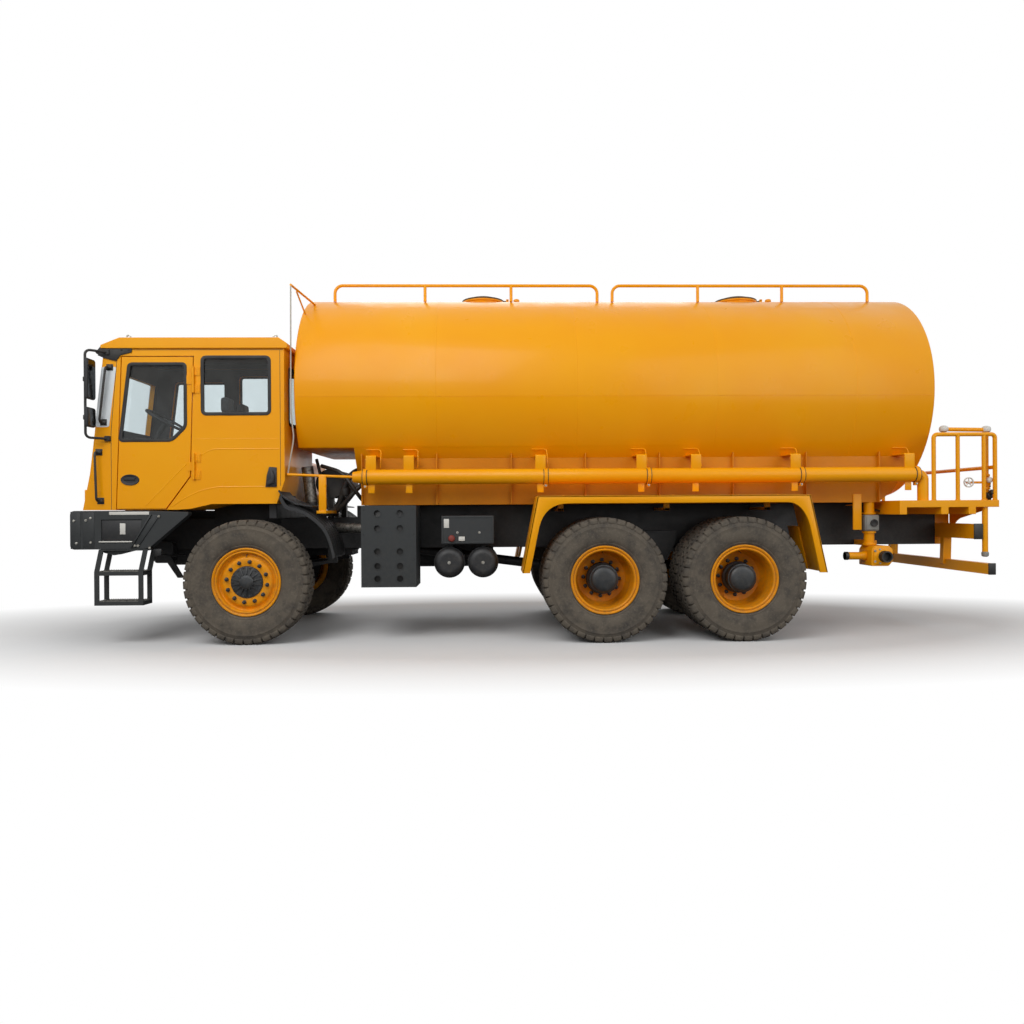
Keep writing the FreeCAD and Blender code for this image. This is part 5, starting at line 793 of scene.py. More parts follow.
def strewn(model: Object, name: str, places: Iterable[Point]) -> Object:
    """Copies a piece that is about the origin to each place, in one mesh, and deletes it.

    Args:
        model: What is copied.
        name: Name of the copies.
        places: Where they go.

    Returns:
        All copies as one piece.
    """
    copies = [moved(model, f"{name}_{number}", place) for number, place in enumerate(places)]
    bpy.data.objects.remove(model)
    return join(name, copies)


def dress(piece: Object, finish: Finish, replaced: Sequence[str] = (), body: str = "truck") -> Object:
    """Gives a piece its finish and makes it ride on its body.

    Args:
        piece: The finished piece.
        finish: Its finish.
        replaced: The carried-over nodes that it stands for.
        body: The body that carries it.

    Returns:
        The same piece.
    """
    piece.data.materials.clear()
    piece.data.materials.append(WARDROBE.get(finish))
    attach(piece, body)
    if replaced:
        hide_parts(*replaced)
    LOG.info("%s rides on %s", piece.name, body)
    return piece


def studs(name: str, places: Sequence[Point], axis: Axis, radius: float, height: float,
          sides: int = 6) -> Object:
    """Bolt heads on their washers, or rivets where there are many sides, all alike.

    Args:
        name: Their name.
        places: Where each stands on its panel.
        axis: The way they point. The height's sign gives the side.
        radius: Radius of the head.
        height: How far the head stands out, below zero towards the axis's low end.
        sides: Sides of the head.

    Returns:
        All of them as one piece.
    """
    way = math.copysign(1.0, height)
    thick = abs(height)
    washer = lathe(f"{name}_washer", [(0.0, -0.002 * way), (radius * 1.45, -0.002 * way),
                                      (radius * 1.45, thick * 0.2 * way), (0.0, thick * 0.2 * way)],
                   axis, ORIGIN, 14)
    head = lathe(f"{name}_head", [(0.0, 0.0), (radius, 0.0), (radius, thick * 0.85 * way),
                                  (radius * 0.85, thick * way), (0.0, thick * way)], axis, ORIGIN, sides)
    model = join(name, [washer, head])
    return strewn(model, name, places)


@dataclass
class CarriedNodes:
    """The CAD nodes that stay: their finishes, and the small rounding of edges that a press or saw leaves."""

    edge: float = 0.005
    finishes: dict[Finish, Sequence[str]] = field(default_factory=lambda: {
        RIM_ENAMEL: ("wheel_front_left", "wheel_front_right", "wheels_middle_left", "wheels_middle_right",
                     "wheels_rear_left", "wheels_rear_right"),
        TYRE: ("tyre_front_left", "tyre_front_right", "tyres_middle_left", "tyres_middle_right",
               "tyres_rear_left", "tyres_rear_right"),
        CHASSIS_BLACK: ("knuckle_left", "knuckle_right", "tie_rod", "steering_gear", "front_axle",
                        "rear_axles", "driveline", "rear_shaft", "suspension", "frame", "engine",
                        "cab_mounts", "front_mudguards", "air_tanks", "suction_port"),
        ENAMEL: ("cab_shell", "cab_roof", "door_left", "hood", "tank", "top_rails", "side_pipes",
                 "sight_line", "rear_fenders", "rear_platform", "rear_railing", "rear_pipework", "water_pump",
                 "underrun_bar"),
        BUMPER_GREY: ("grille", "front_bumper", "entry_steps", "exhaust_box", "battery_box", "fuel_tank"),
        GLASS: ("cab_glass", "door_left_glass"), CAB_PLASTIC: ("cab_interior", "steering_wheel"),
        GASKET: ("visor", "mirrors"), HOSE: ("grab_rails", "air_intake"), CLOTH: ("seats",),
        LID_BROWN: ("manhole_lid_front", "manhole_lid_rear"), CLEAR_LENS: ("lamps",),
        # The saddle takes the darker enamel, which is painted shade under the tank.
        SHADED_SADDLE_ENAMEL: ("tank_saddle",)
    })

    rounded: Sequence[str] = ("cab_shell", "door_left", "cab_roof", "hood", "front_bumper", "entry_steps",
                              "frame", "front_mudguards", "steering_gear", "tank_saddle", "rear_fenders",
                              "exhaust_box", "battery_box", "rear_platform", "water_pump", "underrun_bar",
                              "cab_mounts", "engine", "fuel_tank", "cab_interior", "grille", "front_axle")

    def dress_all(self, nodes: dict[str, Object]) -> None:
        """Gives every carried-over node its finish and its pressed edges, and the cab its lining.

        Args:
            nodes: The frame's nodes by name.
        """
        for finish, names in self.finishes.items():
            for name in names:
                nodes[name].data.materials.clear()
                nodes[name].data.materials.append(WARDROBE.get(finish))
                LOG.info("%s keeps its shape in %s", name, finish.name)
        for name in self.rounded:
            self.round_edges(nodes[name])
        for name in ("cab_shell", "door_left", "cab_roof"):
            self.line_room(nodes[name])

    def round_edges(self, piece: Object) -> None:
        """Rounds a node's sharp edges with live modifiers, so that they catch the light as sheet does."""
        weld = piece.modifiers.new("weld", "WELD")
        weld.merge_threshold = 0.0001
        flat = piece.modifiers.new("flat", "DECIMATE")
        flat.decimate_type = "DISSOLVE"
        flat.angle_limit = math.radians(1.0)
        rounding = piece.modifiers.new("rounding", "BEVEL")
        rounding.width = self.edge
        rounding.segments = 2
        rounding.limit_method = "ANGLE"
        rounding.angle_limit = math.radians(SHARP_DEGREES)
        rounding.harden_normals = False
        for polygon in piece.data.polygons:
            polygon.use_smooth = True
        piece.modifiers.new("shading", "WEIGHTED_NORMAL")

    def line_room(self, piece: Object) -> None:
        """Gives the faces that look into the cab a dark lining."""
        # The cab's front from the side, as heights and places behind the front axle
        slope = ((1.505, -1.620), (1.771, -1.629), (2.043, -1.595), (2.243, -1.572), (2.904, -1.495),
                 (3.300, -1.478))
        piece.data.materials.append(WARDROBE.get(CAB_PLASTIC))
        for polygon in piece.data.polygons:
            inside = Vector(polygon.center) + Vector(polygon.normal) * 0.012
            if not (-1.150 < inside.y < 0.015 and 1.500 < inside.z < 3.160):
                continue
            front = next(low[1] + (high[1] - low[1]) * (inside.z - low[0]) / (high[0] - low[0])
                         for low, high in zip(slope, slope[1:]) if inside.z <= high[0])
            if behind(front) + 0.053 < inside.x < behind(0.325):
                polygon.material_index = 1


@dataclass
class Studio:
    """Plain pale floor, soft lights and a camera at the photograph's angle."""

    camera_place: Point = (-0.5103, -9.5638, 1.3737)
    yaw: float = 0.0243
    pitch: float = -0.0024
    roll: float = -0.0063
    focal: float = 27.98
    floor_half: float = 60.0

    def build(self) -> None:
        """Makes the camera, the lights, the world and the floor."""
        bpy.context.scene.view_settings.view_transform = "Standard"
        self.place_camera()
        self.light("key_light", (-5.0, -9.0, 9.0), 8.0, 760.0)
        self.light("fill_light", (7.0, -9.0, 6.0), 9.0, 380.0)
        self.light("far_light", (0.0, 9.0, 8.0), 9.0, 300.0)
        self.make_world()
        self.make_floor()

    def place_camera(self) -> None:
        """Sets the camera by the angles that the photograph's measured points gave."""
        right = Vector((math.cos(self.yaw), -math.sin(self.yaw), 0.0))
        ahead = Vector((math.sin(self.yaw), math.cos(self.yaw), 0.0))
        up = Vector((0.0, 0.0, 1.0))
        ahead_tilted = ahead * math.cos(self.pitch) + up * math.sin(self.pitch)
        up_tilted = up * math.cos(self.pitch) - ahead * math.sin(self.pitch)
        across = right * math.cos(self.roll) + up_tilted * math.sin(self.roll)
        upright = up_tilted * math.cos(self.roll) - right * math.sin(self.roll)
        turn = Matrix((across, upright, -ahead_tilted)).transposed().to_4x4()
        data = bpy.data.cameras.new("photo_camera")
        data.lens = self.focal
        data.sensor_width = 36.0
        data.sensor_fit = "HORIZONTAL"
        data.clip_end = 300.0
        camera = bpy.data.objects.new("photo_camera", data)
        camera.matrix_world = Matrix.Translation(self.camera_place) @ turn
        bpy.context.scene.collection.objects.link(camera)
        bpy.context.scene.camera = camera

    def light(self, name: str, place: Point, size: float, power: float) -> None:
        """Adds a soft square light that faces the middle of the truck.

        Args:
            name: Its name.
            place: Where it hangs.
            size: Length of its side.
            power: Its power in watts.
        """
        data = bpy.data.lights.new(name, "AREA")
        data.shape = "SQUARE"
        data.size = size
        data.energy = power
        lamp = bpy.data.objects.new(name, data)
        way = Vector((0.0, 0.0, 1.6)) - Vector(place)
        lamp.matrix_world = Matrix.Translation(place) @ way.to_track_quat("-Z", "Y").to_matrix().to_4x4()
        bpy.context.scene.collection.objects.link(lamp)

    def make_world(self) -> None:
        """White to the camera and in reflections, and a modest grey light on the truck."""
        world = bpy.data.worlds.new("studio_world")
        bpy.context.scene.world = world
        world.use_nodes = True
        tree = world.node_tree
        tree.nodes.clear()
        path = add_node(tree, "LightPath")
        seen = add_node(tree, "Math", {"operation": "MAXIMUM"},
                        {0: path.outputs["Is Camera Ray"], 1: path.outputs["Is Transmission Ray"]})
        shown = add_node(tree, "Math", {"operation": "MAXIMUM"},
                         {0: seen, 1: path.outputs["Is Glossy Ray"]})
        strength = add_node(tree, "MapRange", {"To Min": 0.34, "To Max": 1.0}, {"Value": shown})
        sky = add_node(tree, "Background", {"Color": linear("#FFFFFF")}, {"Strength": strength})
        add_node(tree, "OutputWorld", links={"Surface": sky})

    def make_floor(self) -> None:
        """A wide floor that is white to the camera and keeps the truck's shadow."""
        half = self.floor_half
        floor = block("studio_floor", (-half, -half, -0.04), (half, half, 0.0), 0.0)
        floor.data.materials.clear()
        floor.data.materials.append(self.floor_material())

    def floor_material(self) -> Material:
        """White concrete that goes over to plain white away from the truck."""
        material = bpy.data.materials.new("studio_floor")
        material.use_nodes = True
        tree = material.node_tree
        tree.nodes.clear()
        place = add_node(tree, "TexCoord").outputs["Object"]
        tone = Clouds(3.0, 4.0, 0.0, 1.0, most=0.84, least=0.8).share(tree, place)
        path = add_node(tree, "LightPath")
        # Other rays find the floor darker, so that it doesn't light the barrel from below
        lit = add_node(tree, "MapRange", {"To Min": 0.32, "To Max": 1.0},
                       {"Value": path.outputs["Is Camera Ray"]})
        level = add_node(tree, "Math", {"operation": "MULTIPLY"}, {0: tone, 1: lit})
        matt = add_node(tree, "BsdfDiffuse", links={"Color": level})
        white = add_node(tree, "Emission", {"Color": linear("#FFFFFF"), "Strength": 1.0})
        spread = add_node(tree, "VectorMath", {"operation": "MULTIPLY", 1: (0.14, 0.34, 0.0)},
                          {0: place})
        far = add_node(tree, "VectorMath", {"operation": "LENGTH"}, {0: spread})
        beyond = add_node(tree, "MapRange", {"From Min": 0.75, "From Max": 1.25},
                          {"Value": far.outputs["Value"]})
        share = add_node(tree, "Math", {"operation": "MULTIPLY"},
                         {0: beyond, 1: path.outputs["Is Camera Ray"]})
        surface = add_node(tree, "MixShader", links={0: share, 1: matt, 2: white})
        add_node(tree, "OutputMaterial", links={"Surface": surface})
        return material


@dataclass
class TyreSet:
    """The ten tyres: a round carcass with a moulded sidewall, and rows of blocks round it."""

    lugs: int = 40
    groove: float = 0.022
    carcass: Profile = (
        (0.3180, 0.1200), (0.3600, 0.1215), (0.3680, 0.1330), (0.3800, 0.1400), (0.3860, 0.1390),
        (0.4000, 0.1500), (0.4300, 0.1610), (0.4700, 0.1675), (0.5100, 0.1685), (0.5400, 0.1660),
        (0.5450, 0.1680), (0.5520, 0.1675), (0.5560, 0.1640), (0.5850, 0.1600), (0.6020, 0.1540),
        (0.6180, 0.1420), (0.6260, 0.1300)
    )
    shoulder: Profile = (
        (0.0860, 0.6180), (0.0860, 0.6446), (0.1330, 0.6440), (0.1560, 0.6320), (0.1650, 0.6080),
        (0.1640, 0.5880), (0.1500, 0.5800)
    )
    rib: Profile = ((0.0060, 0.6180), (0.0060, 0.6446), (0.0760, 0.6446), (0.0760, 0.6180))

    def lug_row(self, name: str, section: Profile, side: int, turn: float) -> Object:
        """A row of blocks round the tyre.

        Args:
            name: Its name.
            section: Corners of one block, as place along the axle and radius.
            side: 1 or -1, for the half of the tread that it is on.
            turn: How far it is turned round the axle, in degrees.

        Returns:
            The row, about the origin.
        """
        length = math.tau * AXLE_HEIGHT / self.lugs - self.groove
        row = plate(name, [(side * w, r) for w, r in section], Plane.YZ, -length / 2, length, 0.004)
        finish = ring_of(row, self.lugs, Axis.Y, ORIGIN)
        row.data.transform(Matrix.Rotation(math.radians(turn), 4, "Y"))
        return finish

    def one(self) -> Object:
        """One tyre about the origin, with its axle along Y."""
        ring = [(r, w) for r, w in self.carcass] + [(r, -w) for r, w in reversed(self.carcass)]
        pieces = [lathe("tyre", ring, Axis.Y, ORIGIN, 120)]
        step = 360 / self.lugs
        for side in (-1, 1):
            pieces.append(self.lug_row("shoulder_lugs", self.shoulder, side, step * 0.25 * side))
            pieces.append(self.lug_row("centre_lugs", self.rib, side, step * (0.5 + 0.25 * side)))
        return join("tyre", pieces)

    def build(self) -> None:
        """Makes the single front tyres and the twin rear ones."""
        model = self.one()
        for side in Side:
            name = side.name.lower()
            front = moved(model, f"front_tyre_{name}", (FRONT_AXLE, side.value * FRONT_TRACK, AXLE_HEIGHT))
            dress(front, TYRE, [f"tyre_front_{name}"], f"front_wheel_{name}")
            for label, axle in (("middle", MID_AXLE), ("rear", REAR_AXLE)):
                twins = [moved(model, f"{label}_tyre_{name}_{place}",
                               (axle, side.value * (TWIN_TRACK + place * TWIN_STEP), AXLE_HEIGHT))
                         for place in (-1, 1)]
                pair = join(f"{label}_tyres_{name}", twins)
                dress(pair, TYRE, [f"tyres_{label}_{name}"], f"{label}_wheels_{name}")
        bpy.data.objects.remove(model)


@dataclass
class WheelSet:
    """Rims, hubs and nuts. Profiles are radius and place along the axle, outwards from the wheel's middle."""

    nuts: int = 12
    nut_circle: float = 0.210
    fins: int = 14
    front_rim: Profile = (
        (0.1600, 0.0960), (0.2300, 0.0990), (0.2460, 0.0960), (0.2600, 0.0860), (0.2720, 0.0740),
        (0.2900, 0.0700), (0.2985, 0.0760), (0.3030, 0.1180), (0.3110, 0.1270), (0.3190, 0.1270),
        (0.3230, 0.1200), (0.3290, 0.1200), (0.3340, 0.1310), (0.3450, 0.1363), (0.3530, 0.1345),
        (0.3560, 0.1290), (0.3560, 0.1203), (0.3177, 0.1203), (0.3177, -0.1203), (0.3560, -0.1203),
        (0.3560, -0.1363), (0.2997, -0.1363), (0.2960, 0.0480), (0.2500, 0.0640), (0.2300, 0.0830),
        (0.1600, 0.0830)
    )
    front_hub: Profile = (
        (0.0, 0.1420), (0.0450, 0.1415), (0.0640, 0.1380), (0.0740, 0.1300), (0.0780, 0.1150),
        (0.1500, 0.1080), (0.1620, 0.1060), (0.1660, 0.1010), (0.1660, 0.0830), (0.1100, 0.0830),
        (0.1100, -0.0800), (0.0569, -0.0800), (0.0569, 0.1220), (0.0, 0.1220)
    )
    rear_rim: Profile = (
        (0.1500, 0.0160), (0.2560, 0.0160), (0.2860, 0.0660), (0.2940, 0.0900), (0.2950, 0.2600),
        (0.3010, 0.3180), (0.3110, 0.3270), (0.3190, 0.3270), (0.3230, 0.3200), (0.3290, 0.3200),
        (0.3340, 0.3310), (0.3450, 0.3363), (0.3530, 0.3345), (0.3560, 0.3290), (0.3560, 0.3203),
        (0.3177, 0.3203), (0.3177, 0.0797), (0.3560, 0.0797), (0.3560, 0.0637), (0.3060, 0.0637),
        (0.2700, 0.0), (0.3060, -0.0637), (0.3560, -0.0637), (0.3560, -0.0797), (0.3177, -0.0797),
        (0.3177, -0.3203), (0.3560, -0.3203), (0.3560, -0.3363), (0.2997, -0.3363), (0.2950, -0.0900),
        (0.2560, -0.0160), (0.1500, -0.0160)
    )
    rear_hub: Profile = (
        (0.0, 0.2920), (0.0800, 0.2910), (0.1080, 0.2860), (0.1300, 0.2740), (0.1380, 0.2600),
        (0.1395, 0.2380), (0.1500, 0.2360), (0.1500, 0.2160), (0.1420, 0.2140), (0.1420, 0.1000),
        (0.1640, 0.0880), (0.1700, 0.0700), (0.1500, 0.0600), (0.1500, -0.0160), (0.0959, -0.0160),
        (0.0959, 0.1500), (0.0, 0.1500)
    )

    def nut_ring(self, name: str, circle: float, face: float, turn: float) -> Object:
        """Wheel nuts on their studs, each on a round seat.

        Args:
            name: Its name.
            circle: Radius of the ring.
            face: Place along the axle of the face that they clamp.
            turn: How far the ring is turned, in degrees.

        Returns:
            The ring, about the origin and facing +Y.
        """
        nut = join(name, [
            bar("nut_seat", (0.0, face - 0.004, circle), (0.0, face + 0.004, circle), 0.0215, None, 16,
                0.001),
            bar("nut_hex", (0.0, face + 0.003, circle), (0.0, face + 0.027, circle), 0.0185, None, 6, 0.002),
            bar("nut_stud", (0.0, face + 0.02, circle), (0.0, face + 0.038, circle), 0.0095, None, 10,
                0.0015)
        ])
        ring_of(nut, self.nuts, Axis.Y, ORIGIN)
        nut.data.transform(Matrix.Rotation(math.radians(turn), 4, "Y"))
        return nut

    def front_hub_piece(self) -> Object:
        """The front hub: a finned casting with a round cap."""
        hub = lathe("front_hub", self.front_hub, Axis.Y, ORIGIN, 72)
        fin = plate("hub_fin",
                    [(0.104, 0.160), (0.108, 0.160), (0.134, 0.080), (0.134, 0.070), (0.104, 0.070)],
                    Plane.YZ, -0.005, 0.010, 0.0015)
        ring_of(fin, self.fins, Axis.Y, ORIGIN)
        bolt = bar("hub_bolt", (0.0, 0.104, 0.148), (0.0, 0.118, 0.148), 0.0095, None, 6, 0.001)
        bolt.data.transform(Matrix.Rotation(math.pi / self.fins, 4, "Y"))
        ring_of(bolt, self.fins, Axis.Y, ORIGIN)
        return join("front_hub", [hub, fin, bolt])

    def rear_hub_piece(self) -> Object:
        """The rear hub: a long drum that ends in a smooth cap held by a ring of bolts."""
        hub = lathe("rear_hub", self.rear_hub, Axis.Y, ORIGIN, 72)
        bolt = bar("cap_bolt", (0.0, 0.230, 0.1445), (0.0, 0.242, 0.1445), 0.0050, None, 6, 0.0)
        ring_of(bolt, 12, Axis.Y, ORIGIN)
        plug = bar("cap_plug", (0.0, 0.288, 0.0), (0.0, 0.2919, 0.0), 0.012, None, 6, 0.001)
        return join("rear_hub", [hub, bolt, plug])

    def valve(self, place: float, reach: float) -> Object:
        """The tyre valve on its stem, near the rim's edge."""
        return tube("tyre_valve", [(0.0, place, 0.285), (0.0, place + 0.03, 0.285), (0.0, reach, 0.262)],
                    0.004, 0.012, 1)

    def put(self, model: Object, name: str, centre: Point, side: Side, finish: Finish, body: str,
            replaced: Sequence[str]) -> None:
        """Copies a model, which faces +Y, to one wheel.

        Args:
            model: What is copied.
            name: Name of the copy.
            centre: Middle of the wheel.
            side: Side of the truck, which it faces.
            finish: Its finish.
            body: The body that carries it.
            replaced: Nodes that it stands for.
        """
        way = Matrix.Translation(centre) @ Matrix.Scale(side.value, 4, (0, 1, 0))
        dress(copy_of(model, name, way), finish, replaced, body)

    def build(self) -> None:
        """Makes the front wheels and the twin rear wheels."""
        front = {
            "rim": (lathe("front_rim", self.front_rim, Axis.Y, ORIGIN, 96, 0.0015), RIM_ENAMEL),
            "hub": (self.front_hub_piece(), HUB_BLACK),
            "nuts": (self.nut_ring("front_nuts", self.nut_circle, 0.098, 8.0), HUB_BLACK),
            "valve": (self.valve(0.066, 0.11), HOSE),
        }
        rear = {
            "rims": (lathe("rear_rims", self.rear_rim, Axis.Y, ORIGIN, 96, 0.0015), RIM_ENAMEL),
            "hub": (self.rear_hub_piece(), HUB_BLACK),
            "nuts": (self.nut_ring("rear_nuts", 0.192, 0.016, 3.0), HUB_BLACK),
            "valve": (self.valve(0.075, 0.20), HOSE),
        }
        for side in Side:
            name = side.name.lower()
            centre = (FRONT_AXLE, side.value * FRONT_TRACK, AXLE_HEIGHT)
            for part, (model, finish) in front.items():
                self.put(model, f"front_{part}_{name}", centre, side, finish, f"front_wheel_{name}",
                         [f"wheel_front_{name}"] if part == "rim" else [])
            for label, axle in (("middle", MID_AXLE), ("rear", REAR_AXLE)):
                centre = (axle, side.value * TWIN_TRACK, AXLE_HEIGHT)
                for part, (model, finish) in rear.items():
                    self.put(model, f"{label}_{part}_{name}", centre, side, finish, f"{label}_wheels_{name}",
                             [f"wheels_{label}_{name}"] if part == "rims" else [])
        for copied in (*front.values(), *rear.values()):
            bpy.data.objects.remove(copied[0])


@dataclass
class TankBarrel:
    """The round tank: rolled plates welded end to end, with dished ends and a step cut away at the front."""

    radius: float = 1.160
    height: float = 2.675
    front: float = 0.431
    rear: float = 7.325
    dish: float = 0.040
    notch_rear: float = 1.061
    notch_height: float = 2.054
    seams: Sequence[float] = (1.95, 3.45, 4.95, 6.45)
    manholes: Sequence[float] = (2.446, 5.492)

    def shell(self) -> Object:
        """The barrel with its two ends, and the step cut out below at the front."""
        r, length = self.radius, self.rear - self.front
        end = [(0.0, 0.0), (r * 0.25, 0.002), (r * 0.5, 0.007), (r * 0.7, 0.0145), (r * 0.88, 0.0235),
               (r - 0.045, 0.0285), (r - 0.028, 0.031), (r - 0.014, 0.0355), (r - 0.005, 0.0425), (r, 0.053)]
        tail = [(a, length - b) for a, b in reversed(end)]
        barrel = lathe("tank_barrel", end + tail, Axis.X, (behind(self.front), 0.0, self.height), 160)
        cutter = block("tank_cutter", (behind(self.front) - 0.1, -1.3, 1.2), (behind(self.notch_rear), 1.3,
                                                                            self.notch_height), 0.0)
        finish_with(barrel, "BOOLEAN", operation="DIFFERENCE", object=cutter, solver="EXACT")
        bpy.data.objects.remove(cutter)
        return soften(barrel, 0.006, 2, 40.0)

    def weld(self, place: float) -> Object:
        """A low weld bead round the barrel."""
        r = self.radius
        bead = [(r - 0.002, -0.006), (r + 0.0012, -0.003), (r + 0.0012, 0.003), (r - 0.002, 0.006)]
        return lathe("weld_bead", bead, Axis.X, (behind(place), 0.0, self.height), 160)

    def long_weld(self, degrees: float) -> Object:
        """A lengthwise weld bead, this many degrees above the barrel's middle on the left."""
        angle = math.radians(degrees)
        y = -math.cos(angle) * self.radius
        z = self.height + math.sin(angle) * self.radius
        return bar("weld_line", (behind(self.front) + 0.07, y, z), (behind(self.rear) - 0.07, y, z), 0.0024,
                   None, 6)

    def neck(self, place: float) -> Object:
        """A manhole neck with its flange."""
        x = behind(place)
        top = self.height + self.radius + 0.024
        wall = [(0.238, -0.16), (0.238, -0.022), (0.2495, -0.020), (0.2495, -0.001), (0.20, -0.001),
                (0.20, -0.16)]
        return lathe("manhole_neck", wall, Axis.Z, (x, 0.0, top), 72, 0.0015)

    def build(self) -> None:
        """Makes the tank and dresses it."""
        pieces = [self.shell(), *[self.weld(place) for place in self.seams], self.long_weld(-4.7),
                  self.long_weld(-175.3)]
        for number, place in enumerate(self.manholes):
            pieces.append(self.neck(place))
            x, top = behind(place), self.height + self.radius
            pieces.append(bar(f"breather_{number}", (x + 0.4, 0.0, top - 0.03), (x + 0.4, 0.0, top + 0.038),
                              0.03))
            pieces.append(lathe(f"breather_cap_{number}",
                                [(0.0, 0.07), (0.024, 0.069), (0.036, 0.06), (0.038, 0.035), (0.0, 0.035)],
                                Axis.Z, (x + 0.4, 0.0, top), 32, 0.001))
            for side in (-1, 1):
                pieces.append(block(f"lid_ear_{number}_{side}",
                                    (x + 0.274, min(side * 0.06, side * 0.076), top - 0.02),
                                    (x + 0.306, max(side * 0.06, side * 0.076), top + 0.0523)))
            pieces.append(bar(f"lid_pin_{number}", (x + 0.29, -0.076, top + 0.0363),
                              (x + 0.29, 0.076, top + 0.0363), 0.008, None, 16))
        dress(join("tank_barrel", pieces), ENAMEL, ["tank"])


@dataclass
class SidePipes:
    """The big spray pipe along each side, in straps on the saddle, with clamps and an elbow at its tail."""

    side: float = 1.150
    height: float = 1.7300
    radius: float = 0.0800
    front: float = 1.198
    rear: float = 7.090
    clamps: Sequence[float] = (1.208, 3.108, 4.198, 5.833)
    straps: Sequence[float] = (1.271, 1.667, 3.052, 4.122, 4.702, 5.765, 6.990)

    def run(self) -> Object:
        """The pipe with its cone in front and its tail elbow, on the left side."""
        length = self.rear - self.front
        r = self.radius
        line = [(0.0, -0.120), (0.055, -0.120), (0.058, -0.1), (r - 0.004, -0.004), (r, 0.004),
                (r, length - 0.004), (r - 0.004, length), (0.0, length)]
        pipe = lathe("side_pipe", line, Axis.X, (behind(self.front), -self.side, self.height), 56)
        x = behind(self.rear)
        turn = x + 0.062
        elbow = tube("pipe_elbow", [(x - 0.056, -self.side, self.height), (turn, -self.side, self.height),
                                    (turn, -self.side, 1.4503)], 0.056, 0.058, 7)
        return join("side_pipe", [pipe, elbow])

    def clamp(self, place: float) -> Object:
        """A painted grooved coupling: a band with lips, and the ear of its bolt underneath."""
        r = self.radius
        band_ring = lathe("pipe_clamp", [(r - 0.002, -0.019), (r + 0.008, -0.019), (r + 0.010, -0.012),
                                         (r + 0.005, -0.007), (r + 0.005, 0.007), (r + 0.010, 0.012),
                                         (r + 0.008, 0.019), (r - 0.002, 0.019)],
                          Axis.X, (behind(place), -self.side, self.height), 48, 0.001)
        low = self.height - r
        ear = block("clamp_ear", (behind(place) - 0.016, -self.side - 0.026, low - 0.038),
                    (behind(place) + 0.016, -self.side + 0.026, low - 0.004), 0.005)
        return join("pipe_clamp", [band_ring, ear])

    def rings(self, place: float) -> Object:
        """Dark rubber lips on both sides of a coupling."""
        r = self.radius
        lips = [lathe("clamp_lip",
                      [(r - 0.001, -0.003), (r + 0.0065, -0.003), (r + 0.0065, 0.003), (r - 0.001, 0.003)],
                      Axis.X, (behind(place) + step, -self.side, self.height), 40)
                for step in (-0.0225, 0.0225)]
        return join("clamp_lips", lips)

    def strap(self, place: float) -> Object:
        """A bent strap that runs from the pipe in to the barrel, with a bent rod behind it and a foot below.

        Args:
            place: How far the strap's middle is behind the front axle.

        Returns:
            The strap with its rod and foot.
        """
        x = behind(place)
        top = self.height + self.radius
        outline = [(-0.9050, 1.9560), (-1.1780, 1.9560), (-1.1900, 1.9440), (-1.1900, top - 0.020),
                   (-1.1780, top - 0.020), (-1.1780, 1.9300), (-1.1700, 1.9440), (-0.9100, 1.9440)]
        strap = plate("pipe_strap", outline, Plane.YZ, x - 0.054, 0.108, 0.002)
        rim = tube("strap_rim",
                   [(x - 0.080, -0.980, 2.030), (x + 0.080, -0.980, 2.030), (x + 0.085, -1.080, 1.830)],
                   0.005, 0.03)
        foot = block("strap_foot", (x - 0.034, -1.1600, 1.560),
                     (x + 0.034, -1.1480, self.height - self.radius + 0.012), 0.003)
        return join("pipe_strap", [strap, rim, foot])

    def build(self) -> None:
        """Makes both pipes with their straps and clamps."""
        places = (*self.clamps, self.rear - 0.018)
        pipe = join("side_pipe", [self.run(), *[self.strap(place) for place in self.straps],
                                  *[self.clamp(place) for place in places]])
        lips = join("clamp_lip", [self.rings(place) for place in places])
        bolts = studs("clamp_bolt", [(behind(place), -self.side - 0.026, self.height - self.radius - 0.020)
                                     for place in places], Axis.Y, 0.008, -0.012)
        for piece, finish, replaced in ((pipe, ENAMEL, ["side_pipes"]), (lips, HOSE, []), (bolts, ZINC, [])):
            other = mirrored(piece, f"{piece.name}_right")
            dress(join(f"{piece.name}s", [piece, other]), finish, replaced)


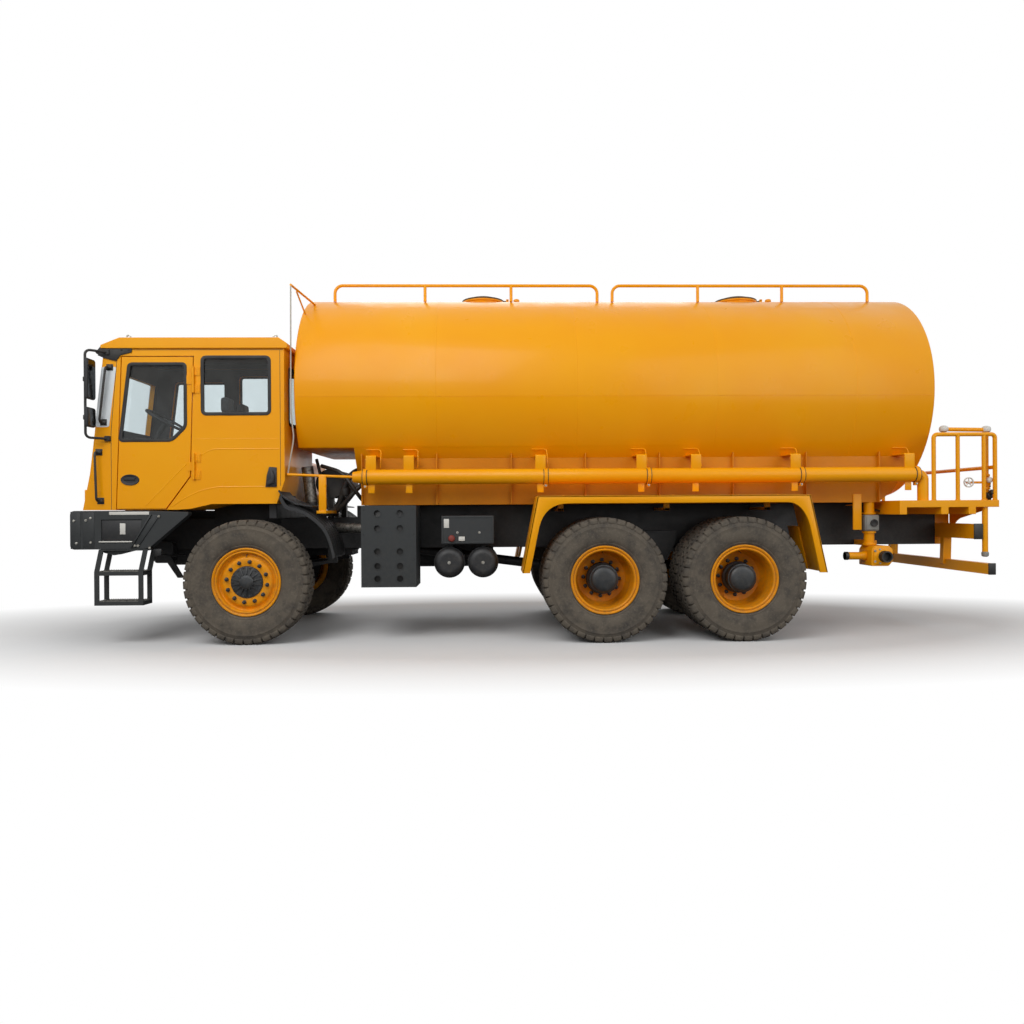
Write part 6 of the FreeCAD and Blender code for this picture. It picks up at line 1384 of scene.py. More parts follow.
@dataclass
class CabTrim:
    """What a coachbuilder adds to the bare cab: gaskets, seams, creases, visor wings, handle and catches."""

    left: float = -1.205
    right: float = 0.070
    seam: float = 0.0035
    crease: float = 0.012
    door_window: Profile = ((-1.334, 2.106), (-0.779, 2.106), (-0.626, 2.256), (-0.626, 2.932),
                            (-1.233, 2.932))

    def gaskets(self) -> Object:
        """Rubber frames round the fixed windows on both sides, the back window and the windscreen."""
        side = placed([(-0.483, 2.378), (0.243, 2.378), (0.243, 3.002), (-0.483, 3.002)])
        back = [(-1.029, 2.286), (-0.106, 2.286), (-0.106, 2.918), (-1.029, 2.918)]
        inner = self.right - 0.014
        return join("window_gaskets", [
            self.gasket("gasket_left", side, Plane.XZ, self.left - 0.006, 0.055),
            self.gasket("gasket_right", side, Plane.XZ, inner, 0.055),
            self.gasket("gasket_front_right", placed(self.door_window), Plane.XZ, inner, 0.045),
            self.gasket("gasket_back", back, Plane.YZ, behind(0.364), 0.055)])

    def gasket(self, name: str, outline: Profile, plane: Plane, start: float, corner: float) -> Object:
        """A rubber frame along a window's outline.

        Args:
            name: Its name.
            outline: The window's corners in the plane.
            plane: The plane.
            start: Where it starts along the axis across the plane.
            corner: Rounding of the window's corners.

        Returns:
            The frame.
        """
        return plate(name, outline, plane, start, 0.020, 0.002, corner, 0.034)

    def door_gasket(self) -> Object:
        """Rubber frame round the door's window. It swings with the door."""
        return self.gasket("door_gasket", placed(self.door_window), Plane.XZ, self.left - 0.006, 0.045)

    def line(self, name: str, points: Profile, radius: float, proud: float, face: float,
             way: float) -> Object:
        """A seam or crease: a bead sunk in the panel so that only its crown stands out.

        Args:
            name: Its name.
            points: Its corners, as places behind the front axle and heights.
            radius: The bead's radius.
            proud: How far its crown stands out.
            face: Where the panel's face is.
            way: The side that the face looks to.

        Returns:
            The bead.
        """
        y = face + way * (proud - radius)
        return tube(name, [(behind(x), y, z) for x, z in points], radius, 0.05, 2)

    def creases(self, face: float, way: float) -> Object:
        """Pressed lines of the rear quarter, in the panel's own paint."""
        swage = [(-0.538, 1.930), (-0.470, 1.975), (-0.375, 2.028), (0.318, 2.028)]
        upper = [(-0.538, 2.135), (0.318, 2.135)]
        flange = [(-0.795, 1.430), (-0.640, 1.530), (-0.480, 1.600), (-0.320, 1.634), (0.280, 1.634)]
        names = zip(("swage", "upper", "flange"), (swage, upper, flange), (0.0030, 0.0012, 0.0030))
        return join("cab_creases", [self.line(name, points, self.crease, proud, face, way)
                                    for name, points, proud in names])

    def seams(self, face: float, way: float) -> Object:
        """Dark joints between panels: front pillar, roof gutter and rear corner."""
        lines = {"pillar": [(-1.409, 1.405), (-1.409, 2.210), (-1.340, 3.000)],
                 "gutter": [(-1.300, 3.062), (0.372, 3.062)], "corner": [(0.336, 1.640), (0.336, 3.060)]}
        return join("cab_seams", [self.line(name, points, self.seam, 0.0012, face, way)
                                  for name, points in lines.items()])

    def door_crease(self) -> Object:
        """The slanting pressed line across the door's lower corner."""
        return self.line("door_crease", [(-1.060, 1.440), (-0.622, 1.890)], self.crease, 0.003, self.left,
                         -1.0)

    def handle(self) -> Object:
        """Oval bowl of the door's pull handle, with its flap and lock."""
        x, z = behind(-1.217), 1.712
        bowl = lathe("handle_bowl", [(0.0, -0.001), (0.036, -0.001), (0.046, -0.008), (0.057, -0.010),
                                     (0.060, -0.004), (0.060, 0.010), (0.0, 0.010)], Axis.Y, ORIGIN, 48)
        bowl.data.transform(Matrix.Translation((x, self.left, z)) @ Matrix.Diagonal((1.6, 1.0, 0.95, 1.0)))
        flap = block("handle_flap", (x - 0.060, self.left - 0.011, z - 0.004),
                     (x + 0.052, self.left - 0.001, z + 0.026), 0.004)
        lock = lathe("handle_lock", [(0.0, -0.011), (0.009, -0.011), (0.010, -0.004), (0.0, -0.004)], Axis.Y,
                     (x + 0.066, self.left, z), 20)
        return join("door_handle", [bowl, flap, lock])

    def visor_wing(self, face: float, way: float) -> Object:
        """Black side wing of the sun visor, with the mirror arm's upper pad."""
        outline = [(-1.536, 3.004), (-1.503, 3.090), (-1.187, 3.085), (-1.187, 3.036), (-1.300, 3.006),
                   (-1.350, 2.945), (-1.470, 2.975)]
        start = face if way > 0 else face - 0.012
        wing = plate("visor_wing", placed(outline), Plane.XZ, start, 0.012, 0.003)
        bolts = studs("visor_bolts", [(behind(x), face + 0.012 * way, 3.062) for x in (-1.290, -1.215)],
                      Axis.Y, 0.009, 0.008 * way)
        return join("visor_wing", [wing, bolts])

    def screen_returns(self, face: float, way: float) -> Object:
        """Glazed corner of the windscreen that laps round the pillar, on the side and on the front, made as
        an opaque pane whose pale colour is painted brightness of the white surroundings seen in the glass.

        Args:
            face: The cab's side.
            way: The side that the face looks to.

        Returns:
            The corner pane.
        """
        side = [(-1.568, 2.262), (-1.428, 2.262), (-1.350, 2.886), (-1.495, 2.886)]
        start = face - 0.003 if way < 0 else face
        flank = plate("return_flank", placed(side), Plane.XZ, start, 0.003, 0.0, 0.02)
        front = [(-1.5735, 2.262), (-1.5675, 2.262), (-1.4945, 2.886), (-1.5005, 2.886)]
        ends = sorted((face + way * 0.003, face - way * 0.098))
        lap = plate("return_lap", placed(front), Plane.XZ, ends[0], ends[1] - ends[0], 0.0)
        return join("screen_return", [flank, lap])

    def catch(self) -> Object:
        """Black tilt-lock catch at the cab's rear lower corner."""
        x, z = behind(0.235), 1.735
        back = plate("catch_back", [(x - 0.055, z - 0.105), (x + 0.062, z - 0.105), (x + 0.062, z + 0.100),
                                    (x - 0.015, z + 0.105), (x - 0.040, z + 0.020)], Plane.XZ,
                     self.left - 0.012, 0.012)
        hook = plate("catch_hook", [(x - 0.030, z - 0.090), (x + 0.040, z - 0.060), (x + 0.045, z + 0.010),
                                    (x + 0.020, z + 0.075), (x - 0.004, z + 0.070), (x + 0.012, z - 0.020),
                                    (x - 0.035, z - 0.055)], Plane.XZ, self.left - 0.034, 0.024, 0.004)
        pin = bar("catch_pin", (x + 0.020, self.left - 0.040, z - 0.035), (x + 0.020, self.left, z - 0.035),
                  0.014)
        return join("cab_catch", [back, hook, pin])

    def eyes(self) -> Object:
        """Lifting eyes at the roof's four corners."""
        model = lathe("roof_eye", [(0.011, -0.007), (0.026, -0.007), (0.026, 0.007), (0.011, 0.007)], Axis.Y,
                      ORIGIN, 24, 0.002)
        foot = block("roof_eye_foot", (-0.024, -0.016, -0.034), (0.024, 0.016, -0.020), 0.002)
        model = join("roof_eye", [model, foot])
        places = [(behind(x), y, 3.214) for x in (-1.258, 0.268) for y in (-1.120, -0.010)]
        return strewn(model, "roof_eyes", places)

    def hinge_bolts(self) -> Object:
        """Bolts of the cab's hinge leaves."""
        places = [(behind(x), self.left - 0.008, z + step) for z in (2.749, 1.850) for x in (-0.520, -0.498)
                  for step in (-0.115, -0.090, -0.065, 0.065, 0.090, 0.115)]
        return studs("hinge_bolts", places, Axis.Y, 0.0055, -0.005)

    def post(self) -> Object:
        """Painted post at the front lower corner, over the bumper."""
        return block("corner_post", (behind(-1.690), -1.196, 1.402), (behind(-1.640), -1.150, 1.612), 0.006)

    def build(self) -> None:
        """Makes the trim and hangs it on the cab and the door."""
        dress(self.gaskets(), GASKET)
        dress(self.door_gasket(), GASKET, body="door_left")
        dress(self.creases(self.left, -1.0), ENAMEL)
        dress(self.seams(self.left, -1.0), GASKET)
        dress(self.creases(self.right, 1.0), ENAMEL)
        dress(self.door_crease(), ENAMEL, body="door_left")
        dress(self.handle(), CAB_PLASTIC, body="door_left")
        for face, way in ((self.left, -1.0), (self.right, 1.0)):
            dress(self.visor_wing(face, way), GASKET)
            # The corner panes' pale colour is painted brightness of the white surroundings seen in the glass.
            dress(self.screen_returns(face, way), PAINTED_BRIGHT_GLASS)
        dress(self.catch(), CHASSIS_BLACK)
        dress(self.eyes(), ZINC)
        dress(self.hinge_bolts(), ENAMEL)
        dress(self.post(), ENAMEL)


@dataclass
class BumperTrim:
    """Fittings of the bumper's left wing, and the serrated treads of the ladder under it."""

    face: float = -1.250
    bottom: float = 0.993

    def corner_casting(self, way: float) -> Object:
        """Thick corner block at the bumper's end, with its stiffening rib behind."""
        y = self.face * -way
        ends = (y - 0.004, y + 0.010) if way < 0 else (y - 0.010, y + 0.004)
        casting = block("corner_casting", (behind(-1.809), ends[0], 1.000), (behind(-1.706), ends[1], 1.386),
                        0.006)
        rib = block("corner_rib", (behind(-1.684), ends[0], 1.008), (behind(-1.566), ends[1], 1.378), 0.004)
        return join("corner_casting", [casting, rib])

    def lacing(self) -> Object:
        """Slanting strap over the wing's recess, the frame of the recess and the under-skirt."""
        y = self.face
        strap = plate("wing_strap",
                      placed(((-0.990, 1.350), (-0.890, 1.350), (-1.118, 1.012), (-1.196, 1.012))), Plane.XZ,
                      y - 0.009, 0.012, 0.003)
        fold = plate("strap_fold",
                     placed(((-0.990, 1.350), (-0.972, 1.350), (-1.178, 1.012), (-1.196, 1.012))), Plane.XZ,
                     y - 0.022, 0.016, 0.003)
        skirt = plate("under_skirt", placed(((-1.512, 0.992), (-1.100, 0.992), (-1.300, 0.942),
                                                                 (-1.372, 0.932), (-1.470, 0.958))),
                      Plane.XZ, y + 0.004, 0.030, 0.003)
        return join("wing_lacing", [strap, fold, skirt])

    def recess(self) -> Object:
        """Dark pressed floor of the recess."""
        return block("wing_recess", (behind(-1.494), self.face + 0.009, 1.060),
                     (behind(-1.086), self.face + 0.013, 1.294), 0.001)

    def bolts(self) -> Object:
        """Plated bolts of the wing and of its front bracket."""
        y = self.face - 0.003
        near = [(-1.600, 1.318), (-1.648, 1.295), (-1.600, 1.066), (-1.770, 1.290), (-1.745, 1.060),
                (-0.902, 1.332), (-1.150, 1.030), (-1.118, 1.030), (-1.000, 1.006)]
        return studs("wing_bolts", [(behind(x), y - 0.006, z) for x, z in near], Axis.Y, 0.009, -0.008)

    def pale_plates(self) -> Object:
        """Blank reflective strip along the wing's top, a blank plate in the recess and its worn lower lip."""
        y = self.face
        strip = block("wing_strip", (behind(-1.412), y - 0.0025, 1.350), (behind(-1.004), y, 1.382), 0.0008)
        small = block("wing_plate", (behind(-1.308), y + 0.007, 1.148), (behind(-1.252), y + 0.010, 1.262),
                      0.0008)
        lip = block("wing_lip", (behind(-1.520), y - 0.006, 1.066), (behind(-1.178), y + 0.004, 1.079), 0.002)
        return join("wing_plates", [strip, small, lip])

    def hanger(self) -> Object:
        """Black bracket and stay under the wing's foot, beside the steering gear."""
        foot = plate("wing_hanger", placed(((-0.990, 0.992), (-0.900, 0.992), (-0.905, 0.930),
                                                                (-0.960, 0.915), (-0.985, 0.945))),
                     Plane.XZ, -1.205, 0.016, 0.003)
        stay = tube("wing_stay", [(behind(-0.945), -1.196, 0.945), (behind(-0.930), -0.850, 0.900),
                                  (behind(-0.900), -0.560, 0.905)], 0.012, 0.04, 2)
        return join("wing_hanger", [foot, stay])

    def grip(self, height: float) -> Object:
        """Two toothed strips along a tread's long edges, and round studs between them.

        Args:
            height: The tread's top.

        Returns:
            The tread's grip.
        """
        count = 26
        pitch = 0.480 / count
        teeth: list[Pair] = [(behind(-1.548), height - 0.004)]
        for number in range(count):
            x = behind(-1.548) + pitch * number
            teeth += [(x + pitch * 0.1, height + 0.001), (x + pitch * 0.5, height + 0.011),
                      (x + pitch, height + 0.001)]
        teeth.append((behind(-1.548) + 0.480, height - 0.004))
        strips = [plate("tread_teeth", teeth, Plane.XZ, y, 0.004, 0.0) for y in (-1.277, -1.067)]
        dots = [(behind(-1.530) + 0.040 * across, -1.245 + 0.037 * along, height) for across in range(12)
                for along in range(5)]
        return join("tread_grip", [*strips, studs("tread_studs", dots, Axis.Z, 0.008, 0.006, 10)])

    def build(self) -> None:
        """Makes the bumper's and the ladder's fittings."""
        for way in (-1.0, 1.0):
            dress(self.corner_casting(-way), BUMPER_GREY)
        dress(self.lacing(), BUMPER_GREY)
        dress(self.recess(), CHASSIS_BLACK)
        dress(self.bolts(), ZINC)
        dress(self.pale_plates(), WHITE_CAP)
        dress(self.hanger(), CHASSIS_BLACK)
        for height in (0.764, 0.456):
            dress(self.grip(height), WORN_STEEL)


@dataclass
class MirrorArms:
    """Both tube loops with a tall and a small mirror each, and the two bent handrails by the left pillar."""

    front: float = -1.590
    foot: float = -1.440
    low: float = 2.140
    high: float = 3.035
    tube_radius: float = 0.013
    heads: Profile = ((2.526, 2.941), (2.243, 2.445))

    def arm(self, wall: float, out: float) -> Object:
        """The loop with its pads and the clamps of its mirrors.

        Args:
            wall: The cab's side.
            out: Where the loop runs.

        Returns:
            The arm.
        """
        way = math.copysign(1.0, out - wall)
        skin = wall + way * 0.0133
        x, foot = behind(self.front), behind(self.foot)
        loop = tube("mirror_loop", [(foot, skin, self.low), (x, out, self.low), (x, out, self.high),
                                    (foot, skin, self.high)], self.tube_radius, 0.05, 5)
        parts = [loop]
        for height in (self.low, self.high):
            ends = sorted((wall, wall + way * 0.026))
            parts.append(block("mirror_pad", (foot - 0.028, ends[0], height - 0.028),
                               (foot + 0.028, ends[1], height + 0.028), 0.005))
            parts.append(studs("mirror_pad_bolt", [(foot + 0.017, wall + way * 0.026, height + step)
                                                   for step in (-0.017, 0.017)], Axis.Y, 0.005, way * 0.005))
        for low, high in self.heads:
            middle = (low + high) / 2
            parts.append(bar("mirror_stem", (x, out, middle), (x + 0.040, out, middle), 0.011))
            parts.append(block("mirror_clamp", (x - 0.017, out - 0.019, middle - 0.024),
                               (x + 0.019, out + 0.019, middle + 0.024), 0.006))
        return join("mirror_arm", parts)

    def shells(self, out: float) -> Object:
        """Moulded backs of both mirrors."""
        x = behind(-1.566)
        shells = [block("mirror_shell", (x, out - 0.0875, low), (x + 0.044, out + 0.0875, high), 0.021)
                  for low, high in self.heads]
        return join("mirror_shells", shells)

    def faces(self, out: float) -> Object:
        """Silvered glass of both mirrors."""
        x = behind(-1.522)
        outlines = [[(out - 0.074, low + 0.014), (out + 0.074, low + 0.014), (out + 0.074, high - 0.014),
                     (out - 0.074, high - 0.014)] for low, high in self.heads]
        return join("mirror_faces", [plate("mirror_face", outline, Plane.YZ, x - 0.001, 0.0018, 0.0, 0.018)
                                     for outline in outlines])

    def rail(self, low: float, high: float, foot: float, head: float) -> Object:
        """A bent handrail with a flanged foot at each end.

        Args:
            low: Height of its lower foot.
            high: Height of its upper foot.
            foot: Place of its lower foot.
            head: Place of its upper foot.

        Returns:
            The handrail.
        """
        skin, out = -1.2053, -1.2653
        parts = [tube("grab_rail", [(behind(foot), skin, low), (behind(foot), out, low),
                                    (behind(head), out, high), (behind(head), skin, high)], 0.012, 0.036, 5)]
        for place, height in ((foot, low), (head, high)):
            x = behind(place)
            parts.append(block("rail_foot", (x - 0.018, skin - 0.004, height - 0.034),
                               (x + 0.052, skin, height + 0.034), 0.002))
            parts.append(block("rail_bracket", (x - 0.010, skin - 0.030, height - 0.014),
                               (x + 0.048, skin - 0.004, height + 0.014), 0.004))
            parts.append(studs("rail_bolts",
                               [(x + 0.036, skin - 0.004, height + step) for step in (-0.024, 0.024)], Axis.Y,
                               0.006, -0.005))
        return join("grab_rail", parts)

    def build(self) -> None:
        """Makes both mirrors and the handrails."""
        pairs = ((-1.205, -1.365), (0.070, 0.450))
        arms = join("mirror_arms", [self.arm(wall, out) for wall, out in pairs])
        dress(arms, GASKET, ["mirrors"])
        for _, out in pairs:
            dress(self.shells(out), CAB_PLASTIC)
            dress(self.faces(out), MIRROR_FACE)
        rails = join("grab_rails",
                     [self.rail(1.495, 2.001, -1.535, -1.550), self.rail(2.310, 2.880, -1.500, -1.433)])
        dress(rails, HOSE, ["grab_rails"])


@dataclass
class CabInside:
    """Seats and steering wheel, seen through the windows."""

    floor: float = 1.5053
    front: float = -0.835
    depth: float = 0.490
    wheel: Point = (-4.055, -0.800, 2.369)

    def cushion(self, name: str, low: Point, high: Point, lean: float = 0.0) -> Object:
        """A stuffed block with soft edges.

        Args:
            name: Its name.
            low: Its lowest corner.
            high: Its highest corner.
            lean: How far its top stands behind its foot.

        Returns:
            The cushion.
        """
        pad = block(name, low, high, 0.034)
        start_edit(pad)
        bpy.ops.mesh.subdivide(number_cuts=2)
        end_edit()
        finish_with(pad, "SUBSURF", levels=1, render_levels=1)
        shear = Matrix.Identity(4)
        shear[0][2] = lean / (high[2] - low[2])
        shear[0][3] = -low[2] * shear[0][2]
        pad.data.transform(shear)
        return pad

    def seat(self, name: str, side: float, width: float) -> None:
        """One seat: a pressed base, a cushion, a backrest and a headrest on two rods.

        Args:
            name: Whose seat it is.
            side: Its middle.
            width: Its width.
        """
        x, y, half = behind(self.front), side, width / 2
        top = self.floor + 0.330
        base = block(f"{name}_base", (x + 0.070, y - half + 0.070, self.floor),
                     (x + 0.420, y + half - 0.070, top - 0.03), 0.012)
        rods = [bar(f"{name}_rod", (x + 0.470, y + step, top + 0.52), (x + 0.500, y + step, top + 0.66),
                    0.006) for step in (-0.05, 0.05)]
        dress(join(f"{name}_frame", [base, *rods]), CAB_PLASTIC,
              ["seats"] if side < -0.5 else [])
        pads = [self.cushion(f"{name}_cushion", (x, y - half, top - 0.03),
                             (x + self.depth, y + half, top + 0.110)),
                self.cushion(f"{name}_backrest", (x + 0.380, y - half, top + 0.055),
                             (x + 0.490, y + half, top + 0.590), 0.070),
                self.cushion(f"{name}_headrest", (x + 0.450, y - half / 2, top + 0.610),
                             (x + 0.540, y + half / 2, top + 0.780))]
        for pad in pads:
            dress(pad, CLOTH)

    def steering(self) -> Object:
        """Rim with a soft grip, three flat spokes and a boss."""
        ring = [(0.225 + 0.015 * math.cos(turn), 0.015 * math.sin(turn))
                for turn in (math.tau * step / 14 for step in range(14))]
        rim = lathe("wheel_rim", ring, Axis.Z, ORIGIN, 64)
        boss = lathe("wheel_boss",
                     [(0.0, 0.012), (0.040, 0.012), (0.052, 0.004), (0.052, -0.016), (0.0, -0.016)], Axis.Z,
                     ORIGIN, 40, 0.003)
        spoke = block("wheel_spoke", (0.030, -0.016, -0.006), (0.224, 0.016, 0.004), 0.003)
        spokes = ring_of(spoke, 3, Axis.Z, ORIGIN)
        whole = join("steering_wheel_model", [rim, boss, spokes])
        axis = Vector((1.0, 0.0, 1.72)).normalized()
        tilt = axis.to_track_quat("Z", "Y").to_matrix().to_4x4()
        whole.data.transform(Matrix.Translation(self.wheel) @ tilt)
        return whole

    def build(self) -> None:
        """Makes the seats and the steering wheel."""
        self.seat("driver", -0.800, 0.480)
        self.seat("mate", -0.260, 0.420)
        dress(self.steering(), CAB_PLASTIC, ["steering_wheel"], "steering_wheel")


@dataclass
class FenderPair:
    """The long fenders over the rear wheels: folded sheet, a pressed band at the edge, stays and flaps."""

    outer: float = -1.455
    inner: float = -0.955
    sheet: float = 0.014
    top: float = 1.516
    legs: Profile = ((2.845, 0.728), (3.002, 1.516), (5.818, 1.516), (5.992, 0.712))
    stays: Sequence[float] = (3.250, 4.400, 5.500)

    def arch(self, inset: float) -> list[Pair]:
        """The fender's outline, or the line that runs this far inside it."""
        (foot, low), (shoulder, high), (back, _), (heel, heel_low) = self.legs
        return [(behind(foot) + inset, low), (behind(shoulder) + inset, high - inset),
                (behind(back) - inset, high - inset), (behind(heel) - inset, heel_low)]

    def bend(self, start: Pair, corner: Pair, end: Pair) -> list[Pair]:
        """A curve that leaves its start towards a corner and comes to its end from there.

        Args:
            start: Its start.
            corner: The corner that it rounds.
            end: Its end.

        Returns:
            Nine points of the curve.
        """
        points = []
        for step in range(9):
            share = step / 8
            x, z = (a * (1 - share) ** 2 + 2 * share * (1 - share) * b + c * share ** 2
                    for a, b, c in zip(start, corner, end))
            points.append((x, z))
        return points

    def rim_outline(self) -> list[Pair]:
        """The band seen from the side: sharp outside, with long rounded corners inside."""
        low, front, back, heel = self.arch(0.0)
        deep, long = 0.078, 0.240
        x, z = back[0] - deep, back[1] - deep
        line = [low, front, back, heel, (heel[0] - deep, heel[1])]
        line += self.bend((x + 0.235 * 0.30, z - long), (x, z), (x - 0.165, z))
        x = front[0] + deep
        line += self.bend((x + 0.240, z), (x, z), (x - 0.200 * 0.30, z - long))
        line.append((low[0] + deep, low[1]))
        return line

    def one(self) -> Object:
        """The left fender."""
        cover = plate("fender_sheet", self.arch(0.0) + self.arch(self.sheet)[::-1], Plane.XZ, self.outer,
                      self.inner - self.outer, 0.002)
        rim = plate("fender_rim", self.rim_outline(), Plane.XZ, self.outer, 0.030, 0.004)
        parts = [cover, rim]
        for place in self.stays:
            x = behind(place)
            parts.append(block("fender_arm", (x, self.inner - 0.030, 1.360), (x + 0.060, RAIL_FACE, 1.390),
                               0.003))
            parts.append(block("fender_leg", (x, self.inner - 0.030, 1.360),
                               (x + 0.060, self.inner, self.top - 0.007), 0.003))
            parts.append(studs("fender_bolts", [(x + 0.030, y, self.top) for y in (-1.30, -1.05)], Axis.Z,
                               0.010, 0.007))
        for foot, shoulder, way in ((0, 1, 1.0), (3, 2, -1.0)):
            (x, z), (head, high) = self.legs[foot], self.legs[shoulder]
            lean = (head - x) / (high - z)
            near, far = behind(x), behind(x + lean * (1.180 - z))
            near, far, thick = near + 0.016 * way, far + 0.016 * way, 0.014 * way
            parts.append(plate("fender_flap",
                               [(near, z), (near + thick, z), (far + thick, 1.180), (far, 1.180)], Plane.XZ,
                               self.inner - 0.030, 0.310, 0.002))
        return join("rear_fender", parts)

    def build(self) -> None:
        """Makes both fenders."""
        left = self.one()
        right = mirrored(left, "rear_fender_right")
        dress(join("rear_fender_pair", [left, right]), ENAMEL, ["rear_fenders"])


@dataclass
class LeftFlank:
    """Between the axles on the left: the exhaust guard, and fittings of the battery box and air tanks."""

    front: float = 1.168
    rear: float = 1.742
    outer: float = -1.215
    low: float = 0.574
    high: float = 1.430
    columns: Sequence[float] = (1.338, 1.573)
    rows: Sequence[float] = (1.348, 1.190, 0.948, 0.796, 0.664)

    def guard(self) -> list[Object]:
        """Tall guard of folded plate with two rows of rimmed holes, and the dark box inside it."""
        x = (behind(self.front), behind(self.rear))
        face = plate("guard_face", [(x[0], self.low), (x[1], self.low), (x[1], self.high), (x[0], self.high)],
                     Plane.XZ, self.outer, 0.012, 0.0)
        for across in self.columns:
            for up in self.rows:
                hole = bar("guard_hole", (behind(across), self.outer - 0.05, up),
                           (behind(across), self.outer + 0.05, up), 0.036, None, 28)
                finish_with(face, "BOOLEAN", operation="DIFFERENCE", object=hole, solver="EXACT")
                bpy.data.objects.remove(hole)
        soften(face, 0.0)
        lips = [lathe("guard_lip", [(0.034, 0.0), (0.042, 0.0), (0.043, -0.004), (0.034, -0.004)], Axis.Y,
                      (behind(across), self.outer, up), 28) for across in self.columns for up in self.rows]
        box = plate("guard_sides", [(x[0], self.outer + 0.012), (x[0], -0.740), (x[1], -0.740),
                                    (x[1], self.outer + 0.012), (x[1] - 0.010, self.outer + 0.012),
                                    (x[1] - 0.010, -0.750), (x[0] + 0.010, -0.750),
                                    (x[0] + 0.010, self.outer + 0.012)], Plane.XY, self.low,
                    self.high - self.low, 0.0)
        covers = [block("guard_cover", (x[0] + 0.010, self.outer + 0.012, z),
                        (x[1] - 0.010, -0.750, z + 0.010), 0.001) for z in (self.low, self.high - 0.010)]
        stays = [block("guard_stay", (x[0] + 0.060, -0.740, z), (x[0] + 0.120, RAIL_FACE, z + 0.060), 0.003)
                 for z in (0.962, 1.170)]
        heart = block("guard_heart", (x[0] + 0.03, self.outer + 0.030, self.low + 0.02),
                      (x[1] - 0.03, -0.78, self.high - 0.03), 0.02)
        places = [(place + step, self.outer, z) for place, step in ((x[0], 0.030), (x[1], -0.030))
                  for z in (0.62, 0.87, 1.13, 1.39)]
        rim = studs("guard_bolts", places, Axis.Y, 0.008, -0.006)
        return [join("exhaust_guard", [face, *lips, box, *covers, *stays, rim]), heart]

    def battery_fittings(self) -> None:
        """Lid line, isolator knob, blank plate and bolts on the battery box."""
        y = -1.170
        lid = plate("battery_lid", placed([(2.012, 1.028), (2.548, 1.028), (2.548, 1.309),
                                   (2.012, 1.309)]), Plane.XZ, y - 0.004, 0.006, 0.002, 0.010, 0.014)
        dress(lid, BUMPER_GREY)
        pale = [block("battery_plate", (behind(2.030), y - 0.003, 1.190), (behind(2.084), y, 1.285), 0.001),
                block("battery_label", (behind(2.185), y - 0.010, 1.052), (behind(2.250), y - 0.001, 1.098),
                      0.004)]
        dress(join("battery_plates", pale), WHITE_CAP)
        knob = lathe("battery_knob", [(0.0, -0.040), (0.026, -0.038), (0.032, -0.026), (0.028, -0.012),
                                      (0.036, -0.006), (0.036, 0.0), (0.0, 0.0)], Axis.Y,
                     (behind(2.110), y, 1.078), 28, 0.002)
        dress(knob, DULL_RED)
        dress(studs("battery_bolts", [(behind(x), y, 1.140) for x in (2.172, 2.402)], Axis.Y, 0.009, -0.007),
              ZINC)

    def tank_fittings(self) -> None:
        """Rolled rims and plugs of the two air tanks."""
        parts = [lathe("tank_rim", [(0.150, -0.012), (0.163, -0.012), (0.163, 0.004), (0.150, 0.004)], Axis.Y,
                       (behind(place), -1.10, 0.823), 48, 0.002) for place in (2.084, 2.440)]
        plugs = studs("tank_plugs", [(behind(x), -1.172, 0.823) for x in (2.084, 2.440)], Axis.Y, 0.012,
                      -0.012)
        dress(join("tank_rims", parts), CHASSIS_BLACK)
        dress(plugs, ZINC)

    def build(self) -> None:
        """Makes the guard and the fittings."""
        guard, heart = self.guard()
        dress(guard, BUMPER_GREY, ["exhaust_box"])
        dress(heart, HOSE)
        self.battery_fittings()
        self.tank_fittings()


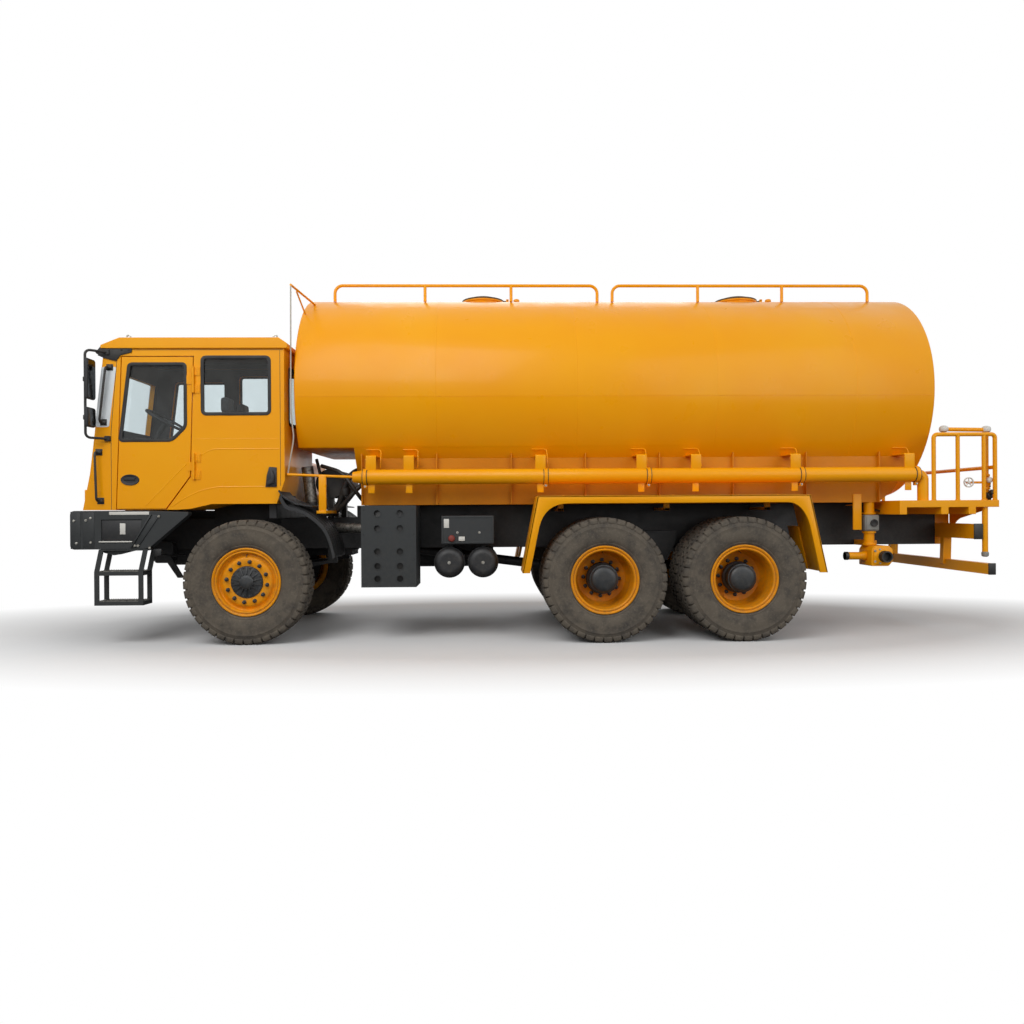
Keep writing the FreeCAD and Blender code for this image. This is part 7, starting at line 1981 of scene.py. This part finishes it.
@dataclass
class RearFittings:
    """Railing, spray riser with its taps and white caps, drain pipe, and the black end caps of the bars."""

    side: float = 1.212
    rail: float = 0.022
    top: float = 2.150
    floor: float = 1.4505
    front: float = 7.236
    rear: float = 7.897
    posts: Sequence[float] = (7.495, 7.776)
    riser: float = 7.862
    riser_side: float = 1.120

    def railing(self) -> Object:
        """Both tube loops with their posts, foot plates and the cross rail."""
        y = -self.side
        x = (behind(self.front), behind(self.rear))
        parts = [tube("rail_loop", [(x[0], y, self.floor), (x[0], y, self.top), (x[1], y, self.top),
                                    (x[1], y, self.floor)], self.rail, 0.040, 5)]
        for place in self.posts:
            parts.append(tube("rail_post", [(behind(place), y, self.floor), (behind(place), y, self.top)],
                              self.rail * 0.95, 0.0, 5))
        for place in (self.front, *self.posts, self.rear - 0.002):
            parts.append(lathe("rail_foot", [(0.0, 0.0), (0.026, 0.0), (0.026, 0.006), (0.0, 0.006)], Axis.Z,
                               (behind(place), y, self.floor), 24, 0.001))
        left = join("rail_loop", parts)
        right = mirrored(left, "rail_loop_right")
        cross = tube("rail_cross", [(x[1], y, 1.800), (x[1], -y, 1.800)], self.rail * 0.95, 0.0, 5)
        return join("rear_rails", [left, right, cross])

    def risers(self) -> Object:
        """The riser with its cross pipe and valve arm, and the drain pipe under the platform."""
        x, y = behind(self.riser), -self.riser_side
        near, arm = behind(7.398), behind(7.640)
        parts = [tube("spray_riser", [(x, y, self.floor), (x, y, 2.206), (near, y, 2.213)], self.rail, 0.030,
                      5), tube("valve_arm", [(x, y, 1.640), (arm, y, 1.640), (arm, y - 0.040, 1.640)], 0.012,
                               0.014, 4),
                 tube("drain_pipe", [(behind(7.800), -1.190, 0.880), (behind(7.800), -1.190, 1.3745)], 0.029,
                      0.0, 6)]
        for up in (1.575, 1.640, 1.715):
            parts.append(lathe("riser_joint",
                               [(0.0, -0.014), (0.036, -0.014), (0.038, 0.0), (0.036, 0.014), (0.0, 0.014)],
                               Axis.Z, (x, y, up), 6 if up > 1.7 else 24, 0.001))
        parts.append(lathe("tap_body", [(0.0, -0.052), (0.030, -0.052), (0.041, -0.030), (0.041, 0.030),
                                        (0.030, 0.052), (0.0, 0.052)], Axis.Z, (x, y, 1.646), 32, 0.003))
        return join("spray_risers", parts)

    def caps(self) -> Object:
        """White polythene caps on the cross pipe's ends, the hand-wheel, and the tap's pale top."""
        y = -self.riser_side
        ball = [(0.0, -0.030), (0.026, -0.030), (0.042, -0.020), (0.047, 0.0), (0.044, 0.020), (0.032, 0.034),
                (0.014, 0.041), (0.0, 0.042)]
        parts = [lathe("spray_cap", ball, Axis.Z, (behind(place), y, up), 40)
                 for place, up in ((7.398, 2.213), (7.862, 2.208))]
        wheel = (behind(7.640), y - 0.046, 1.640)
        rim = lathe("wheel_rim", [(0.043, -0.006), (0.049, -0.009), (0.055, -0.006), (0.055, 0.004),
                                  (0.049, 0.007), (0.043, 0.004)], Axis.Y, wheel, 40)
        hub = lathe("wheel_hub",
                    [(0.0, -0.014), (0.012, -0.014), (0.017, -0.004), (0.017, 0.008), (0.0, 0.008)], Axis.Y,
                    wheel, 24)
        spoke = tube("wheel_spoke",
                     [(wheel[0], wheel[1], wheel[2] + 0.012), (wheel[0], wheel[1], wheel[2] + 0.045)], 0.006,
                     0.0, 2)
        parts += [rim, hub, ring_of(spoke, 5, Axis.Y, wheel)]
        parts.append(lathe("tap_top", [(0.0, 0.0), (0.026, 0.0), (0.031, -0.012), (0.031, -0.034),
                                       (0.020, -0.044), (0.0, -0.044)], Axis.Y,
                           (behind(self.riser), y - 0.030, 1.664), 28, 0.002))
        return join("spray_caps", parts)

    def black_parts(self) -> Object:
        """Black rubber caps on the bars' ends, and the black tap with its nozzle."""
        parts = []
        for side in Side:
            way = side.value
            for x, low, high, face in (((7.672, 7.769), 1.031, 1.199, 1.195),
                                       ((7.682, 7.7595), 0.671, 0.792, 1.425)):
                ends = sorted((way * face, way * (face + 0.014)))
                parts.append(block("end_cap", (behind(x[0]), ends[0], low), (behind(x[1]), ends[1], high),
                                   0.005))
        x, y = behind(7.880), -self.riser_side
        parts.append(lathe("black_tap", [(0.0, -0.055), (0.024, -0.055), (0.024, -0.034), (0.040, -0.028),
                                         (0.040, 0.026), (0.026, 0.034), (0.0, 0.034)], Axis.Z,
                           (x, y - 0.010, 1.500), 28, 0.002))
        parts.append(lathe("tap_nozzle", [(0.0, 0.0), (0.022, 0.0), (0.026, -0.020), (0.026, -0.058),
                                          (0.015, -0.060), (0.015, -0.046), (0.0, -0.046)], Axis.Y,
                           (x, y - 0.040, 1.536), 28))
        parts.append(tube("tap_lever",
                          [(x, y - 0.004, 1.532), (x, y - 0.004, 1.592), (x + 0.024, y - 0.004, 1.600)],
                          0.008, 0.012))
        return join("rear_rubbers", parts)

    def build(self) -> None:
        """Makes the rear fittings."""
        dress(self.railing(), ENAMEL, ["rear_railing"])
        dress(self.risers(), ENAMEL, ["rear_pipework"])
        dress(self.caps(), WHITE_CAP)
        dress(self.black_parts(), HOSE)
        foot = lathe("drain_cap", [(0.0, -0.026), (0.020, -0.026), (0.033, -0.018), (0.036, 0.0),
                                   (0.036, 0.022), (0.030, 0.028), (0.0, 0.028)], Axis.Z,
                     (behind(7.800), -1.190, 0.870), 32)
        dress(foot, PALE_GREY)
        covers = [block("tail_lens", (behind(7.7665), min(way * 0.896, way * 1.164), 1.067),
                        (behind(7.8160), max(way * 0.896, way * 1.164), 1.163), 0.010) for way in (-1, 1)]
        dress(join("tail_lenses", covers), RED_LENS)


@dataclass
class PumpGroup:
    """Water pump under the saddle: case, branch pipe, riser with its pale valve, and the port."""

    front: float = 6.665
    rear: float = 6.901
    outer: float = 1.000
    low: float = 0.739
    high: float = 0.959

    def case(self) -> list[Object]:
        """The cast case with its raised cover, stays and riser."""
        x = (behind(self.front), behind(self.rear))
        y = -self.outer
        nose = [(x[0], self.low), (x[1] - 0.045, self.low), (x[1], self.low + 0.055),
                (x[1], self.high - 0.040), (x[1] - 0.040, self.high), (x[0] + 0.030, self.high),
                (x[0], self.high - 0.045)]
        shell = plate("pump_case", nose, Plane.XZ, y, 0.300, 0.006, 0.012)
        cover = plate("pump_cover", [(x[0] + 0.020, self.low + 0.020), (x[0] + 0.100, self.low + 0.020),
                                     (x[0] + 0.100, self.high - 0.020), (x[0] + 0.020, self.high - 0.020)],
                      Plane.XZ, y - 0.010, 0.014, 0.004, 0.020)
        flange = lathe("port_flange", [(0.045, 0.0), (0.082, 0.0), (0.082, -0.014), (0.045, -0.014)], Axis.Y,
                       (behind(6.796), y, 0.844), 40, 0.003)
        riser_x = behind(6.714)
        riser = lathe("pump_riser", [(0.0, 0.0), (0.055, 0.0), (0.055, 0.5403), (0.0, 0.5403)], Axis.Z,
                      (riser_x, -0.840, 0.950), 40)
        joint = [lathe("riser_flange", [(0.050, -0.010), (0.072, -0.010), (0.072, 0.010), (0.050, 0.010)],
                       Axis.Z, (riser_x, -0.840, up), 40, 0.002) for up in (0.975, 1.105, 1.312)]
        arm = lathe("branch_pipe",
                    [(0.0, 0.0), (0.042, 0.0), (0.042, 0.195), (0.050, 0.200), (0.050, 0.236), (0.0, 0.236)],
                    Axis.X, (x[0] - 0.230, -0.850, 0.844), 36, 0.003)
        strap = block("pump_strap", (behind(6.505), -0.915, 1.134), (behind(6.598), -0.895, 1.527), 0.003)
        back_plate = block("strap_back", (behind(6.515), -0.900, 1.400), (behind(6.590), -0.700, 1.412),
                           0.003)
        stay_x = (x[0] + 0.060, x[1] - 0.060)
        stays = [block("pump_stay", (stay_x[0], -0.760, self.high - 0.010), (stay_x[1], -0.700, 1.010),
                       0.003),
                 block("pump_stay", (stay_x[0], -0.702, 0.9505), (stay_x[1], -0.4505, 1.010), 0.003)]
        return [shell, cover, flange, riser, *joint, arm, strap, back_plate, *stays]

    def build(self) -> None:
        """Makes the pump and its valve."""
        dress(join("pump_group", self.case()), ENAMEL, ["water_pump"])
        x, y = behind(6.714), -0.840
        body = block("pump_valve", (x - 0.079, y - 0.079, 1.121), (x + 0.079, y + 0.079, 1.296), 0.012)
        lid = block("valve_lid", (x - 0.066, y - 0.089, 1.134), (x + 0.066, y - 0.075, 1.283), 0.006)
        dress(join("pump_valve", [body, lid]), PALE_GREY)
        port = lathe("valve_port", [(0.0, 0.0), (0.040, 0.0), (0.040, -0.022), (0.026, -0.022),
                                    (0.026, -0.010), (0.0, -0.010)], Axis.Y, (x + 0.012, y - 0.089, 1.208),
                     32, 0.002)
        heart = lathe("port_heart", [(0.0, 0.0), (0.0475, 0.0), (0.0475, -0.030), (0.0, -0.030)], Axis.Y,
                      (behind(6.796), -self.outer, 0.844), 32)
        ring = lathe("branch_cap", [(0.0, 0.0), (0.046, 0.0), (0.046, 0.034), (0.041, 0.040), (0.0, 0.040)],
                     Axis.X, (behind(self.front) - 0.230, -0.850, 0.844), 32, 0.002)
        hose = tube("valve_hose", [(x - 0.020, y - 0.02, 1.290), (x - 0.020, y - 0.02, 1.345),
                                   (x + 0.070, y, 1.352), (x + 0.180, y + 0.06, 1.330)], 0.010, 0.03)
        dress(join("pump_rubbers", [port, heart, ring, hose]), HOSE)
        bolts = studs("pump_bolts", [(behind(6.700), -1.010, z) for z in (0.790, 0.905)]
                      + [(behind(6.755), -1.010, z) for z in (0.775, 0.920)], Axis.Y, 0.009, -0.008)
        dress(bolts, ZINC)


@dataclass
class CabGap:
    """What is seen between cab and tank: level line, curved mudguards, hoses and the exhaust pipe."""

    guard: Profile = ((0.352, 1.545), (0.411, 1.440), (0.530, 1.402), (0.648, 1.345),
                                            (0.790, 1.220), (0.867, 1.060), (0.904, 0.905))
    lip: Profile = ((0.328, 1.598), (0.372, 1.540), (0.443, 1.493), (0.567, 1.452),
                                          (0.680, 1.430))
    outer: float = 1.250
    inner: float = 0.660

    def curved(self, name: str, line: Profile, thick: float, start: float,
               wide: float) -> Object:
        """A bent sheet under a line that is drawn smooth through its points.

        Args:
            name: Its name.
            line: Its upper line, as places behind the front axle and heights.
            thick: Its thickness.
            start: Y of its outer edge.
            wide: Its width.

        Returns:
            The sheet.
        """
        ends = [line[0], *line, line[-1]]
        top = []
        for a, b, c, d in zip(ends, ends[1:], ends[2:], ends[3:]):
            for step in range(4):
                t = step / 4
                spots = [0.5 * (2 * q + (r - p) * t + (2 * p - 5 * q + 4 * r - s) * t * t
                                + (3 * q - p - 3 * r + s) * t ** 3) for p, q, r, s in zip(a, b, c, d)]
                top.append(tuple(spots))
        top = placed((*top, line[-1]))
        low = [(x - thick * 0.7, z - thick) for x, z in reversed(top)]
        return plate(name, top + low, Plane.XZ, start, wide, 0.0)

    def mudguard(self) -> Object:
        """The left guard with its ribs, rolled edge, wavy lip, stay and splash plate."""
        wide = self.outer - self.inner
        parts = [self.curved("guard_sheet", self.guard, 0.018, -self.outer, wide),
                 self.curved("guard_lip", self.lip, 0.012, -self.outer, 0.420)]
        for number in range(5):
            parts.append(self.curved("guard_rib", [(x, z + 0.009) for x, z in self.guard[1:]], 0.014,
                                     -self.outer + 0.070 + number * 0.115, 0.026))
        edge = self.curved("guard_edge", self.guard, 0.032, -self.outer - 0.004, 0.020)
        stay = block("guard_stay", (behind(0.560), -0.720, 1.240), (behind(0.620), RAIL_FACE, 1.352), 0.004)
        splash = plate("splash_plate", placed([(-0.604, 1.240), (0.130, 1.240), (0.130, 1.4565),
                                               (-0.377, 1.4565), (-0.604, 1.4065)]), Plane.XZ, -0.4643,
                       0.0140, 0.002)
        return join("mudguard", [*parts, edge, stay, splash])

    def level_line(self) -> None:
        """The grey line from its arm at the tank's top to the rod below, and the rod's post."""
        x, y = behind(0.440), -1.150
        line = tube("level_hose", [(x, y, 3.742), (behind(0.432), y, 2.420), (behind(0.458), y + 0.02, 2.150),
                                   (behind(0.398), y, 1.775)], 0.0075, 0.05, 3)
        dress(line, LINE_GREY)
        arm = tube("level_arm", [(behind(0.560), -0.5315, 3.700), (x, y, 3.755)], 0.0125, 0.0, 4)
        strut = tube("level_strut", [(behind(0.505), -0.790, 3.540), (behind(0.462), -0.990, 3.728)], 0.009,
                     0.0, 3)
        rod = tube("level_rod", [(behind(0.388), y, 1.762), (behind(1.075), y, 1.732)], 0.0145, 0.0, 5)
        post = block("level_post", (behind(0.722), y - 0.022, 1.3775), (behind(0.798), y + 0.022, 1.745),
                     0.004)
        foot = block("post_foot", (behind(0.700), y - 0.030, 1.350), (behind(0.800), RAIL_FACE, 1.380), 0.004)
        dress(join("level_frame", [arm, strut, rod, post, foot]), ENAMEL, ["sight_line"])

    def hoses(self) -> None:
        """Black hoses and the worn exhaust pipe with its sleeve, in the gap."""
        lines = [[(0.560, -0.560, 1.310), (0.800, -0.600, 1.380), (0.960, -0.700, 1.780),
                  (1.110, -0.560, 1.860)],
                 [(0.700, -0.500, 1.305), (0.900, -0.680, 1.450), (1.060, -0.720, 1.640),
                  (1.125, -0.600, 1.700)],
                 [(0.640, -0.640, 1.880), (0.900, -0.760, 1.800), (1.060, -0.780, 1.560),
                  (1.130, -0.620, 1.450)],
                 [(0.560, -0.520, 1.960), (0.640, -0.600, 1.700), (0.720, -0.560, 1.305)]]
        parts = [tube("gap_hose", [(behind(x), y, z) for x, y, z in line], radius, 0.10, 4)
                 for line, radius in zip(lines, (0.034, 0.026, 0.022, 0.018))]
        cover = lathe("valve_cap", [(0.0, 0.0), (0.048, 0.0), (0.055, 0.012), (0.055, 0.095), (0.040, 0.110),
                                    (0.0, 0.110)], Axis.Z, (behind(0.905), -0.640, 1.540), 32, 0.003)
        dress(join("gap_hoses", [*parts, cover]), HOSE)
        sleeve = tube("duct_sleeve", [(behind(0.4685), -0.580, 1.872), (behind(0.5160), -0.580, 1.475)],
                      0.066, 0.0, 7)
        silencer = tube("exhaust_pipe", [(behind(0.800), -0.640, 1.190), (behind(1.180), -0.800, 1.180)],
                        0.056, 0.0, 7)
        pipe = join("exhaust_pipe", [sleeve, silencer])
        dress(pipe, WORN_STEEL)

    def build(self) -> None:
        """Makes the pieces in the gap."""
        left = self.mudguard()
        dress(join("mudguards", [left, mirrored(left, "mudguard_right")]), CHASSIS_BLACK,
              ["front_mudguards"])
        self.level_line()
        self.hoses()


def main() -> None:
    """Loads the frame, dresses the truck and reports each piece."""
    logging.basicConfig(level=logging.INFO, format="%(message)s")
    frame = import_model()
    Studio().build()
    CarriedNodes().dress_all(frame["nodes"])
    TyreSet().build()
    WheelSet().build()
    TankBarrel().build()
    SidePipes().build()
    CabTrim().build()
    BumperTrim().build()
    MirrorArms().build()
    CabInside().build()
    FenderPair().build()
    LeftFlank().build()
    RearFittings().build()
    PumpGroup().build()
    CabGap().build()


if __name__ == "__main__":
    main()
